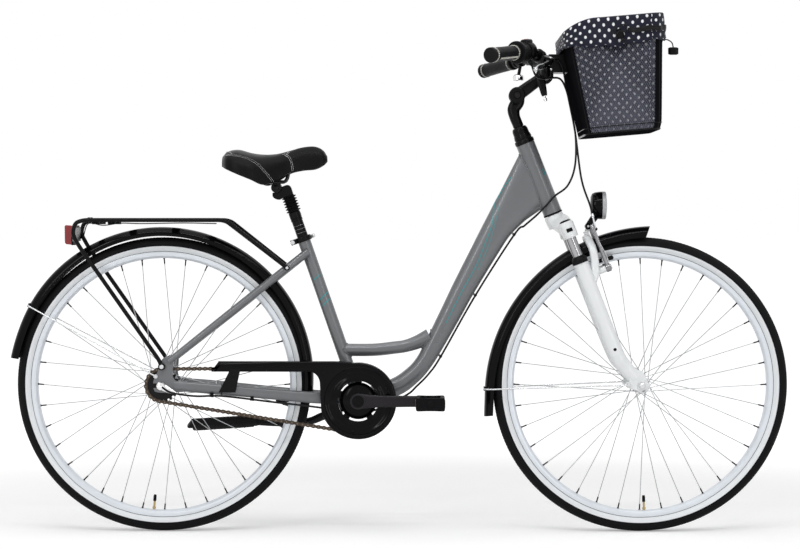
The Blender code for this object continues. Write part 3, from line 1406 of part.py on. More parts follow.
def bell():
    spot, dome = bell_place()
    way = Vector((GRIP_WAY.x, -GRIP_WAY.y, GRIP_WAY.z))
    inner = BAR_RADIUS + GAP
    profile = [(inner, -0.0070), (0.0150, -0.0070), (0.0150, 0.0070), (inner, 0.0070)]
    item = add("bell", turned(profile, spot, way, ROUND), "chrome")
    join(item, rod(spot - UP * 0.0130, dome + UP * 0.0020, 0.0040, 8))
    profile = [(0, 0.0), (0.0100, -0.0010), (0.0135, -0.0060), (0.0140, -0.0150), (0.0126, -0.0150)]
    profile += [(0.0120, -0.0065), (0.0090, -0.0030), (0, -0.0025)]
    join(item, turned([(r, h + 0.004) for r, h in profile], dome, UP, 10, FORE))
    join(item, block(spot + Vector((0.0165, 0, -0.0050)), (0.0055, 0.0042, 0.0030)))
    cut(item, rod(spot - way * 0.03, spot + way * 0.03, inner, ROUND, UP))
    return item


def bell_lever():
    spot, dome = bell_place()
    pivot = spot + Vector((0.0185, 0, -0.0083))
    profile = [(0, 0.0), (0.0042, 0.0), (0.0042, -0.0030), (0, -0.0030)]
    lever = add("bell_lever", turned(profile, pivot, UP, 8, FORE), "black_satin", pivot)
    middle = pivot - UP * 0.0016
    arm = [middle, middle + Vector((0.010, 0.016, 0)), middle + Vector((0.010, 0.026, 0))]
    join(lever, sweep(arm, (0.0035, 0.0013), 8))
    return lever


# Basket, liner and its cord

BASKET_FLOOR = BAR_CENTRE.z - 0.1455


def basket_levels():
    """Front, rear and side of the floor, the chamfer and the rim, with each one's height by x."""
    x = BAR_CENTRE.x
    floor = (x + 0.0890, x + 0.2640, 0.150)
    knee = (x + 0.0855, x + 0.2680, 0.1525)
    rim = (x + 0.0355, x + 0.2665, 0.180)
    return floor, knee, rim


def rim_height(share):
    """Height of the rim above the floor, from the rear (0) to the front (1)."""
    steep = 1 - (1 - min(share / 0.36, 1.0)) ** 2
    return 0.2340 + 0.0330 * steep + 0.0125 * max(share - 0.36, 0) / 0.64


def hem_height(share):
    """Height of the liner's hem above the floor, from the rear to the front."""
    return 0.2005 + 0.0180 * max(share - 0.5, 0) / 0.5


def loop_points(front, rear, half, corner, side_steps=5):
    """A rounded rectangle, as (x, y) pairs, from the front right corner round by the rear."""
    found = []
    corners = ((front - corner, -half + corner, -90), (front - corner, half - corner, 0))
    corners += ((rear + corner, half - corner, 90), (rear + corner, -half + corner, 180))
    for index, (x, y, start) in enumerate(corners):
        for angle in CORNER_ANGLES:
            a = radians(start + angle)
            found.append((x + corner * cos(a), y + corner * sin(a)))
        if index % 2:
            after = corners[(index + 1) % 4]
            a = radians(start + 90)
            begin = (x + corner * cos(a), y + corner * sin(a))
            b = radians(after[2])
            finish_at = (after[0] + corner * cos(b), after[1] + corner * sin(b))
            for step in range(1, side_steps):
                f = step / side_steps
                across = begin[0] + (finish_at[0] - begin[0]) * f
                found.append((across, begin[1] + (finish_at[1] - begin[1]) * f))
    return found


def basket_loop(share, grow, lift=0.0, steps=5, hem=0.0):
    """A loop round the basket at a share of its height; grow moves it out, lift moves it up.

    hem moves the loop from there towards the liner's hem, which it reaches at 1.
    """
    floor, knee, rim = basket_levels()
    found = []
    loops = []
    for rear, front, half in (floor, knee, rim):
        loops.append(loop_points(front + grow, rear - grow, half + grow, 0.030 + grow, steps))
    for index in range(len(loops[0])):
        (ax, ay), (bx, by), (cx, cy) = (loop[index] for loop in loops)
        fore = min(max((cx - rim[0]) / (rim[1] - rim[0]), 0), 1)
        tall = rim_height(fore)
        # The floor rises towards the front.
        ground = 0.015 * min(max((ax - floor[0]) / (floor[1] - floor[0]), 0), 1)
        up = share + hem * (hem_height(fore) / tall - share)
        if up < KNEE:
            x, y = ax + (bx - ax) * up / KNEE, ay + (by - ay) * up / KNEE
        else:
            f = (up - KNEE) / (1 - KNEE)
            x, y = bx + (cx - bx) * f, by + (cy - by) * f
        found.append(Vector((x, y, BASKET_FLOOR + ground + (tall - ground) * up + lift)))
    return found


def basket():
    outside = [basket_loop(share, 0.0) for share in (0.0, KNEE, 0.5, 1.0)]
    inside = [basket_loop(share, -WALL) for share in (1.0, 0.5, 0.07)] + [basket_loop(0.0, -WALL * 3, WALL)]
    item = add("basket", stacked(outside + inside), "black_satin")
    # Two hooks on the rear wall drop into the carrier on the handlebar.
    for y in (-0.026, 0.026):
        x, z = basket_back(HOOK_HEIGHT)
        inward = basket_slope()
        centre = Vector((x, y, z)) - inward * 0.0030
        join(item, block(centre, (0.0040, 0.0060, HOOK_HALF), inward, LEFT, inward.cross(LEFT)))
    return item


def basket_back(high):
    """The middle of the rear wall's outer face, high above the basket's floor."""
    floor, knee, rim = basket_levels()
    f = max(high / rim_height(0.0) - KNEE, 0) / (1 - KNEE)
    return knee[0] + (rim[0] - knee[0]) * f, BASKET_FLOOR + high


def basket_slope():
    x0, z0 = basket_back(0.04)
    x1, z1 = basket_back(0.18)
    return unit(Vector((z1 - z0, 0, -(x1 - x0))))


def basket_adapter():
    """Carrier block ahead of the stem, held to the bar by a clamp each side of it."""
    base = BAR_CENTRE
    low, high = base.z + 0.0060, base.z + 0.0490
    outline = []
    for z in (low, high):
        x, _ = basket_back(z - BASKET_FLOOR)
        outline.append((x - GAP / basket_slope().x, z))
    outline += [(base.x + 0.0090, high), (base.x + 0.0045, high - 0.010), (base.x + 0.0045, low)]
    item = add("basket_adapter", plate(outline, -0.0350, 0.0350), "black_satin")
    for y in (-1, 1):
        a, b = sorted((y * 0.0262, y * 0.0350))
        join(item, rod((base.x, a, base.z), (base.x, b, base.z), 0.0172, ROUND))
    cut(item, rod(base - LEFT * 0.0242, base + LEFT * 0.0242, 0.0216, 14))
    cut(item, rod(base - LEFT * 0.04, base + LEFT * 0.04, BAR_CENTRE_RADIUS + GAP, ROUND))
    slope = basket_slope()
    for y in (-0.026, 0.026):
        # Each slot is open at the top, so the basket lifts out.
        x, z = basket_back(HOOK_HEIGHT)
        depth = 0.0280
        rise = slope.cross(LEFT)
        if rise.z < 0:
            rise = -rise
        centre = Vector((x, y, z)) - slope * 0.0023 + rise * (depth - HOOK_HALF - GAP)
        cut(item, block(centre, (0.0053, 0.0064, depth), slope, LEFT, rise))
    return item


def basket_liner():
    """Cloth bag: down the walls to the floor, and folded out over the rim in a loose band."""
    inner = -WALL - 0.0010
    under = [
        basket_loop(0.0, inner - WALL * 3, WALL + 0.0007, LINER_STEPS),
        basket_loop(0.075, inner, 0, LINER_STEPS),
        basket_loop(0.55, inner, 0, LINER_STEPS), basket_loop(1.0, inner, -0.0005, LINER_STEPS),
        basket_loop(1.0, -0.0012, 0.0026, LINER_STEPS), folded(0.0, 0.0010, 0.2), folded(0.45, 0.0030, 0.6),
        folded(1.0, 0.0040, 1.0),
    ]
    over = [
        folded(1.0, 0.0040 + CLOTH, 1.0), folded(0.45, 0.0030 + CLOTH, 0.6), folded(0.0, 0.0010 + CLOTH, 0.2),
        basket_loop(1.0, -0.0012, 0.0026 + CLOTH, LINER_STEPS),
        basket_loop(1.0, inner - CLOTH, -0.0005 + CLOTH, LINER_STEPS),
        basket_loop(0.55, inner - CLOTH, 0, LINER_STEPS), basket_loop(0.075, inner - CLOTH, 0, LINER_STEPS),
        basket_loop(0.0, inner - WALL * 3, WALL + 0.0007 + CLOTH, LINER_STEPS),
    ]
    item = add("basket_liner", stacked(under + over), "cloth_navy")
    fore, rise = unit((0.9, 0, 0.3)), unit((-0.3, 0, 0.9))
    join(item, block(liner_toggle(), (0.0090, 0.0060, 0.0100), fore, LEFT, rise))
    return item


def liner_toggle():
    floor, knee, rim = basket_levels()
    return Vector((BAR_CENTRE.x + 0.1645, -rim[2] - 0.0080, BASKET_FLOOR + 0.2294))


def folded(down, out, wave):
    """A loop of the band outside the rim, from the rim (0) to the hem (1), in shallow folds."""
    loop = basket_loop(1.0, 0.0, 0.0, LINER_STEPS, down)
    floor, knee, rim = basket_levels()
    middle = Vector(((rim[0] + rim[1]) / 2, 0, 0))
    found = []
    for index, point in enumerate(loop):
        away = Vector((point.x - middle.x, point.y, 0))
        square = Vector((away.x / (rim[1] - rim[0]) * 2, away.y / rim[2], 0))
        push = Vector((square.x ** 3, square.y ** 3, 0)).normalized()
        ripple = 0.0016 * wave * (1 + sin(index * 2.1))
        found.append(point + push * (out + ripple))
    return found


def drawcord():
    """The liner's loose cord end, hanging in front with a toggle on it."""
    band = folded(1.0, 0.0040 + CLOTH, 1.0)
    first, last = band[len(CORNER_ANGLES) - 1], band[len(CORNER_ANGLES)]
    start = first.lerp(last, 0.22) + Vector((GAP * 2, 0, 0.0020))
    route = [(0, 0, 0), (0.010, 0, 0.0015), (0.021, -0.002, -0.0055), (0.0245, -0.003, -0.0170)]
    path = smooth([start + Vector(spot) for spot in route], 3)
    cord = add("drawcord", sweep(path, CORD_RADIUS, 6, LEFT), "cable_black")
    join(cord, block(path[-1] - UP * 0.0085, (0.0125, 0.0060, 0.0090)))
    return cord


# Cables

def tube(name, points, radius, colour, step):
    """A cord as a curve with filled caps, on points read evenly from a smooth line."""
    line = smooth(points, 24)
    length = sum((b - a).length for a, b in zip(line, line[1:]))
    count = int(round(length / step))
    spots, gone, want = [line[0]], 0.0, length / count
    for a, b in zip(line, line[1:]):
        run = (b - a).length
        while gone + run >= want and len(spots) < count:
            f = (want - gone) / run
            a = a.lerp(b, f)
            spots.append(a.copy())
            run = (b - a).length
            gone = 0.0
        gone += run
    spots.append(line[-1])
    curve = bpy.data.curves.new(name, "CURVE")
    curve.dimensions = "3D"
    curve.bevel_depth = radius
    curve.bevel_resolution = 1
    curve.use_fill_caps = True
    spline = curve.splines.new("POLY")
    spline.points.add(len(spots) - 1)
    for point, spot in zip(spline.points, spots):
        point.co = (*spot, 1)
    curve.materials.append(look(colour))
    obj = bpy.data.objects.new(name, curve)
    bpy.context.scene.collection.objects.link(obj)
    print(name, "length", round(length, 3), "m,", len(spots), "points")
    return obj


def brake_cable_points():
    spot, way, ahead = perch_place()
    start = spot + ahead * 0.0240 - GRIP_WAY * 0.0185
    end = noodle_top() + noodle_way() * GAP * 2
    return [
        start, start - GRIP_WAY * 0.0200, bar_point(0.0300, -0.0690, 0.0330),
        bar_point(0.0410, -0.0610, 0.0110), bar_point(0.0510, -0.0600, -0.0430),
        bar_point(0.0690, -0.0600, -0.1330), bar_point(0.0845, -0.0580, -0.2450),
        end + noodle_way() * 0.0150 + Vector((-0.004, -0.004, 0.010)), end,
    ]


def shift_cable_points():
    way = cable_stops()[0][1]
    stops = [spot + way * (CLIP_HEIGHT + GAP * 2 + CABLE_RADIUS) for spot, way in cable_stops()]
    entry = on_grip(0.0150) + Vector((0.012, 0.004, -0.0320))
    stay = chainstay_points()
    near = LEFT * -0.004
    return [
        entry, entry + Vector((0.010, 0.018, -0.022)), bar_point(0.0050, -0.1050, -0.0370),
        bar_point(0.0320, -0.0830, -0.0560), bar_point(0.0550, -0.0730, -0.0980),
        bar_point(0.0700, -0.0700, -0.1600), bar_point(0.0690, -0.0640, -0.2150),
        bar_point(0.0530, -0.0480, -0.2610), on_steer(HEAD_LOW + 0.0390, 0.0190, -0.0270),
        on_steer(HEAD_LOW + 0.0255, -0.0090, -0.0290), frame_line(0.893, 0.0490) + LEFT * -0.0230,
        frame_line(0.840, 0.0430) + LEFT * -0.0120, stops[0], stops[1], stops[2],
        frame_line(0.225, 0.0905) + near, frame_line(0.165, 0.0870) + near, frame_line(0.112, 0.0800) + near,
        BB + Vector((0.026, -0.010, -0.0300)), BB + Vector((-0.010, -0.020, -0.0290)),
        stay[3] + Vector((-0.020, -0.003, -0.0195)),
        stay[2].lerp(stay[1], 0.15) + Vector((0, -0.003, -0.0185)),
        stay[1] + Vector((0.045, -0.006, -0.0185)), stay[1] + Vector((-0.020, -0.013, -0.0180)),
        REAR + Vector((0.025, -0.0860, -0.0150)), REAR + Vector((0.004, -0.0907, -0.0020)),
    ]


# The pieces, body by body

main_frame()
headset_upper()
bottom_bracket()
chain()
chain_guard()
mudguard("rear_mudguard", rear_mudguard_circle(), REAR_SPAN)
rear_eye = REAR + Vector((-0.0135, -0.0686, 0.0220))
stay_wire("rear_mudguard_stay", rear_eye, rear_mudguard_circle(), REAR_SPAN, 151)
rear_rack()
tail_light()
rear_axle()
coaster_arm()
seat_clamp()
tube("shift_cable", shift_cable_points(), CABLE_RADIUS, "cable_black", 0.0330)
kickstand()
seat_clamp_lever()
rack_clip()
seatpost_tube()
seatpost_boot()
seatpost_plunger()
saddle_clamp()
saddle_base()
saddle_cover()
crank_spindle()
crank_arm("crank_right", -1, 1)
crank_arm("crank_left", 1, -1)
chainring()
crank_disc()
pedal("pedal_right", -1, 1)
pedal("pedal_left", 1, -1)
rear_sprocket()
hub("rear_hub", REAR, HUB_FLANGE_REAR, 0.0210, (0.0385, -0.0300))
rim("rear_rim", REAR)
tyre("rear_tyre", REAR)
fork_crown()
stem_quill()
stem_extension()
handlebar_bar()
grip("grip_right", -1, TWIST_END + 0.0006)
grip("grip_left", 1, 0.0450)
shifter_housing()
shifter_twist()
brake_perch()
brake_lever()
bell()
bell_lever()
basket_adapter()
basket()
basket_liner()
drawcord()
fork_lowers()
mudguard("front_mudguard", front_mudguard_circle(), FRONT_SPAN)
front_eye = on_steer(0.0133, RAKE - 0.0281, -0.0675)
stay_wire("front_mudguard_stay", front_eye, front_mudguard_circle(), FRONT_SPAN, 177.3)
front_axle()
headlight()
brake_arm("brake_arm_right", -1)
brake_arm("brake_arm_left", 1)
hub("front_hub", FRONT, HUB_FLANGE_FRONT, 0.0150, (0.0415, -0.0415))
rim("front_rim", FRONT)
tyre("front_tyre", FRONT)
tube("brake_cable", brake_cable_points(), CABLE_RADIUS, "cable_black", 0.0180)
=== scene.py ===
from math import atan2, cos, hypot, pi, radians, sin, sqrt

import bmesh
import bpy
import numpy as np
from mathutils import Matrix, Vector
from mathutils.bvhtree import BVHTree


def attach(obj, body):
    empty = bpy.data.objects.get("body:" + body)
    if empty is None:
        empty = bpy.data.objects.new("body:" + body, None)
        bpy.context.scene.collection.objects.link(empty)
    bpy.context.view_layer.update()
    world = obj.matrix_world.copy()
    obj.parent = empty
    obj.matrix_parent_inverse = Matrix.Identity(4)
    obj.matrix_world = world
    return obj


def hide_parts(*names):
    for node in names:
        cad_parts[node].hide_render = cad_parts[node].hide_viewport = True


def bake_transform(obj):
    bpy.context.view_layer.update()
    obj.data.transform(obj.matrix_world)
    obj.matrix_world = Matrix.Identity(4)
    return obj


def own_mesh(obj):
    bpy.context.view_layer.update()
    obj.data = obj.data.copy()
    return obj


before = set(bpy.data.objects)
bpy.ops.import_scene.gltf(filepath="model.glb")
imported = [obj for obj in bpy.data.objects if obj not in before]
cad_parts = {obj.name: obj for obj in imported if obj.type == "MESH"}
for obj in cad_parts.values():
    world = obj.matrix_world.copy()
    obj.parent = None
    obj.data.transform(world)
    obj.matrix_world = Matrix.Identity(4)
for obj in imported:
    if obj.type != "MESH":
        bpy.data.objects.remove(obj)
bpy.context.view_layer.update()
scene = bpy.context.scene

# Clearances
GAP = 0.0003
RUN = 0.0004

# Wheels
WHEEL_RADIUS = 0.350
TYRE_WIDTH = 0.041
TYRE_HEIGHT = 0.034
RIM_DEPTH = 0.016
RIM_WIDTH = 0.027
BEAD_DEPTH = 0.0062
SPOKES = 36
HUB_FLANGE_REAR = 0.031
HUB_FLANGE_FRONT = 0.021
FLANGE_Y = 0.029
FLANGE_HALF = 0.0025
SPOKE_OFFSET = 0.00115
AXLE_RADIUS = 0.005

# Frame layout
HEAD_LEAN = radians(21.6)
SEAT_LEAN = radians(19.3)
RAKE = 0.0434
BB_DROP = 0.036
STAY_CLEAR = 0.114
FRONT_CLEAR = 0.319
HEAD_CLEAR = 0.1025
HEAD_LENGTH = 0.180
HEAD_RADIUS = 0.0225
SEAT_TUBE_LENGTH = 0.410
SEAT_TUBE_RADIUS = 0.0152
POST_RADIUS = 0.0131
PLUNGER_RADIUS = 0.0100
BB_RADIUS = 0.0205
BB_HALF_WIDTH = 0.034
DROPOUT_INNER = 0.0603
DROPOUT_THICK = 0.006
CLAMP_BOLT = 0.0190
CAM_RADIUS = 0.0050
RAIL_RADIUS = 0.0034

# Steering and suspension
STEERER_RADIUS = 0.0143
QUILL_RADIUS = 0.0111
STANCHION_RADIUS = 0.0127
STANCHION_Y = 0.058
STANCHION_OFFSET = 0.0150
HUB_SPACE_FRONT = 0.0503
BRAKE_STUD = WHEEL_RADIUS - 0.0623
BRAKE_STUD_Y = 0.042
BRAKE_STUD_FORE = 0.0725

# Drive
CHAINRING_TEETH = 38
SPROCKET_TEETH = 19
PITCH = 0.0127
CHAIN_LINE = -0.048
TOOTH_HALF_WIDTH = 0.0011
CRANK_LENGTH = 0.170
SPINDLE_RADIUS = 0.0085
GUARD_RADIUS = 0.0905
GUARD_HOLE = 0.0475

# Mudguards
GUARD_HALF_WIDTH = 0.0262
GUARD_DEPTH = 0.020
GUARD_SHEET = 0.0016
# First and last angle in degrees, from level ahead of each wheel
REAR_SPAN = (-5, 172)
FRONT_SPAN = (92, 186.5)

# Handlebar
BAR_RADIUS = 0.0111
BAR_CENTRE_RADIUS = 0.0127
GRIP_RADIUS = 0.0168
BAR_HALF_WIDTH = 0.300
TWIST_START = 0.0265
TWIST_END = 0.0640

# Basket, cords and cables
WALL = 0.0025
KNEE = 0.06
HOOK_HEIGHT = 0.165
HOOK_HALF = 0.0055
CORD_RADIUS = 0.0014
CABLE_RADIUS = 0.0024
CLIP_HEIGHT = 0.0026

# Number of flats on round pieces that fit one another
ROUND = 12

# Derived places
CHAINSTAY = WHEEL_RADIUS + STAY_CLEAR
REAR_X = -(CHAINSTAY + WHEEL_RADIUS + FRONT_CLEAR) / 2 + 0.0045
BB = Vector((REAR_X + CHAINSTAY, 0, WHEEL_RADIUS - BB_DROP))
REAR = Vector((REAR_X, 0, WHEEL_RADIUS))
FRONT = Vector((BB.x + WHEEL_RADIUS + FRONT_CLEAR, 0, WHEEL_RADIUS))
STEER_UP = Vector((-sin(HEAD_LEAN), 0, cos(HEAD_LEAN)))
STEER_FORE = Vector((cos(HEAD_LEAN), 0, sin(HEAD_LEAN)))
SEAT_UP = Vector((-sin(SEAT_LEAN), 0, cos(SEAT_LEAN)))
SEAT_FORE = Vector((cos(SEAT_LEAN), 0, sin(SEAT_LEAN)))
LEFT = Vector((0, 1, 0))
UP = Vector((0, 0, 1))
FORE = Vector((1, 0, 0))
HEAD_LOW = WHEEL_RADIUS + HEAD_CLEAR
HEAD_HIGH = HEAD_LOW + HEAD_LENGTH
RIM_TOP = WHEEL_RADIUS - TYRE_HEIGHT - GAP
RIM_INNER = RIM_TOP - RIM_DEPTH
RING_RADIUS = PITCH / 2 / sin(pi / CHAINRING_TEETH)
SPROCKET_RADIUS = PITCH / 2 / sin(pi / SPROCKET_TEETH)


def on_steer(t, o=0.0, y=0.0):
    """A point t up the steering axis from beside the front axle, o ahead of that axis."""
    return FRONT + STEER_UP * t + STEER_FORE * (o - RAKE) + LEFT * y


def on_seat(t, o=0.0, y=0.0):
    """A point t up the seat tube's axis from the bottom bracket, o ahead of it."""
    return BB + Vector((0.002, 0, 0)) + SEAT_UP * t + SEAT_FORE * o + LEFT * y


def linked(name, data):
    """A new object of the scene."""
    obj = bpy.data.objects.new(name, data)
    scene.collection.objects.link(obj)
    return obj


# Camera: the photograph's place and lens. Its vanishing point lies right of and above the middle.

IMAGE_WIDTH = 800
IMAGE_MIDDLE = (400, 274.5)
VANISHING = (422, 222)
FOCAL_PIXELS = 2500
EYE = Vector((0.0524, -5.95, 0.736))


def from_pixel(px, py, y=0.0):
    """The point at depth y that lies behind a pixel of the photograph."""
    share = (y - EYE.y) / FOCAL_PIXELS
    return Vector((EYE.x + (px - VANISHING[0]) * share, y, EYE.z - (py - VANISHING[1]) * share))


lens = bpy.data.cameras.new("camera")
lens.sensor_width = 36
lens.lens = FOCAL_PIXELS * lens.sensor_width / IMAGE_WIDTH
camera = linked("camera", lens)
camera.location = EYE
ahead = [(middle - far) / FOCAL_PIXELS for middle, far in zip(IMAGE_MIDDLE, VANISHING)]
camera.rotation_euler = Vector((ahead[0], 1, -ahead[1])).to_track_quat("-Z", "Y").to_euler()
scene.camera = camera


# Materials

LOOKS = {}
FINISHES = {
    # colour, roughness, metal, coat, unevenness, cloud scale, grain scale, relief, specular, sheen, dust
    "grey paint": ((0.136, 0.142, 0.150), 0.30, 0.20, 0.30, 0.05, 9, 1500, 0.10, 0.45),
    "white paint": ((0.80, 0.82, 0.83), 0.28, 0, 0.3, 0.02, 12, 900, 0.03),
    "teal": ((0.02, 0.24, 0.26), 0.35, 0, 0.2),
    "gloss black": ((0.0020, 0.0020, 0.0026), 0.13, 0, 0, 0.2, 14, 500, 0.03, 0.09),
    "satin black": ((0.0034, 0.0034, 0.0040), 0.26, 0, 0, 0.25, 30, 1300, 0.12, 0.11),
    "matt black": ((0.0050, 0.0050, 0.0058), 0.55, 0, 0, 0.3, 40, 1500, 0.25, 0.06),
    "black steel": ((0.010, 0.010, 0.011), 0.32, 0.2, 0, 0.25, 40, 1200, 0.12, 0.14),
    "dark alloy": ((0.014, 0.012, 0.014), 0.32, 0.2, 0, 0.18, 25, 1600, 0.12, 0.2),
    "brake alloy": ((0.26, 0.26, 0.27), 0.25, 1.0, 0, 0.25, 90, 1400, 0.15),
    "stanchion": ((0.34, 0.34, 0.35), 0.10, 1.0, 0, 0.08, 12, 900, 0.02),
    "silver": ((0.60, 0.61, 0.62), 0.28, 1.0, 0, 0.10, 60, 1400, 0.08),
    "wire": ((0.42, 0.43, 0.44), 0.32, 1.0, 0, 0.15, 60, 1400, 0.06),
    "chrome": ((0.80, 0.80, 0.81), 0.09, 1.0, 0, 0.05, 20, 900, 0.02),
    "rim alloy": ((0.695, 0.73, 0.775), 0.34, 0.45, 0, 0.05, 30, 1800, 0.10),
    "tyre black": ((0.0062, 0.0062, 0.0070), 0.72, 0, 0, 0.3, 35, 1100, 0.35, 0.07, 0, 0.004),
    "tyre white": ((0.79, 0.81, 0.83), 0.6, 0, 0, 0.04, 30, 1100, 0.2),
    "rubber": ((0.0050, 0.0050, 0.0056), 0.45, 0, 0, 0.3, 40, 900, 0.3, 0.10),
    "cream thread": ((0.62, 0.60, 0.54), 0.8, 0, 0, 0.1, 400, 2500, 0.6),
    "white thread": ((0.72, 0.72, 0.71), 0.8, 0, 0, 0.1, 400, 2500, 0.6),
    "chain brown": ((0.060, 0.045, 0.034), 0.38, 0.8, 0, 0.3, 90, 900, 0.15),
    "pin steel": ((0.17, 0.14, 0.11), 0.25, 1.0, 0, 0.1, 90, 900, 0.1),
    "red plastic": ((0.26, 0.004, 0.008), 0.16, 0, 0.3, 0.15, 60, 500, 0.05),
    "amber": ((0.30, 0.10, 0.01), 0.2, 0, 0.3),
    "brass": ((0.45, 0.34, 0.16), 0.3, 1.0),
    "cable black": ((0.006, 0.006, 0.007), 0.34, 0, 0, 0.2, 60, 900, 0.1, 0.16),
    "sheet black": ((0.0070, 0.0070, 0.0082), 0.7, 0, 0, 0.3, 40, 1500, 0.3, 0.0),
    "basket wire": ((0.112, 0.116, 0.150), 0.35, 0.3, 0, 0.2, 60, 1200, 0.1, 0.4),
    "light grey": ((0.45, 0.46, 0.47), 0.35),
    "grip rubber": ((0.0060, 0.0060, 0.0068), 0.42, 0, 0, 0.25, 60, 1000, 0.3, 0.09),
    "navy": ((0.010, 0.011, 0.024), 0.85, 0, 0, 0.08, 18, 700, 0.3, 0.15, 0.12),
    "saddle skin": ((0.0036, 0.0036, 0.0042), 0.36, 0, 0, 0.25, 30, 900, 0.35, 0.09),
}


def fill(tree, node, inputs):
    """Sets a node's inputs; each takes a value or the output of another node."""
    for key, value in inputs.items():
        if isinstance(value, bpy.types.NodeSocket):
            tree.links.new(value, node.inputs[key])
        else:
            node.inputs[key].default_value = value


def added(tree, kind, inputs):
    """A new shader node with its inputs."""
    node = tree.nodes.new("ShaderNode" + kind)
    if kind == "Mix":
        node.data_type = "RGBA"
    fill(tree, node, inputs)
    return node


def surface(name, colour, rough, metal=0.0, coat=0.0, vary=0.08, cloud=18.0, grain=700.0, bump=0.1,
            specular=0.5, sheen=0.0, dust=0.0):
    """A finish with uneven colour and gloss, a fine grain and, with dust, paler worn patches."""
    look = bpy.data.materials.new(name)
    look.use_nodes = True
    tree = look.node_tree
    shader = tree.nodes["Principled BSDF"]
    place = tree.nodes.new("ShaderNodeTexCoord").outputs["Object"]
    clouds = added(tree, "TexNoise", {"Scale": cloud, "Detail": 6, "Vector": place}).outputs["Fac"]
    dark, pale = [c * (1 - vary) for c in colour], [min(c * (1 + vary) + dust, 1) for c in colour]
    mix = added(tree, "Mix", {"A": (*dark, 1), "B": (*pale, 1), "Factor": clouds})
    gloss = added(tree, "MapRange", {"From Min": 0.3, "From Max": 0.7, "To Min": rough * 0.82,
                                     "To Max": rough * 1.18, "Value": clouds})
    fine = added(tree, "TexNoise", {"Scale": grain, "Detail": 3, "Vector": place}).outputs["Fac"]
    relief = added(tree, "Bump", {"Strength": bump, "Distance": 0.0004, "Height": fine}).outputs["Normal"]
    fill(tree, shader, {
        "Metallic": metal, "Coat Weight": coat, "Coat Roughness": 0.06, "Specular IOR Level": specular,
        "Sheen Weight": sheen, "Base Color": mix.outputs["Result"], "Roughness": gloss.outputs["Result"],
        "Normal": relief,
    })
    LOOKS[name] = look
    return tree, shader, relief, fine


def calculated(tree, kind, *values):
    """A Math node on numbers or outputs."""
    node = added(tree, "Math", dict(enumerate(values)))
    node.operation = kind
    return node.outputs[0]


def clear_lens():
    tree, shader = surface("clear lens", (0.92, 0.94, 0.96), 0.06, bump=0.02)[:2]
    fill(tree, shader, {"Transmission Weight": 0.9, "IOR": 1.35})


def leather(name):
    """Pebbled grain on top of the fine one."""
    tree = LOOKS[name].node_tree
    place = tree.nodes["Texture Coordinate"].outputs["Object"]
    cells = added(tree, "TexVoronoi", {"Scale": 620, "Vector": place})
    cells.feature = "DISTANCE_TO_EDGE"
    pebbles = added(tree, "Bump", {"Strength": 0.35, "Distance": 0.0004, "Height": cells.outputs["Distance"],
                                   "Normal": tree.nodes["Bump"].outputs["Normal"]})
    fill(tree, tree.nodes["Principled BSDF"], {"Normal": pebbles.outputs["Normal"]})


DOT_ACROSS, DOT_DOWN, DOT_RADIUS, DOT_BLUR = 0.0222, 0.0098, 0.0031, 0.00025
THREAD_PITCH = 0.0007


def dotted_cloth():
    """Navy weave with white dots in staggered rows, on UVs that hold metres along and up the cloth."""
    tree, shader, relief, fine = surface("cloth", *FINISHES["navy"])
    where = added(tree, "SeparateXYZ", {0: tree.nodes["Texture Coordinate"].outputs["UV"]})
    along, up = where.outputs["X"], where.outputs["Y"]

    def work(kind, *values):
        return calculated(tree, kind, *values)

    row = work("DIVIDE", up, DOT_DOWN)
    shift = work("MULTIPLY", work("MODULO", work("FLOOR", row), 2.0), 0.5)
    column = work("ADD", work("DIVIDE", along, DOT_ACROSS), shift)
    across = work("MULTIPLY", work("SUBTRACT", work("FRACT", column), 0.5), DOT_ACROSS)
    rise = work("MULTIPLY", work("SUBTRACT", work("FRACT", row), 0.5), DOT_DOWN)
    away = work("SQRT", work("ADD", work("MULTIPLY", across, across), work("MULTIPLY", rise, rise)))
    wobble = work("MULTIPLY", work("SUBTRACT", fine, 0.5), 0.0012)
    inside = tree.nodes.new("ShaderNodeMapRange")
    fill(tree, inside, {"From Min": DOT_RADIUS + DOT_BLUR, "From Max": DOT_RADIUS - DOT_BLUR,
                        "Value": work("ADD", away, wobble)})
    paint = added(tree, "Mix", {"A": tree.nodes["Mix"].outputs["Result"], "B": (0.80, 0.81, 0.83, 1),
                                "Factor": inside.outputs["Result"]})
    threads = 2 * pi / THREAD_PITCH
    weave = work("MULTIPLY", work("SINE", work("MULTIPLY", along, threads)),
                 work("SINE", work("MULTIPLY", up, threads)))
    cloth = added(tree, "Bump", {"Strength": 0.35, "Distance": 0.0003, "Height": weave, "Normal": relief})
    fill(tree, shader, {"Sheen Roughness": 0.6, "Base Color": paint.outputs["Result"],
                        "Normal": cloth.outputs["Normal"]})


for finish, settings in FINISHES.items():
    surface(finish, *settings)
clear_lens()
leather("saddle skin")
leather("grip rubber")
dotted_cloth()


# Shape helpers: each gives (points, faces) of one closed shape

def unit(vector):
    return Vector(vector).normalized()


def stacked(loops, closed=False):
    """A shape through loops of as many points each; its ends are capped, or joined if closed."""
    count, rows = len(loops[0]), len(loops)
    points = [Vector(point) for loop in loops for point in loop]
    faces = []
    for level in range(rows if closed else rows - 1):
        low, high = level * count, (level + 1) % rows * count
        for step in range(count):
            after = (step + 1) % count
            faces.append((low + step, low + after, high + after, high + step))
    if not closed:
        faces.append(tuple(range(count))[::-1])
        faces.append(tuple(range((rows - 1) * count, rows * count)))
    return points, faces


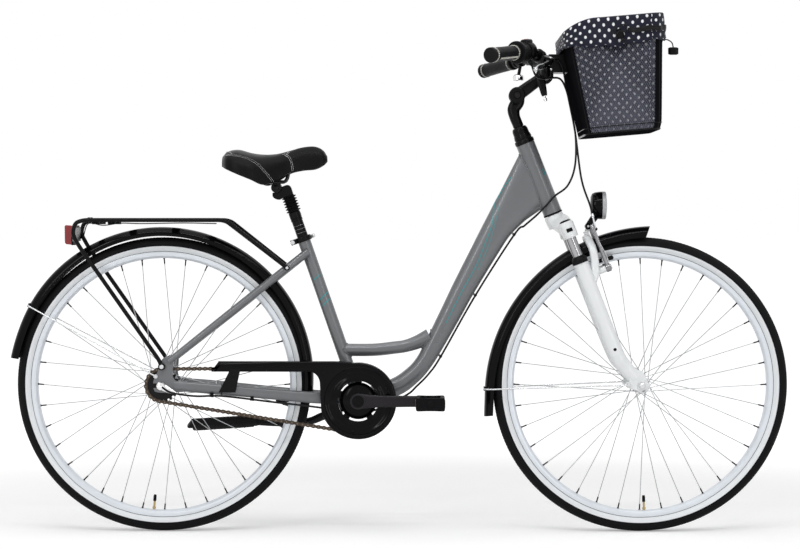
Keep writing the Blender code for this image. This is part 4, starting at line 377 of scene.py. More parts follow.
def oval(centre, wide, deep, sides, square=1.0):
    """Points round an oval given by two half-size vectors; square under 1 fills its corners."""
    found = []
    for step in range(sides):
        angle = 2 * pi * (step + 0.5) / sides
        c, s = cos(angle), sin(angle)
        c = abs(c) ** square * (1 if c > 0 else -1)
        s = abs(s) ** square * (1 if s > 0 else -1)
        found.append(centre + wide * c + deep * s)
    return found


def smooth(points, steps):
    """Rows of numbers on a curve through the given rows, as Catmull-Rom steps between them."""
    rows = np.array([tuple(point) for point in points], float)
    rows = np.vstack([rows[:1] * 2 - rows[1:2], rows, rows[-1:] * 2 - rows[-2:-1]])
    found = []
    for a, b, c, d in zip(rows, rows[1:], rows[2:], rows[3:]):
        for f in np.arange(steps) / steps:
            bend = (a * 2 - b * 5 + c * 4 - d) * f * f + (b * 3 - a - c * 3 + d) * f ** 3
            found.append(b + ((c - a) * f + bend) / 2)
    return found + [rows[-2]]


def curve(points, steps):
    return [Vector(row) for row in smooth(points, steps)]


def sweep(path, sizes, sides=20, side=LEFT, square=1.0, upright=False, steps=1):
    """A tube along path. A size is a radius or (half size along side, half size across it)."""
    path = [Vector(point) for point in path]
    if isinstance(sizes, (int, float, tuple)):
        sizes = [sizes] * len(path)
    sizes = [size if isinstance(size, tuple) else (size, size) for size in sizes]
    if steps > 1:
        rows = smooth([(*point, *size) for point, size in zip(path, sizes)], steps)
        path = [Vector(row[:3]) for row in rows]
        sizes = [tuple(row[3:]) for row in rows]
    count = len(path)
    loops = []
    across = Vector(side)
    for index, point in enumerate(path):
        if index == 0 or index + 1 == count:
            along = unit(path[min(index + 1, count - 1)] - path[max(index - 1, 0)])
        else:
            along = unit(unit(path[index + 1] - point) + unit(point - path[index - 1]))
        across = Vector(side) if upright else across
        across = unit(across - along * across.dot(along))
        wide, deep = sizes[index]
        loops.append(oval(point, across * wide, along.cross(across) * deep, sides, square))
    return stacked(loops)


def hoop(path, normals, radii, sides=8):
    """A closed bead along a loop of points, each with the direction that its section faces."""
    loops = []
    count = len(path)
    for index, point in enumerate(path):
        along = unit(path[(index + 1) % count] - path[index - 1])
        out = unit(normals[index] - along * normals[index].dot(along))
        radius = radii[index % len(radii)]
        loops.append(oval(point, out * radius, along.cross(out) * radius, sides))
    return stacked(loops, closed=True)


def turned(profile, centre, axis=LEFT, steps=48, start=UP):
    """A closed (radius, height) profile turned round axis. Radius 0 makes one pole point."""
    axis = unit(axis)
    first = unit(Vector(start) - axis * Vector(start).dot(axis))
    second = axis.cross(first)
    points, rings = [], []
    for radius, height in profile:
        if radius == 0:
            points.append(Vector(centre) + axis * height)
            rings.append([len(points) - 1] * steps)
            continue
        rings.append(list(range(len(points), len(points) + steps)))
        for step in range(steps):
            angle = 2 * pi * (step + 0.5) / steps
            spoke = first * cos(angle) + second * sin(angle)
            points.append(Vector(centre) + axis * height + spoke * radius)
    faces = []
    for index, ring in enumerate(rings):
        after = (index + 1) % len(rings)
        if profile[index][0] == 0 and profile[after][0] == 0:
            continue
        for step in range(steps):
            following = (step + 1) % steps
            corners = [ring[step], ring[following], rings[after][following], rings[after][step]]
            faces.append(tuple(dict.fromkeys(corners)))
    return points, faces


def plate(outline, low, high, origin=(0, 0, 0), first=FORE, second=UP, normal=LEFT):
    """An outline of (first, second) pairs, extruded along normal from low to high."""
    base = [Vector(origin) + Vector(first) * a + Vector(second) * b for a, b in outline]
    return stacked([[point + Vector(normal) * off for point in base] for off in (low, high)])


def beside(outline, side, near, far, origin, *ways):
    """A plate on one side of the bike, from near to far out."""
    low, high = sorted((side * near, side * far))
    return plate(outline, low, high, origin, *ways)


def washer(outer, inner, low, high, origin):
    """A plate between two outlines of as many points."""
    return stacked([[Vector(origin) + Vector((a, off, b)) for a, b in outline]
                    for outline, off in ((outer, low), (outer, high), (inner, high), (inner, low))],
                    closed=True)


def block(centre, halves, first=FORE, second=LEFT, third=UP):
    a, b, c = halves
    return plate([(-a, -b), (a, -b), (a, b), (-a, b)], -c, c, centre, first, second, third)


def rod(start, end, radius, sides=24, side=LEFT):
    along = unit(Vector(end) - Vector(start))
    if abs(along.dot(Vector(side))) > 0.9:
        side = UP if abs(along.z) < 0.9 else FORE
    return sweep([start, end], radius, sides, side)


def cross_rod(centre, half, radius, sides=24):
    """A rod across the bike, half long each way."""
    return rod(centre - LEFT * half, centre + LEFT * half, radius, sides)


def band(inner, outer, low, high):
    """Profile of a ring with square edges."""
    return [(inner, low), (outer, low), (outer, high), (inner, high)]


def collar(inner, outer, low, high, soft=0.0008):
    """Profile of a ring with softened outer edges."""
    return [(inner, low), (outer - soft, low), (outer, low + soft), (outer, high - soft),
            (outer - soft, high),
            (inner, high)]


def pin(centre, axis, radius, low, high):
    """A round pin along axis with softened ends."""
    return turned(collar(0, radius, low, high), centre, axis, 24, UP if abs(unit(axis).z) < 0.9 else FORE)


def ball(centre, radius, squash=(1, 1, 1), steps=20):
    profile = [(radius * sin(pi * k / 10), -radius * cos(pi * k / 10)) for k in range(1, 10)]
    points, faces = turned([(0, -radius)] + profile + [(0, radius)], (0, 0, 0), UP, steps, FORE)
    return [Vector(centre) + Vector((p.x * squash[0], p.y * squash[1], p.z * squash[2]))
            for p in points], faces


def arc(radius, start, end, steps, centre=(0.0, 0.0)):
    """Points (a, b) on a circle, from start to end in degrees."""
    angles = [radians(start + (end - start) * step / steps) for step in range(steps + 1)]
    return [(centre[0] + radius * cos(angle), centre[1] + radius * sin(angle)) for angle in angles]


def softened(outline, steps):
    """A closed outline as a curve through its points."""
    return [tuple(row) for row in smooth(outline + outline[:1], steps)[:-1]]


def flip(points):
    """The same points on the other side of the bike."""
    return [Vector((p[0], -p[1], p[2])) for p in points]


def mirrored(shape):
    points, faces = shape
    return flip(points), [tuple(reversed(face)) for face in faces]


def joined(shapes):
    """Several shapes as one."""
    points, faces = [], []
    for some_points, some_faces in shapes:
        base = len(points)
        points += some_points
        faces += [tuple(base + index for index in face) for face in some_faces]
    return points, faces


def mesh_of(name, points, faces, looks=(), slots=None):
    """A mesh with its faces turned outwards."""
    mesh = bpy.data.meshes.new(name)
    mesh.from_pydata(points, [], faces)
    for look in looks:
        mesh.materials.append(LOOKS[look])
    if slots:
        mesh.polygons.foreach_set("material_index", slots)
    work = bmesh.new()
    work.from_mesh(mesh)
    bmesh.ops.recalc_face_normals(work, faces=work.faces)
    work.to_mesh(mesh)
    work.free()
    return mesh


def piece(name, body, parts, replaced=None, bevel=0.0, sharp=35, cuts=(), blend=None):
    """One object of closed shapes. parts holds (material, shape, shape, ...) rows."""
    looks = list(dict.fromkeys(look for look, *_ in parts))
    slots = [looks.index(look) for look, *shapes in parts for shape in shapes for _ in shape[1]]
    points, faces = joined([shape for _, *shapes in parts for shape in shapes])
    obj = linked(name, mesh_of(name, points, faces, looks, slots))
    for shape in cuts:
        cut(obj, shape)
    obj.data.shade_smooth()
    obj.data.set_sharp_from_angle(angle=radians(sharp))
    if bevel:
        edge = obj.modifiers.new("Bevel", "BEVEL")
        edge.width = bevel
        edge.segments = 2
        edge.limit_method = "ANGLE"
        edge.angle_limit = radians(40)
    if blend:
        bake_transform(obj)
    else:
        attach(obj, body)
    if replaced:
        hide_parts(replaced)
    return obj


def cut(target, shape):
    """Cuts a shape away, and keeps the result as target's mesh."""
    tool = linked("tool", mesh_of("tool", *shape))
    step = target.modifiers.new("Boolean", "BOOLEAN")
    step.operation = "DIFFERENCE"
    step.solver = "EXACT"
    step.object = tool
    bpy.context.view_layer.update()
    graph = bpy.context.evaluated_depsgraph_get()
    result = bpy.data.meshes.new_from_object(target.evaluated_get(graph))
    target.modifiers.clear()
    target.data = result
    bpy.data.objects.remove(tool, do_unlink=True)


def tree_of(*shapes):
    """The surface of some shapes, to cast rays on."""
    return BVHTree.FromPolygons(*joined(shapes))


def weld(start, end, target, size=0.0021):
    """A beaded weld where lines from one loop of points to another meet the target's surface."""
    path, normals = [], []
    for a, b in zip(start, end):
        hit, normal = target.ray_cast(a, unit(b - a), (b - a).length * 1.5)[:2]
        if hit is not None:
            path.append(hit - unit(b - a) * 0.0004)
            normals.append(normal - unit(b - a))
    length = sum((path[k] - path[k - 1]).length for k in range(len(path)))
    count = max(24, int(length / 0.0011))
    rows = smooth([(*p, *n) for p, n in zip(path + path[:1], normals + normals[:1])], 6)
    spots = [rows[int(k * (len(rows) - 1) / count)] for k in range(count)]
    radii = [size * (0.80 + 0.20 * cos(pi / 2 * (k % 4))) for k in range(count)]
    return hoop([Vector(row[:3]) for row in spots], [Vector(row[3:]) for row in spots], radii)


def evenly(points, pitch):
    """(place, direction) pairs at even steps of about pitch along a line of points."""
    points = [Vector(point) for point in points]
    total = length_of(points)
    count = max(1, round(total / pitch))
    want, gone, found = 0.0, 0.0, []
    for a, b in zip(points, points[1:]):
        run = (b - a).length
        while want <= gone + run + 1e-9 and len(found) <= count and run > 0:
            found.append((a.lerp(b, min((want - gone) / run, 1)), unit(b - a)))
            want += total / count
        gone += run
    return found


def length_of(line):
    return sum((b - a).length for a, b in zip(line, line[1:]))


def stitches(path, tree):
    """Thread stitches along a line on a surface."""
    length, gap, radius = 0.0024, 0.0011, 0.00042
    shapes = []
    for place, way in evenly(path, length + gap)[:-1]:
        normal = tree.find_nearest(place)[1]
        run = way * length / 2
        middle, low = place + run, normal * radius * 0.4
        line = [middle - run - low, middle + normal * radius * 0.9, middle + run - low]
        shapes.append(sweep(line, radius, 6, unit(way.cross(normal)), steps=3))
    return shapes


# Frame

HEAD_MID = on_steer((HEAD_LOW + HEAD_HIGH) / 2)


def frame_line(along, off):
    """A point between the bottom bracket and the head tube's middle, as shares of that line."""
    run = HEAD_MID - BB
    return BB + run * along + Vector((run.z, 0, -run.x)).normalized() * off


def chainstay_points():
    return [
        REAR + Vector((0.030, -0.0650, -0.001)),
        REAR + Vector((0.100, -0.0610, -0.006)),
        Vector((REAR_X + WHEEL_RADIUS - 0.060, -0.0400, WHEEL_RADIUS - 0.024)),
        Vector((REAR_X + WHEEL_RADIUS + 0.012, -0.0362, WHEEL_RADIUS - 0.030)),
        BB + Vector((-0.014, -0.0230, 0.002)),
    ]


def seatstay_points():
    top = on_seat(SEAT_TUBE_LENGTH - 0.038, 0, -0.019)
    low = REAR + Vector((0.017, -0.0650, 0.057))
    return [
        low,
        low.lerp(top, 0.45) + Vector((0, -0.003, 0)),
        low.lerp(top, 0.80) + Vector((0, -0.0095, 0)),
        low.lerp(top, 0.90) + Vector((0, -0.0035, 0)),
        top,
    ]


DOWN_TUBE = (
    # share of the line from the bottom bracket, distance off it, half depth, half width
    (0.867, -0.0064, 0.0450, 0.0180), (0.783, -0.0032, 0.0355, 0.0190), (0.701, 0.0055, 0.0320, 0.0195),
    (0.538, 0.0254, 0.0275, 0.0200), (0.446, 0.0386, 0.0255, 0.0200), (0.315, 0.0566, 0.0225, 0.0205),
    (0.245, 0.0642, 0.0208, 0.0210), (0.186, 0.0627, 0.0210, 0.0215), (0.113, 0.0485, 0.0220, 0.0220),
    (0.0, 0.0, 0.0200, 0.0220),
)


def down_tube_loops():
    """Deep where it meets the head, then curving forward and down into the bottom bracket."""
    rows = smooth(DOWN_TUBE, 5)
    loops = [
        oval(HEAD_MID, LEFT * 0.0150, STEER_UP * -0.0740, 48, 0.88),
        oval(HEAD_MID - STEER_FORE * 0.0250, LEFT * 0.0165, STEER_UP * -0.0700, 48, 0.88),
    ]
    path = [HEAD_MID] + [frame_line(row[0], row[1]) for row in rows]
    for index, (*_, deep, wide) in enumerate(rows):
        after = path[min(index + 2, len(path) - 1)]
        down = unit(after - path[index])
        loops.append(oval(path[index + 1], LEFT * wide, down.cross(LEFT) * deep, 48, 0.88))
    return loops


def rear_mudguard_circle():
    return REAR + Vector((-0.005, 0, 0.0126)), WHEEL_RADIUS + 0.0115


def front_mudguard_circle():
    return FRONT + Vector((0.0366, 0, -0.0297)), WHEEL_RADIUS + 0.0564


def stand_pivot():
    return BB + Vector((-0.052, 0.043, -0.0345))


STAND_FOLDED = unit((-0.350, 0.013, -0.032))
STAND_DOWN = unit((0.050, 0.225, -0.250))
STAND_AXIS = unit((STAND_DOWN - STAND_FOLDED).cross(FORE))
STAND_AXIS = -STAND_AXIS if STAND_AXIS.y < 0 else STAND_AXIS


def cable_stops():
    """Where the shift cable is clipped to the frame, and the way each clip points."""
    run = HEAD_MID - BB
    way = unit((run.z, 0, -run.x))
    return [(frame_line(a, off) - LEFT * 0.004, way)
            for a, off in ((0.793, 0.0325), (0.542, 0.0525), (0.299, 0.0808))]


def tube_weld(start, end, radius, target, size=0.0021, grow=0.0):
    """The weld where a round tube from start to end meets the target."""
    axis = unit(end - start)
    first = unit(LEFT - axis * axis.dot(LEFT))
    loops = [oval(spot, first * size_here, axis.cross(first) * size_here, 48)
             for spot, size_here in ((start, radius), (end, radius + grow))]
    return weld(*loops, target, size)


def ribbon(spots, width, target):
    """Thin paint on the frame's right side, along places of the photograph, and on its left side."""
    shapes = []
    line = [spot * Vector((1, 0, 1)) for spot in curve([from_pixel(x, z, -0.02) for x, z in spots], 8)]
    for side in (-1, 1):
        rows = []
        for index, spot in enumerate(line):
            along = unit(line[min(index + 1, len(line) - 1)] - line[max(index - 1, 0)])
            aside = along.cross(LEFT) * width / 2
            edge = []
            for off in (-1, -0.5, 0, 0.5, 1):
                start = spot + aside * off + LEFT * side * 0.2
                hit, normal = target.ray_cast(start, LEFT * -side, 0.25)[:2]
                if hit is None:
                    break
                edge.append((hit, normal))
            if len(edge) == 5:
                over = [hit + normal * 0.00012 for hit, normal in edge]
                rows.append(over + [hit - normal * 0.0002 for hit, normal in reversed(edge)])
        if len(rows) > 2:
            shapes.append(stacked(rows))
    return shapes


def build_frame():
    head = [
        (0.0170, HEAD_LOW), (HEAD_RADIUS - 0.0006, HEAD_LOW), (HEAD_RADIUS, HEAD_LOW + 0.0008),
        (HEAD_RADIUS, HEAD_HIGH - 0.0008), (HEAD_RADIUS - 0.0006, HEAD_HIGH), (0.0205, HEAD_HIGH),
        (0.0205, HEAD_HIGH - 0.008), (0.0170, HEAD_HIGH - 0.008),
    ]
    head_tube = turned(head, on_steer(0), STEER_UP, 64, LEFT)
    loops = down_tube_loops()
    down_tube = stacked(loops)
    seat = [
        (0.002, 0.0), (SEAT_TUBE_RADIUS, 0.0), (SEAT_TUBE_RADIUS, SEAT_TUBE_LENGTH),
        (POST_RADIUS + GAP, SEAT_TUBE_LENGTH), (POST_RADIUS + GAP, 0.160), (0.002, 0.160),
    ]
    seat_tube = turned(seat, on_seat(0), SEAT_UP, 48, LEFT)
    cross_path = [
        on_seat(0.1245), frame_line(0.166, -0.0483), frame_line(0.217, -0.0140), frame_line(0.250, 0.0065),
        frame_line(0.288, 0.0226), frame_line(0.330, 0.0350),
    ]
    cross_sizes = [0.0150] * 4 + [0.0165, 0.0180]
    cross = sweep(cross_path, cross_sizes, 40, steps=6)
    shell = turned(collar(BB_RADIUS - 0.0035, BB_RADIUS + 0.0015, -BB_HALF_WIDTH, BB_HALF_WIDTH), BB, LEFT,
                   64)
    parts, beads = [head_tube, down_tube, seat_tube, cross, shell], []
    outline = [(-0.016, -0.014), (-0.004, -0.0165), (0.012, -0.0165), (0.060, -0.0125), (0.060, 0.0095)]
    outline += [(0.036, 0.0110), (0.0285, 0.0175), (0.0265, 0.030), (0.0275, 0.062), (0.006, 0.066)]
    outline += [(-0.0045, 0.050), (-0.0085, 0.034), (-0.0160, 0.020), (-0.0195, 0.008), (-0.0195, -0.004)]
    stay_sizes = [(0.0040, 0.0110), (0.0080, 0.0125), (0.0078, 0.0130), (0.0070, 0.0138), (0.0090, 0.0130)]
    chainstay = sweep(chainstay_points(), stay_sizes, 32, square=0.85, steps=8)
    seatstay = sweep(seatstay_points(), [0.0075, 0.0092, 0.0095, 0.0095, 0.0095], 32, steps=8)
    dropout = plate(softened(outline, 4), -DROPOUT_INNER - DROPOUT_THICK, -DROPOUT_INNER, REAR)
    parts += [chainstay, mirrored(chainstay), seatstay, mirrored(seatstay)]
    plates = [dropout, mirrored(dropout)]
    centre, radius = rear_mudguard_circle()
    high = centre + unit(Vector((0.277, 0, 0.2506))) * (radius + GAP + 0.0055)
    low = Vector((REAR_X + WHEEL_RADIUS + 0.0262, 0, WHEEL_RADIUS - 0.0290))
    parts += [cross_rod(high, 0.040, 0.0055), cross_rod(low, 0.0355, 0.0060)]
    parts += [rod(stand_pivot() - STAND_AXIS * 0.0280, stand_pivot() - STAND_AXIS * 0.0063, 0.0115, 32)]
    plates += [block(stand_pivot() + Vector((0.0, -0.0213, 0.0110)), (0.0115, 0.0080, 0.0220))]
    clips = []
    for spot, toward in cable_stops():
        clips.append(rod(spot - toward * 0.0040, spot + toward * 0.0024, 0.0026, 16))
        along = unit(LEFT.cross(toward))
        seat = spot + toward * (CLIP_HEIGHT + GAP * 2 + CABLE_RADIUS)
        clips.append(turned(band(CABLE_RADIUS + 0.0001, CABLE_RADIUS + 0.0008, -0.003, 0.003), seat, along,
                            20, LEFT))
    body = tree_of(head_tube, down_tube, seat_tube, shell)
    head_tree, shell_tree, seat_tree, down_tree = (tree_of(s)
                                                   for s in (head_tube, shell, seat_tube, down_tube))
    # Welds: seat tube and stays at the shell, the down tube at both ends, and the cross tube.
    joint = cross_path[3]
    beads += [
        tube_weld(on_seat(0.06), on_seat(0), SEAT_TUBE_RADIUS, shell_tree),
        weld(loops[1], loops[0], head_tree, 0.0024),
        weld(loops[-8], loops[-1], shell_tree),
        tube_weld(cross_path[1], cross_path[0], 0.0150, seat_tree),
        tube_weld(joint, joint + unit(cross_path[4] - joint) * 0.06, 0.0152, down_tree, grow=0.0020),
    ]
    for turn in (list, flip):
        for points, radius, target in ((seatstay_points(), 0.0095, seat_tree),
                                       (chainstay_points(), 0.0120, shell_tree)):
            beads.append(tube_weld(*turn(points[-2:]), radius, target, 0.0016))
    teal = []
    curve_mark = [(511, 177), (496, 200), (492, 224), (486.5, 240), (477, 264), (466, 284), (456, 303),
                  (446, 323)]
    for px, wide in ((curve_mark, 0.0022), ([(499, 206), (494, 228), (488, 247), (478, 270)], 0.0012)):
        teal += ribbon(px, wide, body)
    for px in ([(313.8, 280.0), (317, 277.2), (320, 274.5)], [(319.7, 300), (324.5, 295.2), (328.8, 290.9)],
               [(322.5, 306), (326, 302.0), (331.5, 297)], [(542.5, 169), (544, 172.25), (545.5, 175.5)]):
        teal += ribbon(px, 0.0028, body)
    slot = [(-0.03, -AXLE_RADIUS - GAP), (0.0, -AXLE_RADIUS - GAP)]
    slot += arc(AXLE_RADIUS + GAP, -60, 60, 8) + [(0.0, AXLE_RADIUS + GAP), (-0.03, AXLE_RADIUS + GAP)]
    piece("frame_tubes", "frame", [("grey paint", *parts, *beads)], "main_frame")
    slots = [plate(slot, -0.08, -0.05, REAR), plate(slot, 0.05, 0.08, REAR)]
    piece("frame_plates", "frame", [("grey paint", *plates)], "main_frame", 0.0009, cuts=slots)
    piece("frame_clips", "frame", [("grey paint", *clips[::2]), ("matt black", *clips[1::2])],
          "main_frame")
    piece("frame_marks", "frame", [("teal", *teal)], "main_frame")


def build_headset():
    low = HEAD_HIGH
    bore = (STEERER_RADIUS + RUN) / cos(pi / ROUND)
    neck = (QUILL_RADIUS + RUN) / cos(pi / ROUND)
    profile = [
        (bore, -0.0075), (0.0202, -0.0075), (0.0202, GAP), (0.0230, GAP), (0.0235, 0.0010), (0.0235, 0.0085),
        (0.0225, 0.0100), (0.0205, 0.0108), (0.0205, 0.0125), (0.0212, 0.0135), (0.0210, 0.0165),
        (0.0198, 0.0225), (0.0192, 0.0235), (0.0192, 0.0270), (0.0189, 0.0345), (0.0172, 0.0395),
        (0.0150, 0.0417), (neck + 0.0008, 0.0420), (neck, 0.0412), (neck, 0.0300), (bore, 0.0300),
    ]
    cone = turned(profile, on_steer(low), STEER_UP, 64, LEFT)
    piece("headset_cone", "frame", [("satin black", cone)], "headset_upper")
    ring = [(0.0172, -0.0014), (0.0222, -0.0014), (0.0231, -0.0006), (0.0231, 0.0024), (0.0224, 0.0030),
            (0.0172, 0.0030)]
    lower = turned(ring, on_steer(HEAD_LOW), STEER_UP, 64, LEFT)
    piece("headset_ring", "frame", [("matt black", lower)], "main_frame")


# Wheels

def build_wheel(prefix, centre, flange, barrel, body, valve_angle):
    # Tyre: a round section with slanted tread blocks, and a pale band on each side wall.
    half = TYRE_WIDTH / 2
    base = WHEEL_RADIUS - TYRE_HEIGHT
    outer = [
        (base - 0.0030, 0.0102), (base + 0.0004, 0.0124), (base + 0.0030, 0.0150), (base + 0.0060, 0.0176),
        (base + 0.0090, 0.0195), (base + 0.0125, half - 0.0002), (base + 0.0130, half - 0.0002),
        (base + 0.0160, half), (base + 0.0190, 0.0198), (base + 0.0215, 0.0189), (base + 0.0240, 0.0175),
        (base + 0.0262, 0.0158), (base + 0.0282, 0.0137), (base + 0.0300, 0.0112), (base + 0.0316, 0.0084),
        (base + 0.0328, 0.0054), (base + 0.0336, 0.0026), (base + 0.0339, 0.0),
    ]
    profile = [(r, -y) for r, y in outer] + [(r, y) for r, y in outer[-2::-1]]
    white_from, white_to, tread_from, blocks = 1, 6, 8, 270
    count = len(profile)
    steps = blocks * 4
    loops = []
    for step in range(steps):
        turn = 2 * pi * step / steps
        loop = []
        for index, (r, y) in enumerate(profile):
            near = min(index, count - 1 - index)
            if near >= tread_from:
                # Slanted grooves on the shoulders, and a zigzag rib round the middle.
                lean = (near - tread_from) * 0.55
                wave = sin(2 * pi * (step / 4 + lean) + (pi if index * 2 > count else 0))
                r -= (0.0009 if near < 15 else 0.0004) * (wave < 0.1)
            loop.append(centre + Vector((cos(turn) * r, y, sin(turn) * r)))
        loops.append(loop)
    points, faces = stacked(loops, closed=True)
    white, black = [], []
    for number, face in enumerate(faces):
        index = number % count
        near = min(index, count - 2 - index) if index < count - 1 else -1
        (white if white_from <= near < white_to else black).append(face)
    piece(prefix + "_tyre_body", body, [("tyre black", (points, black)),
                                                      ("tyre white", (list(points), white))],
          prefix + "_tyre", sharp=50)
    rings = []
    for r, y in ((base + 0.0004, 0.0127), (base + 0.0132, half + 0.0001)):
        for side in (-1, 1):
            rings.append(turned(arc(0.0004, 0, 270, 3, (r, side * y)), centre, LEFT, 160))
    piece(prefix + "_tyre_lines", body, [("rubber", *rings)], prefix + "_tyre")
    # Rim: a box section with brake tracks, lined by fine grooves.
    lip, wall = RIM_WIDTH / 2, RIM_TOP
    side = [
        (RIM_INNER, 0.0), (RIM_INNER + 0.0002, 0.0045), (RIM_INNER + 0.0012, 0.0078),
        (RIM_INNER + 0.0032, 0.0102),
        (RIM_INNER + 0.0050, 0.0118), (RIM_INNER + 0.0052, 0.0116), (RIM_INNER + 0.0058, 0.0123),
        (RIM_INNER + 0.0085, 0.0129), (RIM_INNER + 0.0087, 0.0127), (RIM_INNER + 0.0091, 0.0130),
        (wall - 0.0016, lip - 0.0003), (wall - 0.0014, lip - 0.0005), (wall - 0.0010, lip - 0.0001),
        (wall, lip - 0.0004), (wall, lip - 0.0016), (wall - 0.0030, lip - 0.0030), (wall - BEAD_DEPTH, 0.0),
    ]
    rim = turned(side + [(r, -y) for r, y in side[-2:0:-1]], centre, LEFT, 180)
    nipples, wires, elbows = [], [], []
    nipple = [(0, -0.0135), (0.0012, -0.0135), (0.0017, -0.0125), (0.0017, -0.002), (0.0026, -0.0005),
              (0.0026, 0.002), (0, 0.002)]
    lean = radians(720 * 3 / SPOKES)
    for index in range(SPOKES):
        rim_angle = 2 * pi * index / SPOKES
        way = 1 if index % 2 else -1
        turn = 1 if index // 2 % 2 else -1
        hub_angle = rim_angle + turn * lean
        radius = flange - 0.0035
        shift = way * turn * SPOKE_OFFSET
        hole = centre + Vector((cos(hub_angle) * radius, way * FLANGE_Y, sin(hub_angle) * radius))
        head = hole - LEFT * shift * 2.6
        start = hole + LEFT * (shift * 2.4)
        end = centre + Vector((cos(rim_angle) * RIM_INNER, way * 0.003 + shift, sin(rim_angle) * RIM_INNER))
        run = unit(end - start)
        line = [head, hole + LEFT * shift * 0.6, start + run * 0.0035, end - run * 0.004]
        wires.append(sweep(line, 0.00105, 8, steps=3))
        elbows.append(ball(head, 0.0019, (1, 0.6, 1), 10))
        nipples.append(turned(nipple, end, run, 10, LEFT))
    piece(prefix + "_rim_body", body, [("rim alloy", rim), ("black steel", *nipples)],
          prefix + "_rim", sharp=30)
    # Valve and its cap.
    out = Vector((cos(radians(valve_angle)), 0, sin(radians(valve_angle))))
    foot = centre + out * RIM_INNER
    valve = [(0, 0.002), (0.0030, 0.002), (0.0030, -0.0015), (0.0042, -0.0020), (0.0042, -0.0055),
             (0.0026, -0.0060), (0.0026, -0.0200), (0, -0.0200)]
    cap = [(0, -0.0185), (0.0034, -0.0190), (0.0038, -0.0200), (0.0038, -0.0310), (0.0030, -0.0345),
           (0, -0.0350)]
    piece(prefix + "_valve", body,
          [("brass", turned(valve, foot, out, 20, LEFT)), ("matt black", turned(cap, foot, out, 16, LEFT))],
          prefix + "_tyre")
    # Hub, with a hole under each spoke's head hinted by the elbow, and its end cones.
    bore = AXLE_RADIUS + RUN
    reach, end = FLANGE_Y - FLANGE_HALF, FLANGE_Y + FLANGE_HALF
    ends = (0.0385, -0.0300) if prefix == "rear" else (0.0415, -0.0415)
    profile = [(bore, ends[1]), (barrel - 0.005, ends[1]), (barrel - 0.004, ends[1] + 0.0006)]
    profile += [(barrel, -end - 0.0004) if abs(ends[1]) > end + 0.001 else (barrel - 0.001, -end + 0.0002)]
    for s in (-1, 1):
        section = [(flange - 0.0006, s * end), (flange, s * (end - 0.0008)), (flange, s * (reach + 0.0008)),
                   (flange - 0.0008, s * reach),
                   (barrel + 0.0020, s * reach), (barrel, s * (reach - 0.0025))]
        profile += section if s < 0 else section[::-1]
    profile += [(barrel, end + 0.0004), (barrel - 0.004, ends[0] - 0.0006), (barrel - 0.005, ends[0]),
                (bore, ends[0])]
    shape = turned(profile, centre, LEFT, 72)
    piece(prefix + "_hub_shell", body, [("silver", shape, *elbows)], prefix + "_hub", sharp=32)
    piece(prefix + "_spokes", body, [("wire", *wires)], prefix + "_hub")


def build_rear_axle():
    face = DROPOUT_INNER + DROPOUT_THICK + GAP
    inside = DROPOUT_INNER - GAP
    r = AXLE_RADIUS
    shaft = [(0, -0.0865), (r - 0.0006, -0.0860), (r, -0.0850), (r, 0.0830), (r - 0.0006, 0.0838),
             (0, 0.0840)]
    parts = [turned(shaft, REAR, LEFT, 32)]
    for low, high in ((-inside, -0.0555), (0.0390, 0.0510), (0.0541, inside)):
        parts.append(turned(band(r, 0.0085, low, high), REAR, LEFT, 6))
    parts.append(turned(band(r, 0.0112, face, face + 0.0015), REAR, LEFT, 32))
    parts.append(turned([(r, face + 0.0015), (0.0100, face + 0.0015), (0.0100, face + 0.0085),
                         (0.0070, face + 0.0125), (0, face + 0.0125)], REAR, LEFT, 6))
    piece("rear_axle_parts", "frame", [("silver", *parts)], "rear_axle", 0.0004)
    # Gear cap on the drive side: a bright shell drawn forward and down, where the cable enters.
    cap = [(0, -0.0878), (0.0040, -0.0876), (0.0082, -0.0862), (0.0105, -0.0830), (0.0112, -0.0780),
           (0.0112, -face), (0, -face)]
    path = [REAR + Vector(spot) for spot in ((0, -0.0765, 0), (0.010, -0.0775, -0.005),
                                             (0.024, -0.0790, -0.012),
                                             (0.034, -0.0800, -0.016))]
    nose = sweep(path, [(0.0088, 0.0100), (0.0082, 0.0092), (0.0058, 0.0062), (0.0032, 0.0032)], 32, steps=6)
    piece("gear_cap", "frame", [("chrome", turned(cap, REAR, LEFT, 48), nose)], "rear_axle")
    outline = arc(0.016, 60, 300, 28)
    outline += [(0.040, -0.0190), (0.075, -0.0235), (0.121, -0.0268), (0.1262, -0.0250), (0.1268, -0.0215),
                (0.123, -0.0198), (0.075, -0.0120), (0.035, -0.0060)]
    arm = plate(softened(outline, 3), 0.0513, 0.0538, REAR)
    band_at = REAR + Vector((0.120, 0.0545, -0.012))
    piece("coaster_arm_plate", "frame", [("silver", arm)], "coaster_arm", 0.0004,
          cuts=[rod(REAR + LEFT * 0.04, REAR + LEFT * 0.07, AXLE_RADIUS + GAP, 24)])
    loop = oval(band_at, LEFT * 0.0098, UP * 0.0158, 32, 0.9)
    strap = hoop(loop, [p - band_at for p in loop], [0.0008])
    screw = pin(band_at + Vector((0, 0, -0.0165)), LEFT, 0.003, -0.006, 0.006)
    piece("coaster_clip", "frame", [("silver", strap, screw)], "coaster_arm")


# Chain and gears

def gear_outline(count, radius):
    """A toothed outline with a round seat for each roller."""
    rise, dip = 0.0024, 0.0040
    found = []
    for index in range(count):
        for share, reach in ((-0.18, radius + rise * 0.4), (-0.07, radius + rise), (0.07, radius + rise),
                             (0.18, radius + rise * 0.4),
                             (0.32, radius - dip * 0.7), (0.5, radius - dip), (0.68, radius - dip * 0.7)):
            angle = 2 * pi * (index + share) / count
            found.append((reach * cos(angle), reach * sin(angle)))
    return found


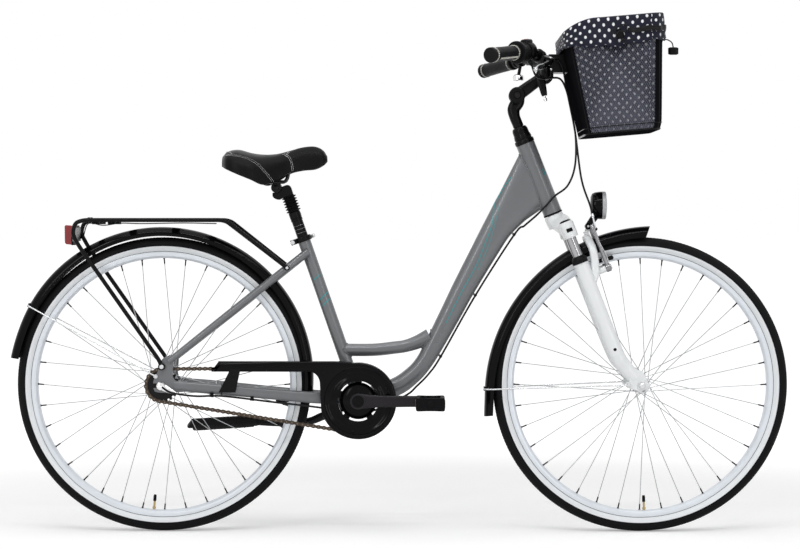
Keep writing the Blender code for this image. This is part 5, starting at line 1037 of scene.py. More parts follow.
def chain_path():
    apart = hypot(BB.x - REAR.x, BB.z - REAR.z)
    tilt = atan2(BB.z - REAR.z, BB.x - REAR.x)
    lean = atan2(RING_RADIUS - SPROCKET_RADIUS, apart)
    path = []
    for centre, radius, start, end in ((REAR, SPROCKET_RADIUS, tilt + pi / 2 + lean,
                                        tilt + 3 * pi / 2 - lean),
                                       (BB, RING_RADIUS, tilt - pi / 2 - lean, tilt + pi / 2 + lean)):
        for step in range(41):
            angle = start + (end - start) * step / 40
            path.append(centre + Vector((cos(angle), 0, sin(angle))) * radius + LEFT * CHAIN_LINE)
    return path + path[:1]


def link_outline(length, wide, waist):
    """The figure of eight of a chain's side plate."""
    outline = arc(wide, 110, 250, 8) + [(length / 2, -waist)]
    return outline + arc(wide, -70, 70, 8, (length, 0)) + [(length / 2, waist)]


def build_chain():
    loop = chain_path()
    count = (len(evenly(loop, PITCH)) - 1) // 2 * 2
    spots = [place for place, way in evenly(loop, length_of(loop) / count)][:count]
    plates, pins = [], []
    for index, place in enumerate(spots):
        after = spots[(index + 1) % count]
        along = unit(after - place)
        rise = along.cross(LEFT)
        inner, outer = (0.0030, 0.0040) if index % 2 else (0.0019, 0.0029)
        outline = link_outline((after - place).length, 0.0050, 0.0031)
        for side in (-1, 1):
            plates.append(beside(outline, side, inner, outer, place, along, rise))
        pins.append(cross_rod(place, 0.0043, 0.0017, 10))
        plates.append(cross_rod(place, 0.0019, 0.0038, 12))
    piece("chain_links", "frame", [("chain brown", *plates), ("pin steel", *pins)], "chain")


def build_drive():
    low, high = CHAIN_LINE - TOOTH_HALF_WIDTH, CHAIN_LINE + TOOTH_HALF_WIDTH

    def gear_plate(teeth, radius, hole, centre):
        outer = gear_outline(teeth, radius)
        inner = [(hole * cos(atan2(b, a)), hole * sin(atan2(b, a))) for a, b in outer]
        return washer(outer, inner, low, high, centre)

    gear = gear_plate(SPROCKET_TEETH, SPROCKET_RADIUS, 0.0130, REAR)
    boss = turned([(AXLE_RADIUS + RUN, -0.0550), (0.0155, -0.0550), (0.0165, -0.0540), (0.0165, -0.0345),
                   (AXLE_RADIUS + RUN, -0.0342)], REAR, LEFT, 40)
    cover = turned([(0.0166, -0.0450), (0.0310, -0.0448), (0.0345, -0.0436), (0.0310, -0.0434),
                    (0.0166, -0.0434)], REAR, LEFT, 48)
    piece("sprocket_gear", "rear_driver", [("black steel", gear, boss), ("matt black", cover)],
          "rear_sprocket", 0.0003)
    ring = gear_plate(CHAINRING_TEETH, RING_RADIUS, 0.0500, BB)
    arms = []
    outline = [(0.012, -0.0115), (0.040, -0.0070), (0.053, -0.0090), (0.053, 0.0090), (0.040, 0.0070),
               (0.012, 0.0115)]
    for turn in range(5):
        a = 2 * pi * turn / 5 + 0.3
        first = Vector((cos(a), 0, sin(a)))
        second = Vector((-sin(a), 0, cos(a)))
        arms.append(plate(outline, low - 0.0002, high + 0.0002, BB, first, second))
    piece("chainring_gear", "crankset", [("black steel", ring, *arms)], "chainring", 0.0003)
    disc = [
        (0.0188, -0.0512), (0.0425, -0.0512), (0.0437, -0.0520), (0.0437, -0.0540), (0.0424, -0.0552),
        (0.0405, -0.0560),
        (0.0398, -0.0582), (0.0345, -0.0612), (0.0290, -0.0630), (0.0235, -0.0638), (0.0188, -0.0640),
    ]
    piece("crank_disc_cover", "crankset", [("gloss black", turned(disc, BB, LEFT, 96))],
          "crank_disc")
    for build, name in ((crank, "crank_"), (pedal, "pedal_")):
        build(name + "right", -1, 1)
        build(name + "left", 1, -1)


def crank(name, side, toward):
    """side is -1 for the right crank; toward is +1 when the crank points forward."""
    axle = BB + FORE * CRANK_LENGTH * toward
    inner = 0.0700
    rows = [
        # place along the arm, half height, outer face; a pinched waist behind a round boss
        (-0.0192, 0.004, 0.0815), (-0.0150, 0.0125, 0.0836), (-0.0050, 0.0185, 0.0842),
        (0.0080, 0.0185, 0.0842),
        (0.0220, 0.0165, 0.0842), (0.0400, 0.0148, 0.0840), (0.0800, 0.0138, 0.0838),
        (0.1200, 0.0132, 0.0838),
        (0.1500, 0.0132, 0.0842), (0.1660, 0.0138, 0.0846), (0.1780, 0.0118, 0.0842),
        (0.1832, 0.0050, 0.0830),
    ]
    loops = []
    for along, high, face in smooth(rows, 5):
        centre = BB + FORE * along * toward + LEFT * side * (inner + face) / 2
        loops.append(oval(centre, UP * high, LEFT * (face - inner) / 2, 32, 0.62))
    arm = stacked(loops)
    boss = 0.0495 if side < 0 else 0.0375
    hub = turned([(SPINDLE_RADIUS, boss), (0.0170, boss), (0.0185, boss + 0.0015), (0.0185, 0.0845),
                  (0.0175, 0.0855), (SPINDLE_RADIUS, 0.0855)],
                 BB, LEFT * side, 48, UP)
    eye = turned([(0.0045, 0.0702), (0.0115, 0.0702), (0.0125, 0.0712), (0.0125, 0.0892), (0.0112, 0.0905),
                  (0.0045, 0.0905)], axle, LEFT * side, 40, UP)
    spindle = turned([(0, 0.0840), (0.0048, 0.0842), (0.0048, 0.0862), (0.0060, 0.0905), (0.0045, 0.0915),
                      (0.0045, 0.1850), (0.0038, 0.1860), (0, 0.1860)],
                     axle, LEFT * side, 24, UP)
    dent = [(a * toward, b) for a, b in ((0.030, -0.0065), (0.030, 0.0065), (0.100, 0.0032),
                                         (0.100, -0.0032))]
    piece(name + "_arm", "crankset", [("dark alloy", arm, hub, eye), ("silver", spindle)], name,
          sharp=40,
          cuts=[beside(dent, side, 0.0832, 0.0860, BB)])
    cap = turned([(0, 0.0842), (0.0120, 0.0842), (0.0142, 0.0850), (0.0142, 0.0862), (0.0115, 0.0868),
                  (0.0090, 0.0862), (0.0050, 0.0860), (0, 0.0866)],
                 BB, LEFT * side, 48, UP)
    piece(name + "_cap", "crankset", [("gloss black", cap)], name)


def pedal(name, side, toward):
    axle = BB + FORE * CRANK_LENGTH * toward
    low, high = 0.0915, 0.1860
    outer = smooth([
        (-0.034, -0.0085), (-0.0325, -0.0140), (-0.028, -0.0155), (-0.010, -0.0150), (0.010, -0.0150),
        (0.028, -0.0155),
        (0.0325, -0.0140), (0.034, -0.0085), (0.034, 0.0085), (0.0325, 0.0140), (0.028, 0.0155),
        (0.010, 0.0150),
        (-0.010, 0.0150), (-0.028, 0.0155), (-0.0325, 0.0140), (-0.034, 0.0085), (-0.034, -0.0085)], 2)[:-1]
    shapes, rubber = [], []
    for a, b in ((low, low + 0.0105), (high - 0.0085, high)):
        shapes.append(beside(outer, side, a, b, axle))

    def bar_along(x, wide, tall):
        outline = [(-wide, -tall), (wide, -tall), (wide, tall), (-wide, tall)]
        shapes.append(beside(outline, side, low + 0.002, high - 0.002, axle + FORE * x))

    for x in (-0.0285, 0.0285):
        bar_along(x, 0.0045, 0.0130)
        for z in (-1, 1):
            for k in range(9):
                y = side * (low + 0.016 + k * 0.0078)
                rubber.append(block(axle + Vector((x, y, z * 0.0138)), (0.0046, 0.0024, 0.0014)))
    shapes.append(turned([(0.0051, low), (0.0090, low), (0.0090, high - 0.004), (0.0078, high - 0.002),
                          (0.0051, high - 0.002)], axle, LEFT * side, 32, UP))
    for x in (-0.0145, 0.0145):
        bar_along(x, 0.0014, 0.0100)
    for y in (low + 0.032, low + 0.062):
        shapes.append(block(axle + LEFT * side * y, (0.030, 0.0016, 0.0085)))
    cap = turned([(0, high - 0.001), (0.0095, high - 0.001), (0.0095, high + 0.0010), (0.0060, high + 0.0024),
                  (0, high + 0.0026)], axle, LEFT * side, 32, UP)
    piece(name + "_cage", name, [("matt black", *shapes, cap), ("rubber", *rubber)], name,
          0.0006)
    shine = [block(axle + Vector((x, side * (low + high) / 2, 0)), (0.0011, 0.0230, 0.0075))
             for x in (-0.0336, 0.0336)]
    piece(name + "_reflectors", name, [("amber", *shine)], name, 0.0003)


def inset(outline, by):
    """A clockwise outline moved inwards."""
    found = []
    for index, (x, z) in enumerate(outline):
        before, after = outline[index - 1], outline[(index + 1) % len(outline)]
        along = unit((after[0] - before[0], 0, after[1] - before[1]))
        found.append((x + along.z * by, z - along.x * by))
    return found


def build_guard():
    """Face plate over the chainring and the upper run, with a flange turned in round its edge."""
    top, radius = 0.0935, GUARD_RADIUS
    arm_x = REAR_X + 0.118 - BB.x
    outline = [(arm_x, 0.0690), (arm_x + 0.0016, 0.0735), (arm_x + 0.0155, top - 0.0018),
               (arm_x + 0.0200, top)]
    outline += [(-0.060, top), (-0.030, top - 0.0006)] + arc(radius, 96, -165, 90)
    outline += arc(0.030, 0, 70, 10, (-0.1205, 0.0405))
    outer = -0.0685
    profile = [(-0.0615, 0.0090), (-0.0615, 0.0044), (-0.0625, 0.0022), (-0.0634, 0.0), (-0.0655, 0.0004),
               (-0.0670, 0.0016),
               (-0.0680, 0.0036), (-0.0685, 0.0064), (outer, 0.0090)]
    face = stacked([[BB + Vector((a, y, b)) for a, b in inset(outline, by)] for y, by in profile])
    hole = rod(BB + LEFT * -0.10, BB + LEFT * -0.03, GUARD_HOLE, 96)
    low, high = GUARD_HOLE + 0.0048, radius - 0.0100
    dish = [(low + (high - low) * k / 16, outer + 0.0020 * (1 - cos(2 * pi * k / 16)))
            for k in range(16, -1, -1)]
    channel = turned([(high, -0.0700), *dish, (low, -0.0700)], BB, LEFT, 128)
    piece("guard_face", "frame", [("gloss black", face)], "chain_guard", 0.0008,
          cuts=[hole, channel])
    flange = [(arm_x + 0.0160, top), (-0.060, top), (-0.030, top - 0.0006)] + arc(radius, 96, -90, 60)
    thick = 0.0022
    inside = [(a, b - thick) for a, b in flange[:3]]
    inside += [(a * (1 - thick / radius), b * (1 - thick / radius)) for a, b in flange[3:]]
    lip = plate(flange + inside[::-1], -0.0640, -0.0405, BB)
    # A raised rib round the hole and one along the arm, as the press leaves them.
    rib = turned([(GUARD_HOLE + 0.0005, outer + 0.0005), (GUARD_HOLE + 0.0008, outer - 0.0010),
                  (GUARD_HOLE + 0.0022, outer - 0.0014), (GUARD_HOLE + 0.0038, outer - 0.0008),
                  (GUARD_HOLE + 0.0042, outer + 0.0005)], BB, LEFT, 96)
    edge = turned([(radius - 0.0120, outer + 0.0005), (radius - 0.0108, outer - 0.0007),
                   (radius - 0.0096, outer + 0.0005)], BB, LEFT, 96)
    spine = [BB + Vector((x, outer - 0.0001, z)) for x, z in ((arm_x + 0.020, top - 0.0120),
                                                              (-0.160, top - 0.0115), (-0.110, top - 0.0110))]
    ridge = sweep(spine, [0.0004, 0.0011, 0.0004], 12, steps=8)
    piece("guard_lip", "frame", [("gloss black", lip, rib, edge, ridge)], "chain_guard")
    stay = chainstay_points()
    foot = stay[1].lerp(stay[2], 0.22)
    slope = (stay[2].y - stay[1].y) / (stay[2].x - stay[1].x)
    seat = foot.y - 0.0076 - 0.010 * slope - GAP
    strap = [(-0.0066, -0.0060), (0.0329, -0.0060), (0.0449, 0.0500), (0.0208, 0.0500)]
    bracket = plate(strap, outer + 0.0001, seat, (foot.x, 0, foot.z))
    loop = oval(foot, LEFT * 0.0087, UP * 0.0135, 32, 0.9)
    strap_loop = hoop(loop, [p - foot for p in loop], [0.0009])
    screw = pin((foot.x + 0.028, outer, foot.z + 0.034), -LEFT, 0.0032, -0.001, 0.0012)
    piece("guard_bracket", "frame", [("satin black", bracket, strap_loop, screw)],
          "chain_guard", 0.0006)
    screws = [pin(BB + Vector((radius * 0.80 * cos(a), outer, radius * 0.80 * sin(a))), LEFT * -1, 0.0034,
                  -0.001, 0.0010) for a in (radians(25), radians(-100))]
    piece("guard_screws", "frame", [("satin black", *screws)], "chain_guard")


# Mudguards and stays

def mudguard_shape(circle, span, deeper, slant, flare):
    """An arched strip of thin section, open towards the wheel, and the rolled edges on its rims."""
    centre, radius = circle
    start, end = span
    outer = []
    for angle in range(-90, 91, 9):
        a = radians(angle)
        s, c = sin(a), cos(a)
        outer.append(((abs(s) ** 0.86) * (1 if s > 0 else -1), abs(c) ** 0.80))
    wide, deep = GUARD_HALF_WIDTH - GUARD_SHEET, GUARD_DEPTH - GUARD_SHEET
    section = [(y * GUARD_HALF_WIDTH, out * GUARD_DEPTH) for y, out in outer]
    section += [(y * wide, out * deep) for y, out in outer[::-1]]

    def spot(share, y, out, lift=0.0):
        """A place on the mudguard, at a share of its length and some way out from its edge."""
        low = 1 - out / GUARD_DEPTH
        angle = radians(start + (end - start) * share + slant * low * max(0, 1 - share * 14))
        extra = (deeper[0] + (deeper[1] - deeper[0]) * share) * low
        reach = radius - (GUARD_DEPTH - out) - extra + flare * (max(share - 0.93, 0) / 0.07) ** 1.5 + lift
        return centre + Vector((cos(angle) * reach, y, sin(angle) * reach))

    sheet = stacked([[spot(step / 150, y, out) for y, out in section] for step in range(151)])
    edge = GUARD_HALF_WIDTH - 0.0006
    rails = [sweep([spot(step / 120, y, 0, 0.0004) for step in range(121)], 0.0009, 8) for y in (-edge, edge)]
    return sheet, *rails


def build_mudguards():
    for name, body, *form in (
            ("rear_mudguard", "frame", rear_mudguard_circle(), REAR_SPAN, (0.0, 0.002), 0.0, 0.003),
            ("front_mudguard", "fork_lowers", front_mudguard_circle(), FRONT_SPAN, (0.0065, 0.001), 1.7,
             0.004)):
        piece(name + "_sheet", body, [("gloss black", *mudguard_shape(*form))], name)
    stay_wire("rear_mudguard_stay", "frame", REAR + Vector((-0.0135, -0.0686, 0.0220)),
              rear_mudguard_circle(), 151)
    stay_wire("front_mudguard_stay", "fork_lowers", on_steer(0.0133, RAKE - 0.0281, -0.0675),
              front_mudguard_circle(), 177.3)


def stay_wire(name, body, foot, circle, angle):
    """One wire from the right eyelet, over the mudguard, to the left eyelet."""
    centre, radius = circle
    away = Vector((cos(radians(angle)), 0, sin(radians(angle))))
    wire = 0.0018
    over = centre + away * (radius + wire + GAP)
    below = centre + away * (radius - 0.009)
    first = unit(Vector((below.x - foot.x, 0, below.z - foot.z)))
    beside = LEFT * -(GUARD_HALF_WIDTH + 0.0040)
    half = [foot, foot + first * 0.0120, below.lerp(foot, 0.02) + beside,
            below + away * 0.006 + beside * 0.97,
            over + away * -0.0015 + LEFT * -0.0150]
    line = half[:1] + curve(half[1:3], 12) + curve([half[2], half[3], half[4], over], 8)[1:]
    path = line + flip(line)[::-1][1:]
    eyes, bolts = [], []
    for eye, way in ((foot, -1), (flip([foot])[0], 1)):
        eyes.append(turned(band(0.0026, 0.0050, -0.0018, 0.0018), eye, LEFT, 32))
        bolts.append(pin(eye, LEFT * way, 0.0040, -0.0020, 0.0044))
    clip = [block(over + LEFT * y - away * 0.0008, (0.0045, 0.0050, 0.0012), away.cross(LEFT), LEFT, away)
            for y in (-0.010, 0.010)]
    piece(name + "_wire", body, [("silver", sweep(path, wire, 12, away), *eyes, *bolts),
                                           ("matt black", *clip)], name)


# Rack, tail light and clip

def rack_top():
    centre, radius = rear_mudguard_circle()
    return centre.z + radius + 0.0165


def rack_front_foot():
    stay = seatstay_points()
    spot = stay[2].lerp(stay[3], 0.55)
    return Vector((spot.x, spot.y - 0.0095 - GAP - 0.0052 - 0.0016, spot.z))


def rack_points():
    top = rack_top()
    back = REAR.x - 0.2100
    foot = REAR + Vector((0.0012, -0.0725, 0.045))
    front_foot = rack_front_foot()
    half = 0.075
    return [
        foot, Vector((foot.x - 0.006, -half, foot.z + 0.016)), Vector((back + 0.0165, -half, top - 0.060)),
        Vector((back + 0.0015, -half, top - 0.032)), Vector((back + 0.0090, -half, top - 0.006)),
        Vector((back + 0.0290, -half, top)), Vector((REAR.x + 0.142, -half, top)),
        Vector((REAR.x + 0.156, -half + 0.001, top - 0.004)), front_foot + Vector((-0.014, -0.0020, 0.0110)),
        front_foot,
    ]


def rounded(points, reach, steps=6):
    """The same line with each corner turned into a short curve."""
    found = [Vector(points[0])]
    for a, b, c in zip(points, points[1:], points[2:]):
        size = min(reach, (b - a).length * 0.45, (c - b).length * 0.45)
        start, end = b + unit(a - b) * size, b + unit(c - b) * size
        for step in range(steps + 1):
            f = step / steps
            found.append(start * (1 - f) ** 2 + b * 2 * f * (1 - f) + end * f * f)
    return found + [Vector(points[-1])]


def build_rack():
    top = rack_top()
    tube = sweep(rounded(rack_points(), 0.018), 0.0050, 24)
    plates, feet, bolts = [], [], []
    for x in (-0.176, -0.080, 0.030, 0.128):
        plates.append(block((REAR.x + x, 0, top - 0.0020), (0.010, 0.074, 0.0015)))
    back = Vector((REAR.x - 0.2085, 0, top - 0.034))
    tilt, rise = unit((1, 0, -0.1)), unit((0.1, 0, 1))
    plates.append(block(back, (0.0018, 0.0745, 0.0170), tilt, LEFT, rise))
    for y in (-0.030, 0.030):
        plates.append(block((REAR.x - 0.176, y, top + 0.0015), (0.006, 0.003, 0.0030)))
    foot, spot = ((p.x, 0, p.z) for p in (rack_points()[0], rack_front_foot()))
    out = -rack_front_foot().y
    for y in (-1, 1):
        feet.append(turned(collar(0.0026, 0.0085, 0.0667, 0.0763, 0.0005), foot, LEFT * y, 32))
        bolts.append(pin(foot, LEFT * y, 0.0052, 0.0740, 0.0785))
        feet.append(pin(spot, LEFT * y, 0.0062, out - 0.0050, out + 0.0046))
        bolts.append(pin(spot, LEFT * y, 0.0036, out + 0.0040, out + 0.0064))
    piece("rack_tubes", "frame", [("satin black", tube, mirrored(tube), *feet),
                                                 ("silver", *bolts)], "rear_rack")
    piece("rack_plates", "frame", [("satin black", *plates)], "rear_rack", 0.0008)
    # Lamp wire and its clips below the top, and a luggage strap's buckles.
    wire = [(-0.196, 0.028, -0.040), (-0.188, 0.030, -0.012), (-0.176, 0.036, -0.0075),
            (-0.150, 0.045, -0.0125),
            (-0.110, 0.0635, -0.0075), (-0.060, 0.0655, -0.0085), (0.040, 0.0655, -0.0070),
            (0.120, 0.0640, -0.0085)]
    lead = sweep([Vector((REAR.x, 0, top)) + Vector(p) for p in wire], 0.0013, 10, steps=8)
    hooks = [block((REAR.x + x, y, top - 0.0070), (0.0085, 0.0040, 0.0030)) for x in (-0.155, -0.118)
             for y in (-0.060, 0.060)]
    piece("rack_lead", "frame", [("cable black", lead)], "rear_rack")
    piece("rack_hooks", "frame", [("matt black", *hooks)], "rear_rack", 0.0012)
    # Spring clip: two long wires that meet in front, with coils at its hinge.
    hinge = Vector((REAR.x - 0.176, 0, top + 0.0021))
    reach = 0.225
    path = [hinge + Vector(spot) for spot in ((0, 0.0265, 0), (0, 0.0150, 0), (0.016, 0.014, 0),
                                              (reach - 0.02, 0.014, 0), (reach, 0.007, 0))]
    line = rounded(path + flip(path)[::-1], 0.008, 6)
    coils = []
    for y in (-1, 1):
        helix = []
        for step in range(49):
            a = 2 * pi * 3 * step / 48
            helix.append(hinge + Vector((0.0036 * cos(a), y * (0.0255 - 0.0085 * step / 48),
                                         0.0003 + 0.0036 * sin(a) * 0.9)))
        coils.append(sweep(helix, 0.0012, 8, LEFT))
    piece("rack_clip_wire", "rack_clip", [("black steel", sweep(line, 0.0022, 16, UP), *coils)],
          "rack_clip")
    # Tail light: red shell on a black back, with ribs inside its face.
    centre = Vector((REAR.x - 0.2085, 0, top - 0.0365))
    shell = [(-0.0022, 0.0225), (-0.0225, 0.0225), (-0.0250, 0.0195), (-0.0205, -0.0190), (-0.0175, -0.0225),
             (-0.0022, -0.0225)]
    base = [(-0.0005, -0.0235), (-0.0047, -0.0235), (-0.0047, 0.0235), (-0.0005, 0.0235)]
    ribs = []
    for k in range(-4, 5):
        z = k * 0.0045
        out = -0.0227 - 0.115 * z
        ribs.append(block(centre + tilt * (out + 0.0004) + rise * z, (0.0012, 0.0385, 0.0006), tilt, LEFT,
                          rise))
    body = plate(shell, -0.040, 0.040, centre, tilt, rise, LEFT)
    piece("tail_light_shell", "frame", [("red plastic", body, *ribs)], "tail_light", 0.0014)
    foot = plate(base, -0.0412, 0.0412, centre, tilt, rise, LEFT)
    piece("tail_light_base", "frame", [("matt black", foot)], "tail_light", 0.0008)


# Kickstand, seat post and saddle

def build_stand():
    pivot = stand_pivot()
    along = STAND_FOLDED
    down = along.cross(STAND_AXIS)
    head = turned([(0, -0.006), (0.0112, -0.006), (0.0120, -0.0052), (0.0120, 0.0090), (0.0110, 0.010),
                   (0, 0.010)], pivot, STAND_AXIS, 48, FORE)
    bolt = turned(band(0, 0.0060, 0.0095, 0.0128), pivot, STAND_AXIS, 6, FORE)

    def on_leg(reach, low):
        return pivot + along * reach + down * low

    leg = [pivot + STAND_AXIS * 0.002, on_leg(0.036, 0.009), on_leg(0.076, 0.024), on_leg(0.145, 0.019),
           on_leg(0.205, 0.006)]
    sizes = [(0.006, 0.010), (0.0065, 0.0110), (0.0065, 0.0095), (0.0065, 0.0100), (0.006, 0.0105)]
    shape = sweep(leg, sizes, 32, STAND_AXIS, 0.7, steps=8)
    foot = [on_leg(*spot) for spot in ((0.19, 0.0090), (0.200, 0.0072), (0.215, 0.0050), (0.335, 0.0),
                                       (0.348, 0.0), (0.352, 0.0))]
    sizes = [(0.0065, 0.0095), (0.0085, 0.0125), (0.010, 0.0160), (0.010, 0.0170), (0.0098, 0.0160),
             (0.0086, 0.0138)]
    rubber = sweep(foot, sizes, 32, STAND_AXIS, 0.7, steps=5)
    grooves = []
    for k in range(9):
        reach = 0.228 + 0.012 * k
        spot = on_leg(reach, 0.0048 * (0.335 - reach) / 0.12)
        loop = oval(spot, unit(STAND_AXIS - along * along.dot(STAND_AXIS)) * 0.0102,
                    along.cross(STAND_AXIS) * 0.0171, 32, 0.7)
        grooves.append(hoop(loop, [p - spot for p in loop], [0.0007], 6))
    piece("stand_leg", "kickstand", [("satin black", head, shape), ("silver", bolt)],
          "kickstand")
    piece("stand_foot", "kickstand", [("rubber", rubber, *grooves)], "kickstand")


def saddle_pivot():
    return on_seat(SEAT_TUBE_LENGTH + 0.1305, -0.0200)


def build_post():
    inner = SEAT_TUBE_RADIUS + GAP
    top = SEAT_TUBE_LENGTH
    ring = turned([(inner, -0.0118), (inner + 0.0026, -0.0120), (inner + 0.0031, -0.0112),
                   (inner + 0.0031, -0.0005), (inner + 0.0024, 0.0008), (inner, 0.0008)],
                  on_seat(top), SEAT_UP, 48, LEFT)
    centre = on_seat(top - 0.0056, -inner - 0.0085)
    ears = [block(centre + LEFT * y, (0.0075, 0.0046, 0.0062), SEAT_FORE, LEFT, SEAT_UP)
            for y in (-0.0062, 0.0062)]
    bolt = on_seat(top - 0.0056, -inner - 0.0110)
    rods = [rod(bolt - LEFT * 0.0160, bolt + LEFT * CLAMP_BOLT, 0.0030),
            turned([(0, 0.0112), (0.0055, 0.0112), (0.0058, 0.0120), (0.0050, 0.0160), (0, 0.0162)], bolt,
                   -LEFT, 32, UP)]
    piece("seat_clamp_ring", "frame", [("satin black", ring, *ears), ("silver", *rods)],
          "seat_clamp", 0.0007)
    pivot = bolt + LEFT * (CLAMP_BOLT + GAP + CAM_RADIUS)
    cam = turned(band(0, CAM_RADIUS, -0.0050, 0.0050), pivot, SEAT_UP, 32, LEFT)
    line = [(0.0, 0.001), (0.012, 0.001), (0.034, 0.000), (0.046, -0.004), (0.053, -0.014), (0.052, -0.024)]
    path = [pivot + SEAT_FORE * fore + LEFT * out for fore, out in line]
    arm = sweep(path, [(0.0042, 0.0030), (0.0040, 0.0022), (0.0045, 0.0020), (0.0048, 0.0020),
                       (0.0048, 0.0021), (0.0030, 0.0018)], 24, SEAT_UP, 0.8, steps=6)
    piece("seat_lever", "seat_clamp_lever", [("silver", cam, arm)], "seat_clamp_lever", 0.0004)
    outer, collar = POST_RADIUS, top + 0.040
    bore = PLUNGER_RADIUS + GAP
    profile = [
        (bore, 0.205), (outer, 0.205), (outer, collar), (0.0142, collar + 0.0008), (0.0142, collar + 0.0050),
        (0.0136, collar + 0.0056),
        (0.0136, collar + 0.0068), (0.0142, collar + 0.0074), (0.0142, top + 0.0612), (0.0134, top + 0.062),
        (bore, top + 0.062),
    ]
    tube = turned(profile, on_seat(0), SEAT_UP, 48, LEFT)
    marks = [turned(band(outer - 0.0002, outer + 0.00012, h, h + 0.0004), on_seat(top), SEAT_UP, 48, LEFT)
             for h in (0.010, 0.019, 0.028)]
    screw = on_seat(collar + 0.014, 0.0138)
    piece("post_tube", "seatpost",
          [("satin black", tube), ("light grey", *marks),
           ("silver", pin(screw, SEAT_FORE, 0.0022, -0.001, 0.0012))], "seatpost_tube")
    # Ribbed boot: from the collar to the head.
    low, high = top + 0.062 + GAP, top + 0.103 - GAP
    ribs = 6
    profile = [(bore, low)]
    for index in range(ribs):
        for share, r in ((0.0, 0.0132), (0.12, 0.0128), (0.32, 0.0166), (0.5, 0.0179), (0.68, 0.0168),
                         (0.88, 0.0130)):
            profile.append((r, low + (high - low) * (index + share) / ribs))
    profile += [(0.0132, high), (bore, high)]
    boot = piece("post_boot", "seatpost",
                 [("rubber", turned(profile, on_seat(0), SEAT_UP, 64, LEFT))], "seatpost_boot", sharp=60)
    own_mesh(boot)
    base = top + 0.104
    bolt = saddle_pivot()
    shaft = rod(on_seat(0.330), on_seat(base + 0.010), PLUNGER_RADIUS, 32)
    outline = [(0.0125, -0.001), (0.0128, 0.008), (0.0125, 0.017), (0.0095, 0.0225), (0.005, 0.0245),
               (-0.002, 0.0246), (-0.008, 0.0235),
               (-0.0115, 0.0165), (-0.0200, 0.0150), (-0.0315, 0.0180), (-0.0345, 0.0130), (-0.0350, 0.0080),
               (-0.0300, 0.0010), (-0.0220, -0.0030), (-0.0120, -0.0015)]
    head = plate(softened(outline, 3), -0.0125, 0.0125, on_seat(base), SEAT_FORE, SEAT_UP, LEFT)
    piece("post_head", "seatpost_plunger", [("satin black", head)], "seatpost_plunger", 0.0012,
          cuts=[cross_rod(bolt, 0.03, 0.0128, 40)])
    extra = [shaft, cross_rod(bolt, 0.0125, 0.0045), block(bolt - UP * 0.0085, (0.0045, 0.0050, 0.0075))]
    piece("post_shaft", "seatpost_plunger", [("satin black", *extra)], "seatpost_plunger")


SADDLE_LENGTH = 0.246
SADDLE_ROWS = (
    # share of the length, half width, top, lower edge, all but the share in metres
    (0.00, 0.062, 0.034, 0.008), (0.05, 0.092, 0.045, 0.001), (0.15, 0.104, 0.049, -0.010),
    (0.28, 0.103, 0.041, -0.023),
    (0.40, 0.088, 0.0375, -0.035), (0.52, 0.064, 0.0395, -0.024), (0.64, 0.043, 0.047, -0.007),
    (0.76, 0.034, 0.0555, 0.000),
    (0.88, 0.031, 0.0575, 0.003), (0.96, 0.027, 0.048, 0.012), (1.00, 0.017, 0.034, 0.021),
)
SADDLE_BACK = saddle_pivot() + Vector((-0.1255, 0, 0.0410))
HOLLOW = ((0.84, 1.0), (0.5, 1.25), (0.0, 1.4))


def saddle_lift(top, low):
    return min(0.024, (top - low) * 0.33)


def saddle_row(share):
    for here, after in zip(SADDLE_ROWS, SADDLE_ROWS[1:]):
        if here[0] <= share <= after[0]:
            f = (share - here[0]) / (after[0] - here[0])
            return [here[k] + (after[k] - here[k]) * f for k in (1, 2, 3)]


def saddle_under(share, across):
    """A point under the saddle's base, at a share of the length and a share of the half width."""
    half, top, low = saddle_row(share)
    for (far, high), (near, higher) in zip(HOLLOW, HOLLOW[1:]):
        if near <= abs(across) <= far:
            rise = high + (higher - high) * (far - abs(across)) / (far - near)
    height = low + saddle_lift(top, low) * rise - GAP * 2 - 0.0028
    return SADDLE_BACK + Vector((SADDLE_LENGTH * share, half * across, height))


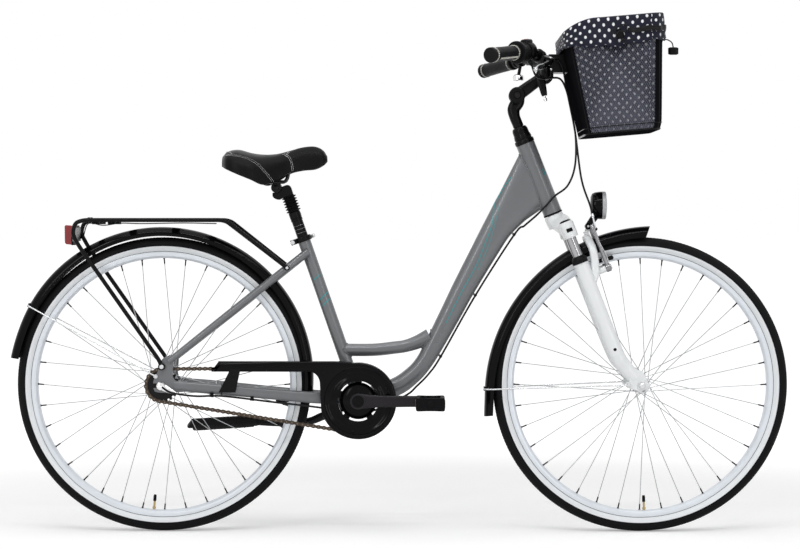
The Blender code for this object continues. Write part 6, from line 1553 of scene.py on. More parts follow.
def build_saddle():
    rows = smooth(SADDLE_ROWS, 7)
    loops = []
    for share, half, top, low in rows:
        ring = []
        for step in range(41):
            angle = pi * step / 40
            wide = abs(cos(angle)) ** 0.75 * (-1 if cos(angle) > 0 else 1)
            up = max(sin(angle), 0) ** 0.62
            # A shallow channel down the middle, and padding that swells beside it.
            dent = (0.0030 * max(0, 1 - (wide * half / 0.010) ** 2)
                    * max(0, min(1, (share - 0.12) * 5)) * max(0, min(1, (0.93 - share) * 8)))
            ring.append((wide * half, low + (top - low) * up - dent))
        lift = saddle_lift(top, low)
        under = ((0.97, -0.02), (0.90, 0.0), (0.87, 0.4), *HOLLOW)
        for across, up in under + tuple((-a, h) for a, h in under[-2::-1]):
            ring.append((half * across, low + lift * up))
        loops.append([SADDLE_BACK + Vector((SADDLE_LENGTH * share, y, z)) for y, z in ring])
    cover = stacked(loops)
    tree = tree_of(cover)

    thread, creases = [], []
    lines = (
        [(226.5, 155.2), (235, 155.6), (245, 157.6), (252, 160.4), (258, 164.2), (263, 169), (268, 175),
         (271.5, 179.5), (274, 183.5)],
        [(282.5, 153.4), (287.5, 156), (290.2, 160.2), (291.6, 165), (292.2, 171)],
    )
    for line in lines:
        line = curve([from_pixel(x, z, -0.06) for x, z in line], 10)
        for side in (-1, 1):
            for apart in (-0.0016, 0.0016, 0.0):
                # Rays from the side find the seam on the cover.
                rays = [tree.ray_cast(Vector((p.x + apart, side * 0.3, p.z + apart * 0.6)), LEFT * -side,
                                      0.4)[:2]
                        for p in line]
                hits = [(hit, normal) for hit, normal in rays if hit is not None]
                if len(hits) > 4 and apart:
                    thread += stitches([hit for hit, _ in hits], tree)
                elif len(hits) > 4:
                    creases.append(sweep([hit - normal * 0.0001 for hit, normal in hits], 0.0007, 8, UP))
    # The seam also crosses the top between the two side lines, front and rear.
    for x_px in (286.0, 234.0):
        x = from_pixel(x_px, 150, -0.03).x
        half = saddle_row(min(max((x - SADDLE_BACK.x) / SADDLE_LENGTH, 0.01), 0.99))[0]
        line = []
        for k in range(41):
            y = -1 + k / 20
            bow = -0.018 * (1 - y ** 2) * (1 if x_px < 260 else -0.5)
            hit = tree.ray_cast(Vector((x + bow, y * half * 0.80, SADDLE_BACK.z + 0.2)), -UP, 0.4)[0]
            if hit is not None:
                line.append(hit)
        for apart in (-0.0016, 0.0016):
            thread += stitches([p + FORE * apart for p in line], tree)
    obj = piece("saddle_cover_skin", "saddle", [("saddle skin", cover)], "saddle_cover",
                sharp=60)
    piece("saddle_stitches", "saddle", [("white thread", *thread), ("saddle skin", *creases)],
          "saddle_cover")
    # Base shell, its glossy rear strip and bumper, and the rails.
    columns = [k / 10 for k in range(-8, 9)]
    loops = []
    for step in range(37):
        share = 0.05 + 0.91 * step / 36
        under = [saddle_under(share, across) for across in columns]
        loops.append(under + [spot + UP * 0.0028 for spot in reversed(under)])
    base = stacked(loops)
    strip = []
    for step in range(41):
        y = -1 + step / 20
        share = 0.012 + 0.11 * abs(y) ** 3
        half, _, low = saddle_row(share)
        strip.append(SADDLE_BACK + Vector((SADDLE_LENGTH * share + 0.0015, half * 0.93 * y, low + 0.0015)))
    rim = sweep(strip, (0.0026, 0.0020), 12, UP)
    piece("saddle_shell", "saddle", [("satin black", base)], "saddle_base")
    piece("saddle_strip", "saddle", [("gloss black", rim)], "saddle_base")
    bolt = saddle_pivot()
    cheek = [(0.0049, 0.0050), (0.0115, 0.0050), (0.0123, 0.0058), (0.0123, 0.0210), (0.0112, 0.0220),
             (0.0049, 0.0220)]
    cheeks = [turned(cheek, bolt, LEFT * y, 40, UP) for y in (-1, 1)]
    plate_top = block(bolt + UP * 0.0135, (0.0170, 0.0250, 0.0042))
    nuts = [turned([(0, 0.0218), (0.0068, 0.0218), (0.0068, 0.0262), (0.0040, 0.0275), (0, 0.0275)], bolt,
                   LEFT * y, 6, UP) for y in (-1, 1)]
    drop = UP * (GAP + RAIL_RADIUS + 0.0002)
    rail = [
        saddle_under(0.06, -0.55) - drop, saddle_under(0.12, -0.50) - drop - UP * 0.003,
        bolt + Vector((-0.0440, -0.0270, 0.0190)), bolt + Vector((-0.018, -0.0225, 0.0150)),
        bolt + Vector((0.020, -0.0220, 0.0150)),
        saddle_under(0.64, -0.28) - drop - UP * 0.004, saddle_under(0.70, -0.10) - drop - UP * 0.0010,
    ]
    line = curve(rail, 8)
    rails = sweep(line + flip(line)[::-1], RAIL_RADIUS, 16)
    piece("saddle_cheeks", "saddle", [("black steel", plate_top, *cheeks, *nuts)],
          "saddle_clamp", 0.0009)
    piece("saddle_rails", "saddle", [("dark alloy", rails)], "saddle_clamp")


# Fork, brake and front light

def arch_height():
    centre, radius = front_mudguard_circle()
    return (centre - on_steer(0)).dot(STEER_UP) + radius + GAP + 0.0060


def light_pivot():
    return on_steer(arch_height() + 0.0235, 0.0665)


def noodle_top():
    return on_steer(BRAKE_STUD + 0.131, BRAKE_STUD_FORE + 0.0115, -BRAKE_STUD_Y - 0.0020)


def noodle_way():
    return unit(STEER_UP * 0.009 + STEER_FORE * 0.002 + LEFT * 0.0055)


def build_fork():
    crown = HEAD_LOW - 0.0025
    half = [(-0.050, 0.0165, -STANCHION_Y), (-0.043, 0.0165, -0.048), (-0.029, 0.0120, -0.030),
            (-0.0190, 0.006, 0.0)]
    sizes = [(0.0176, 0.0176), (0.0178, 0.0170), (0.0220, 0.0165), (0.0245, 0.0170)]
    path = [on_steer(crown + t, o, y) for t, o, y in half]
    path += flip(path[:-1])[::-1]
    body = sweep(path, sizes + sizes[-2::-1], 40, STEER_FORE, 0.9, steps=8)
    race = turned([(0.0150, -0.030), (0.0225, -0.030), (0.0236, -0.006), (0.0225, -0.0012), (0.0216, 0.0),
                   (0.0150, 0.0)], on_steer(crown), STEER_UP, 48, LEFT)
    shapes, rods, dark = [body, race], [], []
    for y in (-STANCHION_Y, STANCHION_Y):
        foot = on_steer(crown, 0.0165, y)
        profile = [(0.0128, -0.0625), (0.0168, -0.0635), (0.0178, -0.0628), (0.0181, -0.0610),
                   (0.0181, -0.0300),
                   (0.0172, -0.0262), (0.0150, -0.0243), (0.0110, -0.0240), (0, -0.0240), (0, -0.050)]
        shapes.append(turned(profile, foot, STEER_UP, 48, LEFT))
        dark.append(turned([(0, -0.0200), (0.0080, -0.0202), (0.0118, -0.0214), (0.0138, -0.0236),
                            (0.0142, -0.0252), (0, -0.0252)], foot, STEER_UP, 40, LEFT))
        low, high = on_steer(0.180, STANCHION_OFFSET, y), on_steer(crown - 0.030, STANCHION_OFFSET, y)
        rods.append(rod(low, high, STANCHION_RADIUS, 40, STEER_FORE))
        # A plain dark badge on the leg's outer face.
        mark = on_steer(crown - 0.0450, 0.0185, y * (1 + 0.0176 / STANCHION_Y))
        dark.append(block(mark, (0.0072, 0.0014, 0.0042), STEER_FORE, LEFT, STEER_UP))
    steerer = turned(band(QUILL_RADIUS + GAP, STEERER_RADIUS, -0.030, HEAD_HIGH + 0.028 - crown),
                     on_steer(crown), STEER_UP, 40, LEFT)
    piece("fork_crown_body", "steering", [("white paint", *shapes), ("satin black", *dark),
                                                        ("silver", steerer)], "fork_crown")
    piece("fork_stanchions", "steering", [("stanchion", *rods)], "fork_crown")
    # Lower legs, arch and dropouts.
    top = WHEEL_RADIUS - 0.0155
    spots = [(t, STANCHION_OFFSET) for t in (top, top - 0.004, top - 0.012, top - 0.018, top - 0.040, 0.100)]
    spots += [(0.055, 0.0235), (0.018, 0.0350)]
    sizes = [(0.0150, 0.0150), (0.0166, 0.0172), (0.0168, 0.0176), (0.0172, 0.0185), (0.0166, 0.0182),
             (0.0160, 0.0180), (0.0115, 0.0172), (0.0075, 0.0150)]
    leg = sweep([on_steer(t, o, -STANCHION_Y) for t, o in spots], sizes, 40, square=0.9, steps=6)
    arch = arch_height()
    half = [(0.262, 0.018, -0.0560), (0.290, 0.040, -0.0550), (arch - 0.036, 0.0535, -0.0450),
            (arch - 0.008, 0.0540, -0.0270), (arch, 0.0530, -0.0160)]
    path = [on_steer(*spot) for spot in half]
    path += flip(path)[::-1]
    bridge = sweep(path, (0.0095, 0.0060), 24, STEER_FORE, 0.8, steps=6)
    knuckle = light_pivot()
    shapes = [leg, mirrored(leg), bridge]
    shapes += [pin(knuckle, LEFT, 0.0078, -0.0058, 0.0058),
               rod(on_steer(arch + 0.007, 0.055), knuckle, 0.0050, 20)]
    shapes.append(block(on_steer(arch + 0.006, 0.057), (0.006, 0.0056, 0.009), STEER_FORE, LEFT, STEER_UP))
    steel, plugs, plates = [cross_rod(knuckle, 0.0135, 0.0025, 16)], [], []
    slot = [(-0.0048, -0.04), (0.0048, -0.04)] + arc(0.0048, 0, 180, 12)
    for side in (-1, 1):
        stud = BRAKE_STUD_Y * side
        shapes.append(rod(on_steer(BRAKE_STUD, 0.012, stud), on_steer(BRAKE_STUD, 0.066, stud), 0.0080, 28))
        steel.append(rod(on_steer(BRAKE_STUD, 0.060, stud), on_steer(BRAKE_STUD, 0.0805, stud), 0.0040, 20))
        steel.append(pin(on_steer(BRAKE_STUD, 0.0790, stud), STEER_FORE, 0.0060, -0.0002, 0.0028))
        outline = arc(0.0160, 200, 350, 20)
        outline += [(0.0150, 0.030), (-0.0100, 0.052), (-0.0220, 0.050), (-0.0200, 0.0260)]
        outline += arc(0.0075, 60, 215, 12, (-0.0281, 0.0133))
        plates.append(beside(outline, side, HUB_SPACE_FRONT, HUB_SPACE_FRONT + 0.0150, FRONT, STEER_FORE,
                             STEER_UP))
        seal = on_steer(top, STANCHION_OFFSET, side * STANCHION_Y)
        bore = STANCHION_RADIUS + 0.0002
        rings = [(bore, -0.0125), (0.0188, -0.0125), (0.0190, -0.0105), (0.0188, -0.0022), (0.0166, 0.0010),
                 (0.0148, 0.0034), (0.0134, 0.0052), (bore, 0.0056)]
        plugs.append(turned(rings, seal, STEER_UP, 48, LEFT))
        plugs.append(pin(on_steer(0.104, STANCHION_OFFSET, side * (STANCHION_Y + 0.0150)), LEFT * side,
                         0.0040, -0.002, 0.0016))
    piece("fork_legs", "fork_lowers", [("white paint", *shapes), ("silver", *steel)],
          "fork_lowers")
    cutters = [plate(slot, -0.09, 0.09, FRONT, STEER_FORE, STEER_UP)]
    piece("fork_dropouts", "fork_lowers", [("white paint", *plates)], "fork_lowers", 0.0012,
          cuts=cutters)
    piece("fork_seals", "fork_lowers", [("rubber", *plugs)], "fork_lowers")
    r, near, far = 0.0045, HUB_SPACE_FRONT - GAP, HUB_SPACE_FRONT + 0.0150 + GAP
    parts = [turned([(0, -far - 0.0150), (r, -far - 0.0148), (r, far + 0.0148), (0, far + 0.0150)], FRONT,
                    LEFT, 24)]
    for y in (-1, 1):
        parts.append(turned([(r, far), (0.0112, far), (0.0112, far + 0.0016), (0.0100, far + 0.0018),
                             (r, far + 0.0018)], FRONT, LEFT * y, 40))
        parts.append(turned([(r, far + 0.0016), (0.0092, far + 0.0016), (0.0092, far + 0.0090),
                (0.0070, far + 0.0110), (0.0040, far + 0.0122), (0, far + 0.0125)], FRONT, LEFT * y, 6))
        parts.append(turned(band(r, 0.0082, near, near - 0.0075), FRONT, LEFT * y, 6))
    piece("front_axle_parts", "fork_lowers", [("silver", *parts)], "front_axle", 0.0004)


def build_brakes():
    for name, side in (("brake_arm_right", -1), ("brake_arm_left", 1)):
        stud = on_steer(BRAKE_STUD, BRAKE_STUD_FORE, BRAKE_STUD_Y * side)
        spots = [(0.0, 0.0), (0.030, 0.0045), (0.065, 0.0080), (0.095, 0.0080), (0.108, 0.0055)]
        path = [stud + STEER_UP * up + LEFT * out * side for up, out in spots]
        sizes = [(0.0070, 0.0045), (0.0068, 0.0045), (0.0062, 0.0045), (0.0060, 0.0045), (0.0048, 0.0045)]
        arm = [sweep(path, sizes, 28, square=0.7, steps=6)]
        arm.append(turned(collar(0.0046, 0.0098, -0.0060, 0.0060), stud, STEER_FORE, 40))
        reach = RIM_TOP - 0.0065
        fore = BRAKE_STUD_FORE - RAKE
        pad = FRONT + STEER_FORE * fore + STEER_UP * sqrt(reach ** 2 - fore ** 2)
        radial = unit(pad - FRONT)
        along = LEFT.cross(radial)
        middle = pad + LEFT * side * 0.0207
        outline = [(-0.0220, -0.0046), (0.0200, -0.0052), (0.0222, 0.0), (0.0200, 0.0050), (-0.0220, 0.0052)]
        shoe = plate(outline, -0.0048, 0.0015, middle, along, radial, LEFT * -side)
        holder = plate([(a * 0.9, b * 0.8) for a, b in outline], 0.0012, 0.0052, middle, along, radial,
                       LEFT * side)
        steel = [rod(pad + LEFT * side * 0.0230, pad + LEFT * side * 0.0455, 0.0030, 20),
                 turned(band(0, 0.0052, 0.0400, 0.0440), pad, LEFT * side, 6),
                 pin(pad, LEFT * side, 0.0068, 0.0262, 0.0285), pin(pad, LEFT * side, 0.0068, 0.0372, 0.0392)]
        spring = [stud + STEER_FORE * 0.0052 + STEER_UP * -0.004,
                  stud + STEER_FORE * 0.0060 + STEER_UP * 0.030 + LEFT * side * 0.0100,
                  stud + STEER_FORE * 0.0020 + STEER_UP * 0.062 + LEFT * side * 0.0138]
        steel.append(sweep(spring, 0.0008, 8, STEER_FORE, steps=6))
        rubber = [shoe]
        if side < 0:
            boot = [path[-2] + STEER_FORE * 0.0060 + LEFT * 0.002,
                    path[-2] + STEER_FORE * 0.0085 + LEFT * 0.032]
            route = [noodle_top(), noodle_top() - noodle_way() * 0.0110]
            for up, off, out in ((0.111, 0.0075, 0.0090), (0.101, 0.0060, 0.0060)):
                route.append(stud + STEER_UP * up + STEER_FORE * off - LEFT * out)
            route.append(boot[0] + LEFT * 0.004)
            steel.append(sweep(rounded(route, 0.007), 0.0022, 20, STEER_FORE))
            ferrule = [(0, -0.0085), (0.0026, -0.0085), (0.0033, -0.0070), (0.0033, 0.0), (0.0024, 0.0),
                       (0, 0.0)]
            steel.append(turned(ferrule, noodle_top(), noodle_way(), 24, FORE))
            run = boot[1] - boot[0]
            ribs = [(r, run.length * (k + share) / 8) for k in range(8)
                    for r, share in ((0.0027, 0.1), (0.0037, 0.5), (0.0027, 0.9))]
            rubber.append(turned([(0, 0.0), *ribs, (0, run.length)], boot[0], run, 20))
        else:
            end = path[-2] + STEER_FORE * 0.0045
            steel.append(turned(band(0, 0.0042, -0.004, 0.0050), end, STEER_FORE, 6))
            steel.append(rod(end + STEER_FORE * 0.0025, end + STEER_FORE * 0.0025 - LEFT * 0.0400, 0.0009,
                             10))
        piece(name + "_lever", name, [("brake alloy", *arm), ("silver", *steel),
                                                     ("rubber", *rubber, holder)], name, 0.0004)
    # Headlight: a black shell with a bright reflector behind a clear lens.
    pivot = light_pivot()
    centre = pivot + Vector((0.0245, 0, 0.0495))
    shell = [(0, -0.0190), (0.0120, -0.0190), (0.0215, -0.0180), (0.0280, -0.0150), (0.0312, -0.0085),
             (0.0326, 0.0010), (0.0330, 0.0050),
             (0.0330, 0.0085), (0.0318, 0.0090), (0.0300, 0.0060), (0.0230, -0.0060), (0.0110, -0.0130),
             (0, -0.0145)]
    bowl = [(0.0302, 0.0066), (0.0250, -0.0020), (0.0180, -0.0086), (0.0100, -0.0122), (0.0042, -0.0135),
            (0.0042, -0.0050), (0, -0.0040),
            (0, -0.0150), (0.0110, -0.0134), (0.0232, -0.0064), (0.0304, 0.0060)]
    ring = [(0.0330, 0.0084), (0.0332, 0.0120), (0.0328, 0.0165), (0.0300, 0.0180), (0.0288, 0.0172),
            (0.0292, 0.0120), (0.0310, 0.0084)]
    glass = [(0.0306, 0.0080), (0.0308, 0.0150), (0.0285, 0.0174), (0.0210, 0.0192), (0.0110, 0.0202),
             (0, 0.0205), (0, 0.0188),
             (0.0110, 0.0185), (0.0205, 0.0176), (0.0275, 0.0158), (0.0290, 0.0142), (0.0290, 0.0080)]
    parts, yoke = [turned(shell, centre, FORE, 64)], []
    for y in (-1, 1):
        parts.append(pin(pivot, LEFT * y, 0.0078, 0.0062, 0.0105))
        outline = [(-0.004, 0.0066), (0.0065, -0.0035), (0.0270, 0.0230), (0.0170, 0.0390)]
        yoke.append(beside(outline, y, 0.0062, 0.0105, pivot))
        parts.append(pin(pivot, LEFT * y, 0.0045, 0.0105, 0.0132))
    piece("headlight_shell", "headlight", [("gloss black", *parts),
                                                          ("chrome", turned(bowl, centre, FORE, 64)),
                                                          ("light grey", turned(ring, centre, FORE, 64))],
          "headlight")
    piece("headlight_yoke", "headlight", [("satin black", *yoke)], "headlight", 0.0008)
    piece("headlight_lens", "headlight", [("clear lens", turned(glass, centre, FORE, 64))],
          "headlight")


# Stem, handlebar and what is on it

BAR_CENTRE = Vector((FRONT.x - 0.228, 0, on_steer(HEAD_HIGH).z + 0.161))
STEM_KNUCKLE = on_steer(HEAD_HIGH + 0.1136, 0.0236)


def bar_point(x, y, z):
    return BAR_CENTRE + Vector((x, y, z))


BAR_BEND = bar_point(-0.041, -0.152, 0.0485)
BAR_END = bar_point(-0.136, -BAR_HALF_WIDTH, 0.0295)
GRIP_WAY = unit(BAR_END - BAR_BEND)
GRIP_LONG = (BAR_END - BAR_BEND).length


def bar_half():
    return [
        bar_point(0, -0.0420, 0), bar_point(-0.0005, -0.0520, 0.0030), bar_point(-0.0030, -0.0880, 0.0250),
        bar_point(-0.0055, -0.1000, 0.0320), bar_point(-0.0330, -0.1400, 0.0470), BAR_BEND, BAR_END,
    ]


def on_grip(far, side=-1):
    spot = BAR_BEND + GRIP_WAY * far
    return Vector((spot.x, spot.y * -side, spot.z))


def perch_place():
    start, end = bar_half()[3], bar_half()[4]
    ahead = Vector((0.95, 0, -0.31))
    return start.lerp(end, 0.45), unit(end - start), unit(ahead - GRIP_WAY * ahead.dot(GRIP_WAY))


def build_stem():
    head = HEAD_HIGH + 0.0420
    profile = [(0, 0.520 - head), (QUILL_RADIUS, 0.520 - head), (QUILL_RADIUS, 0.0010),
               (BAR_CENTRE_RADIUS - 0.0006, 0.0008), (BAR_CENTRE_RADIUS, 0.0016),
               (BAR_CENTRE_RADIUS, 0.030), (0, 0.030)]
    quill = turned(profile, on_steer(head), STEER_UP, 48, LEFT)
    path = [on_steer(head + 0.012), on_steer(head + 0.026), on_steer(head + 0.044, 0.0045),
            STEM_KNUCKLE - STEER_UP * 0.014 - STEER_FORE * 0.004,
            STEM_KNUCKLE, STEM_KNUCKLE + STEER_UP * 0.0135 + STEER_FORE * 0.001]
    sizes = [(0.0127, 0.0127), (0.0128, 0.0130), (0.0105, 0.0150), (0.0074, 0.0162), (0.0070, 0.0150),
             (0.0066, 0.0060)]
    neck = sweep(path, sizes, 40, square=0.85, steps=8)
    bolt = [cross_rod(STEM_KNUCKLE, 0.0235, 0.0040, 20)]
    for y in (-1, 1):
        bolt.append(turned([(0, 0.0205), (0.0062, 0.0205), (0.0066, 0.0212), (0.0062, 0.0235),
                            (0.0034, 0.0235), (0.0030, 0.0222), (0, 0.0222)], STEM_KNUCKLE, LEFT * y, 32, UP))
    piece("stem_post", "steering", [("satin black", quill), ("dark alloy", *bolt)],
          "stem_quill")
    piece("stem_neck", "steering", [("satin black", neck)], "stem_quill")
    run = BAR_CENTRE - STEM_KNUCKLE
    along = unit(run)
    across = LEFT.cross(along)
    rows = [(0.004, 0.0150, 0.0148), (run.length * 0.3, 0.0150, 0.0150), (run.length * 0.7, 0.0138, 0.0150),
            (run.length - 0.004, 0.0135, 0.0160)]
    arm = stacked([oval(STEM_KNUCKLE + along * a, across * b, LEFT * c, 40, 0.62)
                   for a, b, c in smooth(rows, 6)])
    parts = []
    for y in (-1, 1):
        cheek = [(0.0045, 0.0080), (0.0165, 0.0080), (0.0165, 0.0090)]
        for k in range(3):
            cheek += [(0.0195, 0.0096 + k * 0.0036), (0.0195, 0.0118 + k * 0.0036),
                      (0.0186, 0.0122 + k * 0.0036)]
        cheek += [(0.0170, 0.0215), (0.0090, 0.0215), (0.0082, 0.0205), (0.0045, 0.0205)]
        parts.append(turned(cheek, STEM_KNUCKLE, LEFT * y, 56, UP))
    # Serrated rings either side of the knuckle.
    spokes = [(cos(2 * pi * k / 72), sin(2 * pi * k / 72)) for k in range(72)]
    outer = [(a * r, b * r) for (a, b), r in zip(spokes, (0.0178, 0.0196) * 36)]
    inner = [(a * 0.0060, b * 0.0060) for a, b in spokes]
    teeth = [washer(outer, inner, y - 0.0010, y + 0.0010, STEM_KNUCKLE) for y in (-0.0083, 0.0083)]
    clamp = [(BAR_CENTRE_RADIUS + GAP, -0.0235), (0.0195, -0.0235), (0.0205, -0.0225), (0.0205, -0.0010),
             (0.0198, -0.0006), (0.0198, 0.0006),
             (0.0205, 0.0010), (0.0205, 0.0225), (0.0195, 0.0235), (BAR_CENTRE_RADIUS + GAP, 0.0235)]
    parts.append(turned(clamp, BAR_CENTRE, LEFT, 64, UP))
    bolts = [pin(BAR_CENTRE + LEFT * y, unit(-across), 0.0042, 0.0150, 0.0212) for y in (-0.014, 0.014)]
    piece("stem_arm", "handlebar", [("satin black", arm, *parts, *bolts),
                                                   ("dark alloy", *teeth)], "stem_extension")


def build_bar():
    half = bar_half()
    path = rounded(flip(half)[::-1] + half, 0.030, 8)
    sizes = [BAR_CENTRE_RADIUS if abs(p.y) < 0.0460 else (BAR_RADIUS if abs(p.y) > 0.056 else 0.0119)
             for p in path]
    piece("bar_tube", "handlebar", [("satin black", sweep(path, sizes, 40, UP, upright=True))],
          "handlebar_bar")
    for name, side, start in (("grip_right", -1, TWIST_END + 0.0006), ("grip_left", 1, 0.0450)):
        way = Vector((GRIP_WAY.x, GRIP_WAY.y * -side, GRIP_WAY.z))
        inner, outer, end = BAR_RADIUS + GAP, GRIP_RADIUS, GRIP_LONG
        profile = [(inner, start), (outer + 0.0004, start), (outer + 0.0010, start + 0.0006),
                   (outer + 0.0010, start + 0.0070),
                   (outer, start + 0.0090), (outer - 0.0008, start + 0.0110), (outer - 0.0002, start + 0.030),
                   (outer - 0.0006, (start + end) / 2),
                   (outer - 0.0002, end - 0.030), (outer - 0.0008, end - 0.010), (outer, end - 0.0075),
                   (outer + 0.0006, end - 0.005),
                   (outer + 0.0006, end + 0.0020), (outer - 0.0004, end + 0.0036),
                   (outer - 0.0020, end + 0.0040), (0, end + 0.0040), (0, end + GAP), (inner, end + GAP)]
        shape = turned(profile, on_grip(0, side), way, 56)
        thread = []
        first = unit(UP - way * way.z)
        second = way.cross(first)

        def skin(far, angle, radius):
            return on_grip(0, side) + way * far + (first * cos(angle) + second * sin(angle)) * radius

        # Cross stitches round both ends and a zigzag along the under side.
        low = -2.2 if side < 0 else 2.2
        crosses = [(far, 2 * pi * k / 26, 0.0022, 0.075) for far in (start + 0.0105, end - 0.0110)
                   for k in range(26)]
        crosses += [(start + 0.017 + k * 0.0042, low, 0.0018, 0.13)
                    for k in range(int((end - start - 0.034) / 0.0042))]
        for far, angle, along, around in crosses:
            for turn in (-1, 1):
                ends = [skin(far + s * along, angle + s * turn * around, outer - 0.0006) for s in (-1, 1)]
                top = skin(far, angle, outer + 0.0006)
                thread.append(sweep([ends[0], top, ends[1]], 0.00062, 6, way, steps=3))
        seam = [skin(start + 0.012 + (end - start - 0.024) * k / 30, low, outer - 0.0004) for k in range(31)]
        piece(name + "_sleeve", "handlebar",
              [("grip rubber", shape, sweep(seam, 0.0006, 8, first)), ("cream thread", *thread)], name)
        if side > 0:
            ring = turned([(inner, start - 0.0160), (0.0150, start - 0.0160), (0.0158, start - 0.0150),
                           (0.0158, start - 0.0100), (0.0150, start - 0.0092), (inner, start - 0.0092)],
                           on_grip(0, side), way, 40)
            piece("grip_left_ring", "handlebar", [("satin black", ring)], "grip_left")


def build_shifter():
    way, base = GRIP_WAY, BAR_BEND
    bore = BAR_RADIUS + GAP
    profile = [(bore, 0.0000), (0.0175, 0.0000), (0.0195, 0.0008), (0.0222, 0.0034), (0.0230, 0.0062),
               (0.0230, TWIST_START - 0.0022), (0.0222, TWIST_START - 0.0008),
               (0.0205, TWIST_START - 0.0004), (bore, TWIST_START - 0.0004)]
    shell = turned(profile, base, way, 56)
    rise = unit(UP - way * way.z)
    window = on_grip(0.0132) + rise * 0.0205
    cover = stacked([oval(window + rise * h, way * a, way.cross(rise) * b, 32, 0.5) for h, a, b in
                     ((-0.0090, 0.0124, 0.0130), (0.0030, 0.0120, 0.0124), (0.0060, 0.0108, 0.0108),
                      (0.0074, 0.0078, 0.0078))])
    red = stacked([oval(window + rise * h + way * 0.001, way * a, way.cross(rise) * b, 24, 0.4)
                   for h, a, b in ((0.0060, 0.0074, 0.0030), (0.0081, 0.0072, 0.0028))])
    entry = on_grip(0.0150) - rise * 0.0130
    run = shift_cable_points()[0] - entry
    spout = turned([(0, 0), (0.0054, 0), (0.0050, run.length * 0.55), (0.0042, run.length * 0.75),
                    (0.0042, run.length - 0.0016), (0.0034, run.length - 0.0012), (0, run.length - 0.0012)],
                    entry, unit(run), 32, way)
    screw = pin(on_grip(0.0090) + unit(way.cross(rise)) * 0.0200, way.cross(rise), 0.0030, -0.002, 0.0012)
    piece("shifter_shell", "handlebar",
          [("satin black", shell, cover, spout), ("red plastic", red), ("silver", screw)], "shifter_housing")
    inner = (BAR_RADIUS + RUN) / cos(pi / ROUND)
    rows = [(inner, TWIST_START), (0.0195, TWIST_START), (0.0206, TWIST_START + 0.0010), (0.0204, 0.0400),
            (0.0218, 0.0465), (0.0246, 0.0530), (0.0258, 0.0565), (0.0260, TWIST_END - 0.0016),
            (0.0248, TWIST_END), (inner, TWIST_END)]
    body = turned(rows, base, way, 72)
    ribs = []
    for k in range(28):
        a = 2 * pi * k / 28
        spoke = rise * cos(a) + way.cross(rise) * sin(a)
        line = [base + way * far + spoke * (r - 0.0004)
                for far, r in ((0.0290, 0.0207), (0.0400, 0.0204), (0.0465, 0.0218), (0.0530, 0.0245))]
        ribs.append(sweep(line, (0.0012, 0.0012), 10, way.cross(spoke), steps=4))
    piece("shifter_grip", "shifter_twist", [("rubber", body, *ribs)], "shifter_twist")


def build_lever():
    spot, way, ahead = perch_place()
    axis = unit(GRIP_WAY.cross(ahead))
    pivot = spot + ahead * 0.0300
    inner = BAR_RADIUS + GAP
    ring = turned(collar(inner, 0.0160, -0.0075, 0.0075), spot, way, 48)
    outline = [(0.0135, 0.0100), (0.0370, 0.0090)]
    outline += arc(0.0075, 60, -90, 10, (0.0300, 0)) + [(0.0135, -0.0140)]
    second = unit(axis.cross(ahead))
    body = plate(outline, -0.0085, 0.0085, spot, ahead, second, axis)
    slot = [(0.0205, -0.0300), (0.0450, -0.0300), (0.0450, 0.0300), (0.0205, 0.0130)]
    cutters = [plate(slot, -0.0046, 0.0046, spot, ahead, second, axis),
               rod(spot - way * 0.02, spot + way * 0.02, inner + 0.001, 32, UP)]
    bolt = [pin(pivot, axis, 0.0040, -0.0100, 0.0100),
            rod(pivot - axis * 0.0092, pivot + axis * 0.0092, 0.0025, 16, ahead)]
    start = brake_cable_points()[0]
    barrel = turned([(0, -0.0130), (0.0034, -0.0130), (0.0040, -0.0120), (0.0040, -0.0020), (0.0030, 0.0),
                     (0, 0.0)], start, unit(brake_cable_points()[1] - start), 24, UP)
    hang, tip = bar_point(-0.0120, -0.0470, -0.0050), bar_point(-0.0020, -0.0520, -0.0500)
    way_down = unit(tip - hang)
    boot = sweep([hang, hang.lerp(tip, 0.35), hang.lerp(tip, 0.80), tip],
            [(0.0040, 0.0086), (0.0050, 0.0092), (0.0046, 0.0078), (0.0040, 0.0064)], 32, LEFT, 0.7, steps=6)
    hold = turned([(inner, -0.0050), (0.0146, -0.0050), (0.0152, -0.0042), (0.0152, 0.0042), (0.0146, 0.0050),
                   (inner, 0.0050)],
                  bar_point(-0.0002, -0.0478, 0.0016), unit((-0.0005, -0.010, 0.0030)), 40, UP)
    barrel_end = turned([(0, -0.002), (0.0022, -0.001), (0.0022, 0.0050), (0.0036, 0.0064), (0.0042, 0.0094),
                         (0.0036, 0.0120), (0.0020, 0.0134), (0, 0.0136)], tip, way_down, 28, LEFT)
    piece("bar_boot", "handlebar", [("satin black", boot, hold), ("chrome", barrel_end)])
    piece("lever_perch", "handlebar", [("satin black", body)], "brake_perch", 0.0012,
          cuts=cutters)
    piece("lever_clamp", "handlebar", [("satin black", ring), ("silver", *bolt, barrel)],
          "brake_perch")
    line = [(-0.008, 0.000), (0.012, 0.0030), (0.035, 0.0130), (0.065, 0.0205), (0.095, 0.0250),
            (0.117, 0.0320)]
    path = [pivot + GRIP_WAY * far + ahead * off for far, off in line]
    sizes = [(0.0040, 0.0056), (0.0041, 0.0058), (0.0060, 0.0042), (0.0068, 0.0036), (0.0068, 0.0036),
             (0.0056, 0.0044)]
    blade = sweep(path, sizes, 32, axis, 0.8, steps=8)
    knob = ball(path[-1], 0.0050, (1, 1, 1))
    near = sweep(path[:4], [(0.0050, 0.0066), (0.0052, 0.0068), (0.0070, 0.0054), (0.0072, 0.0042)], 32, axis,
                 0.8, steps=8)
    piece("lever_blade", "brake_lever", [("silver", blade, knob), ("satin black", near)],
          "brake_lever")


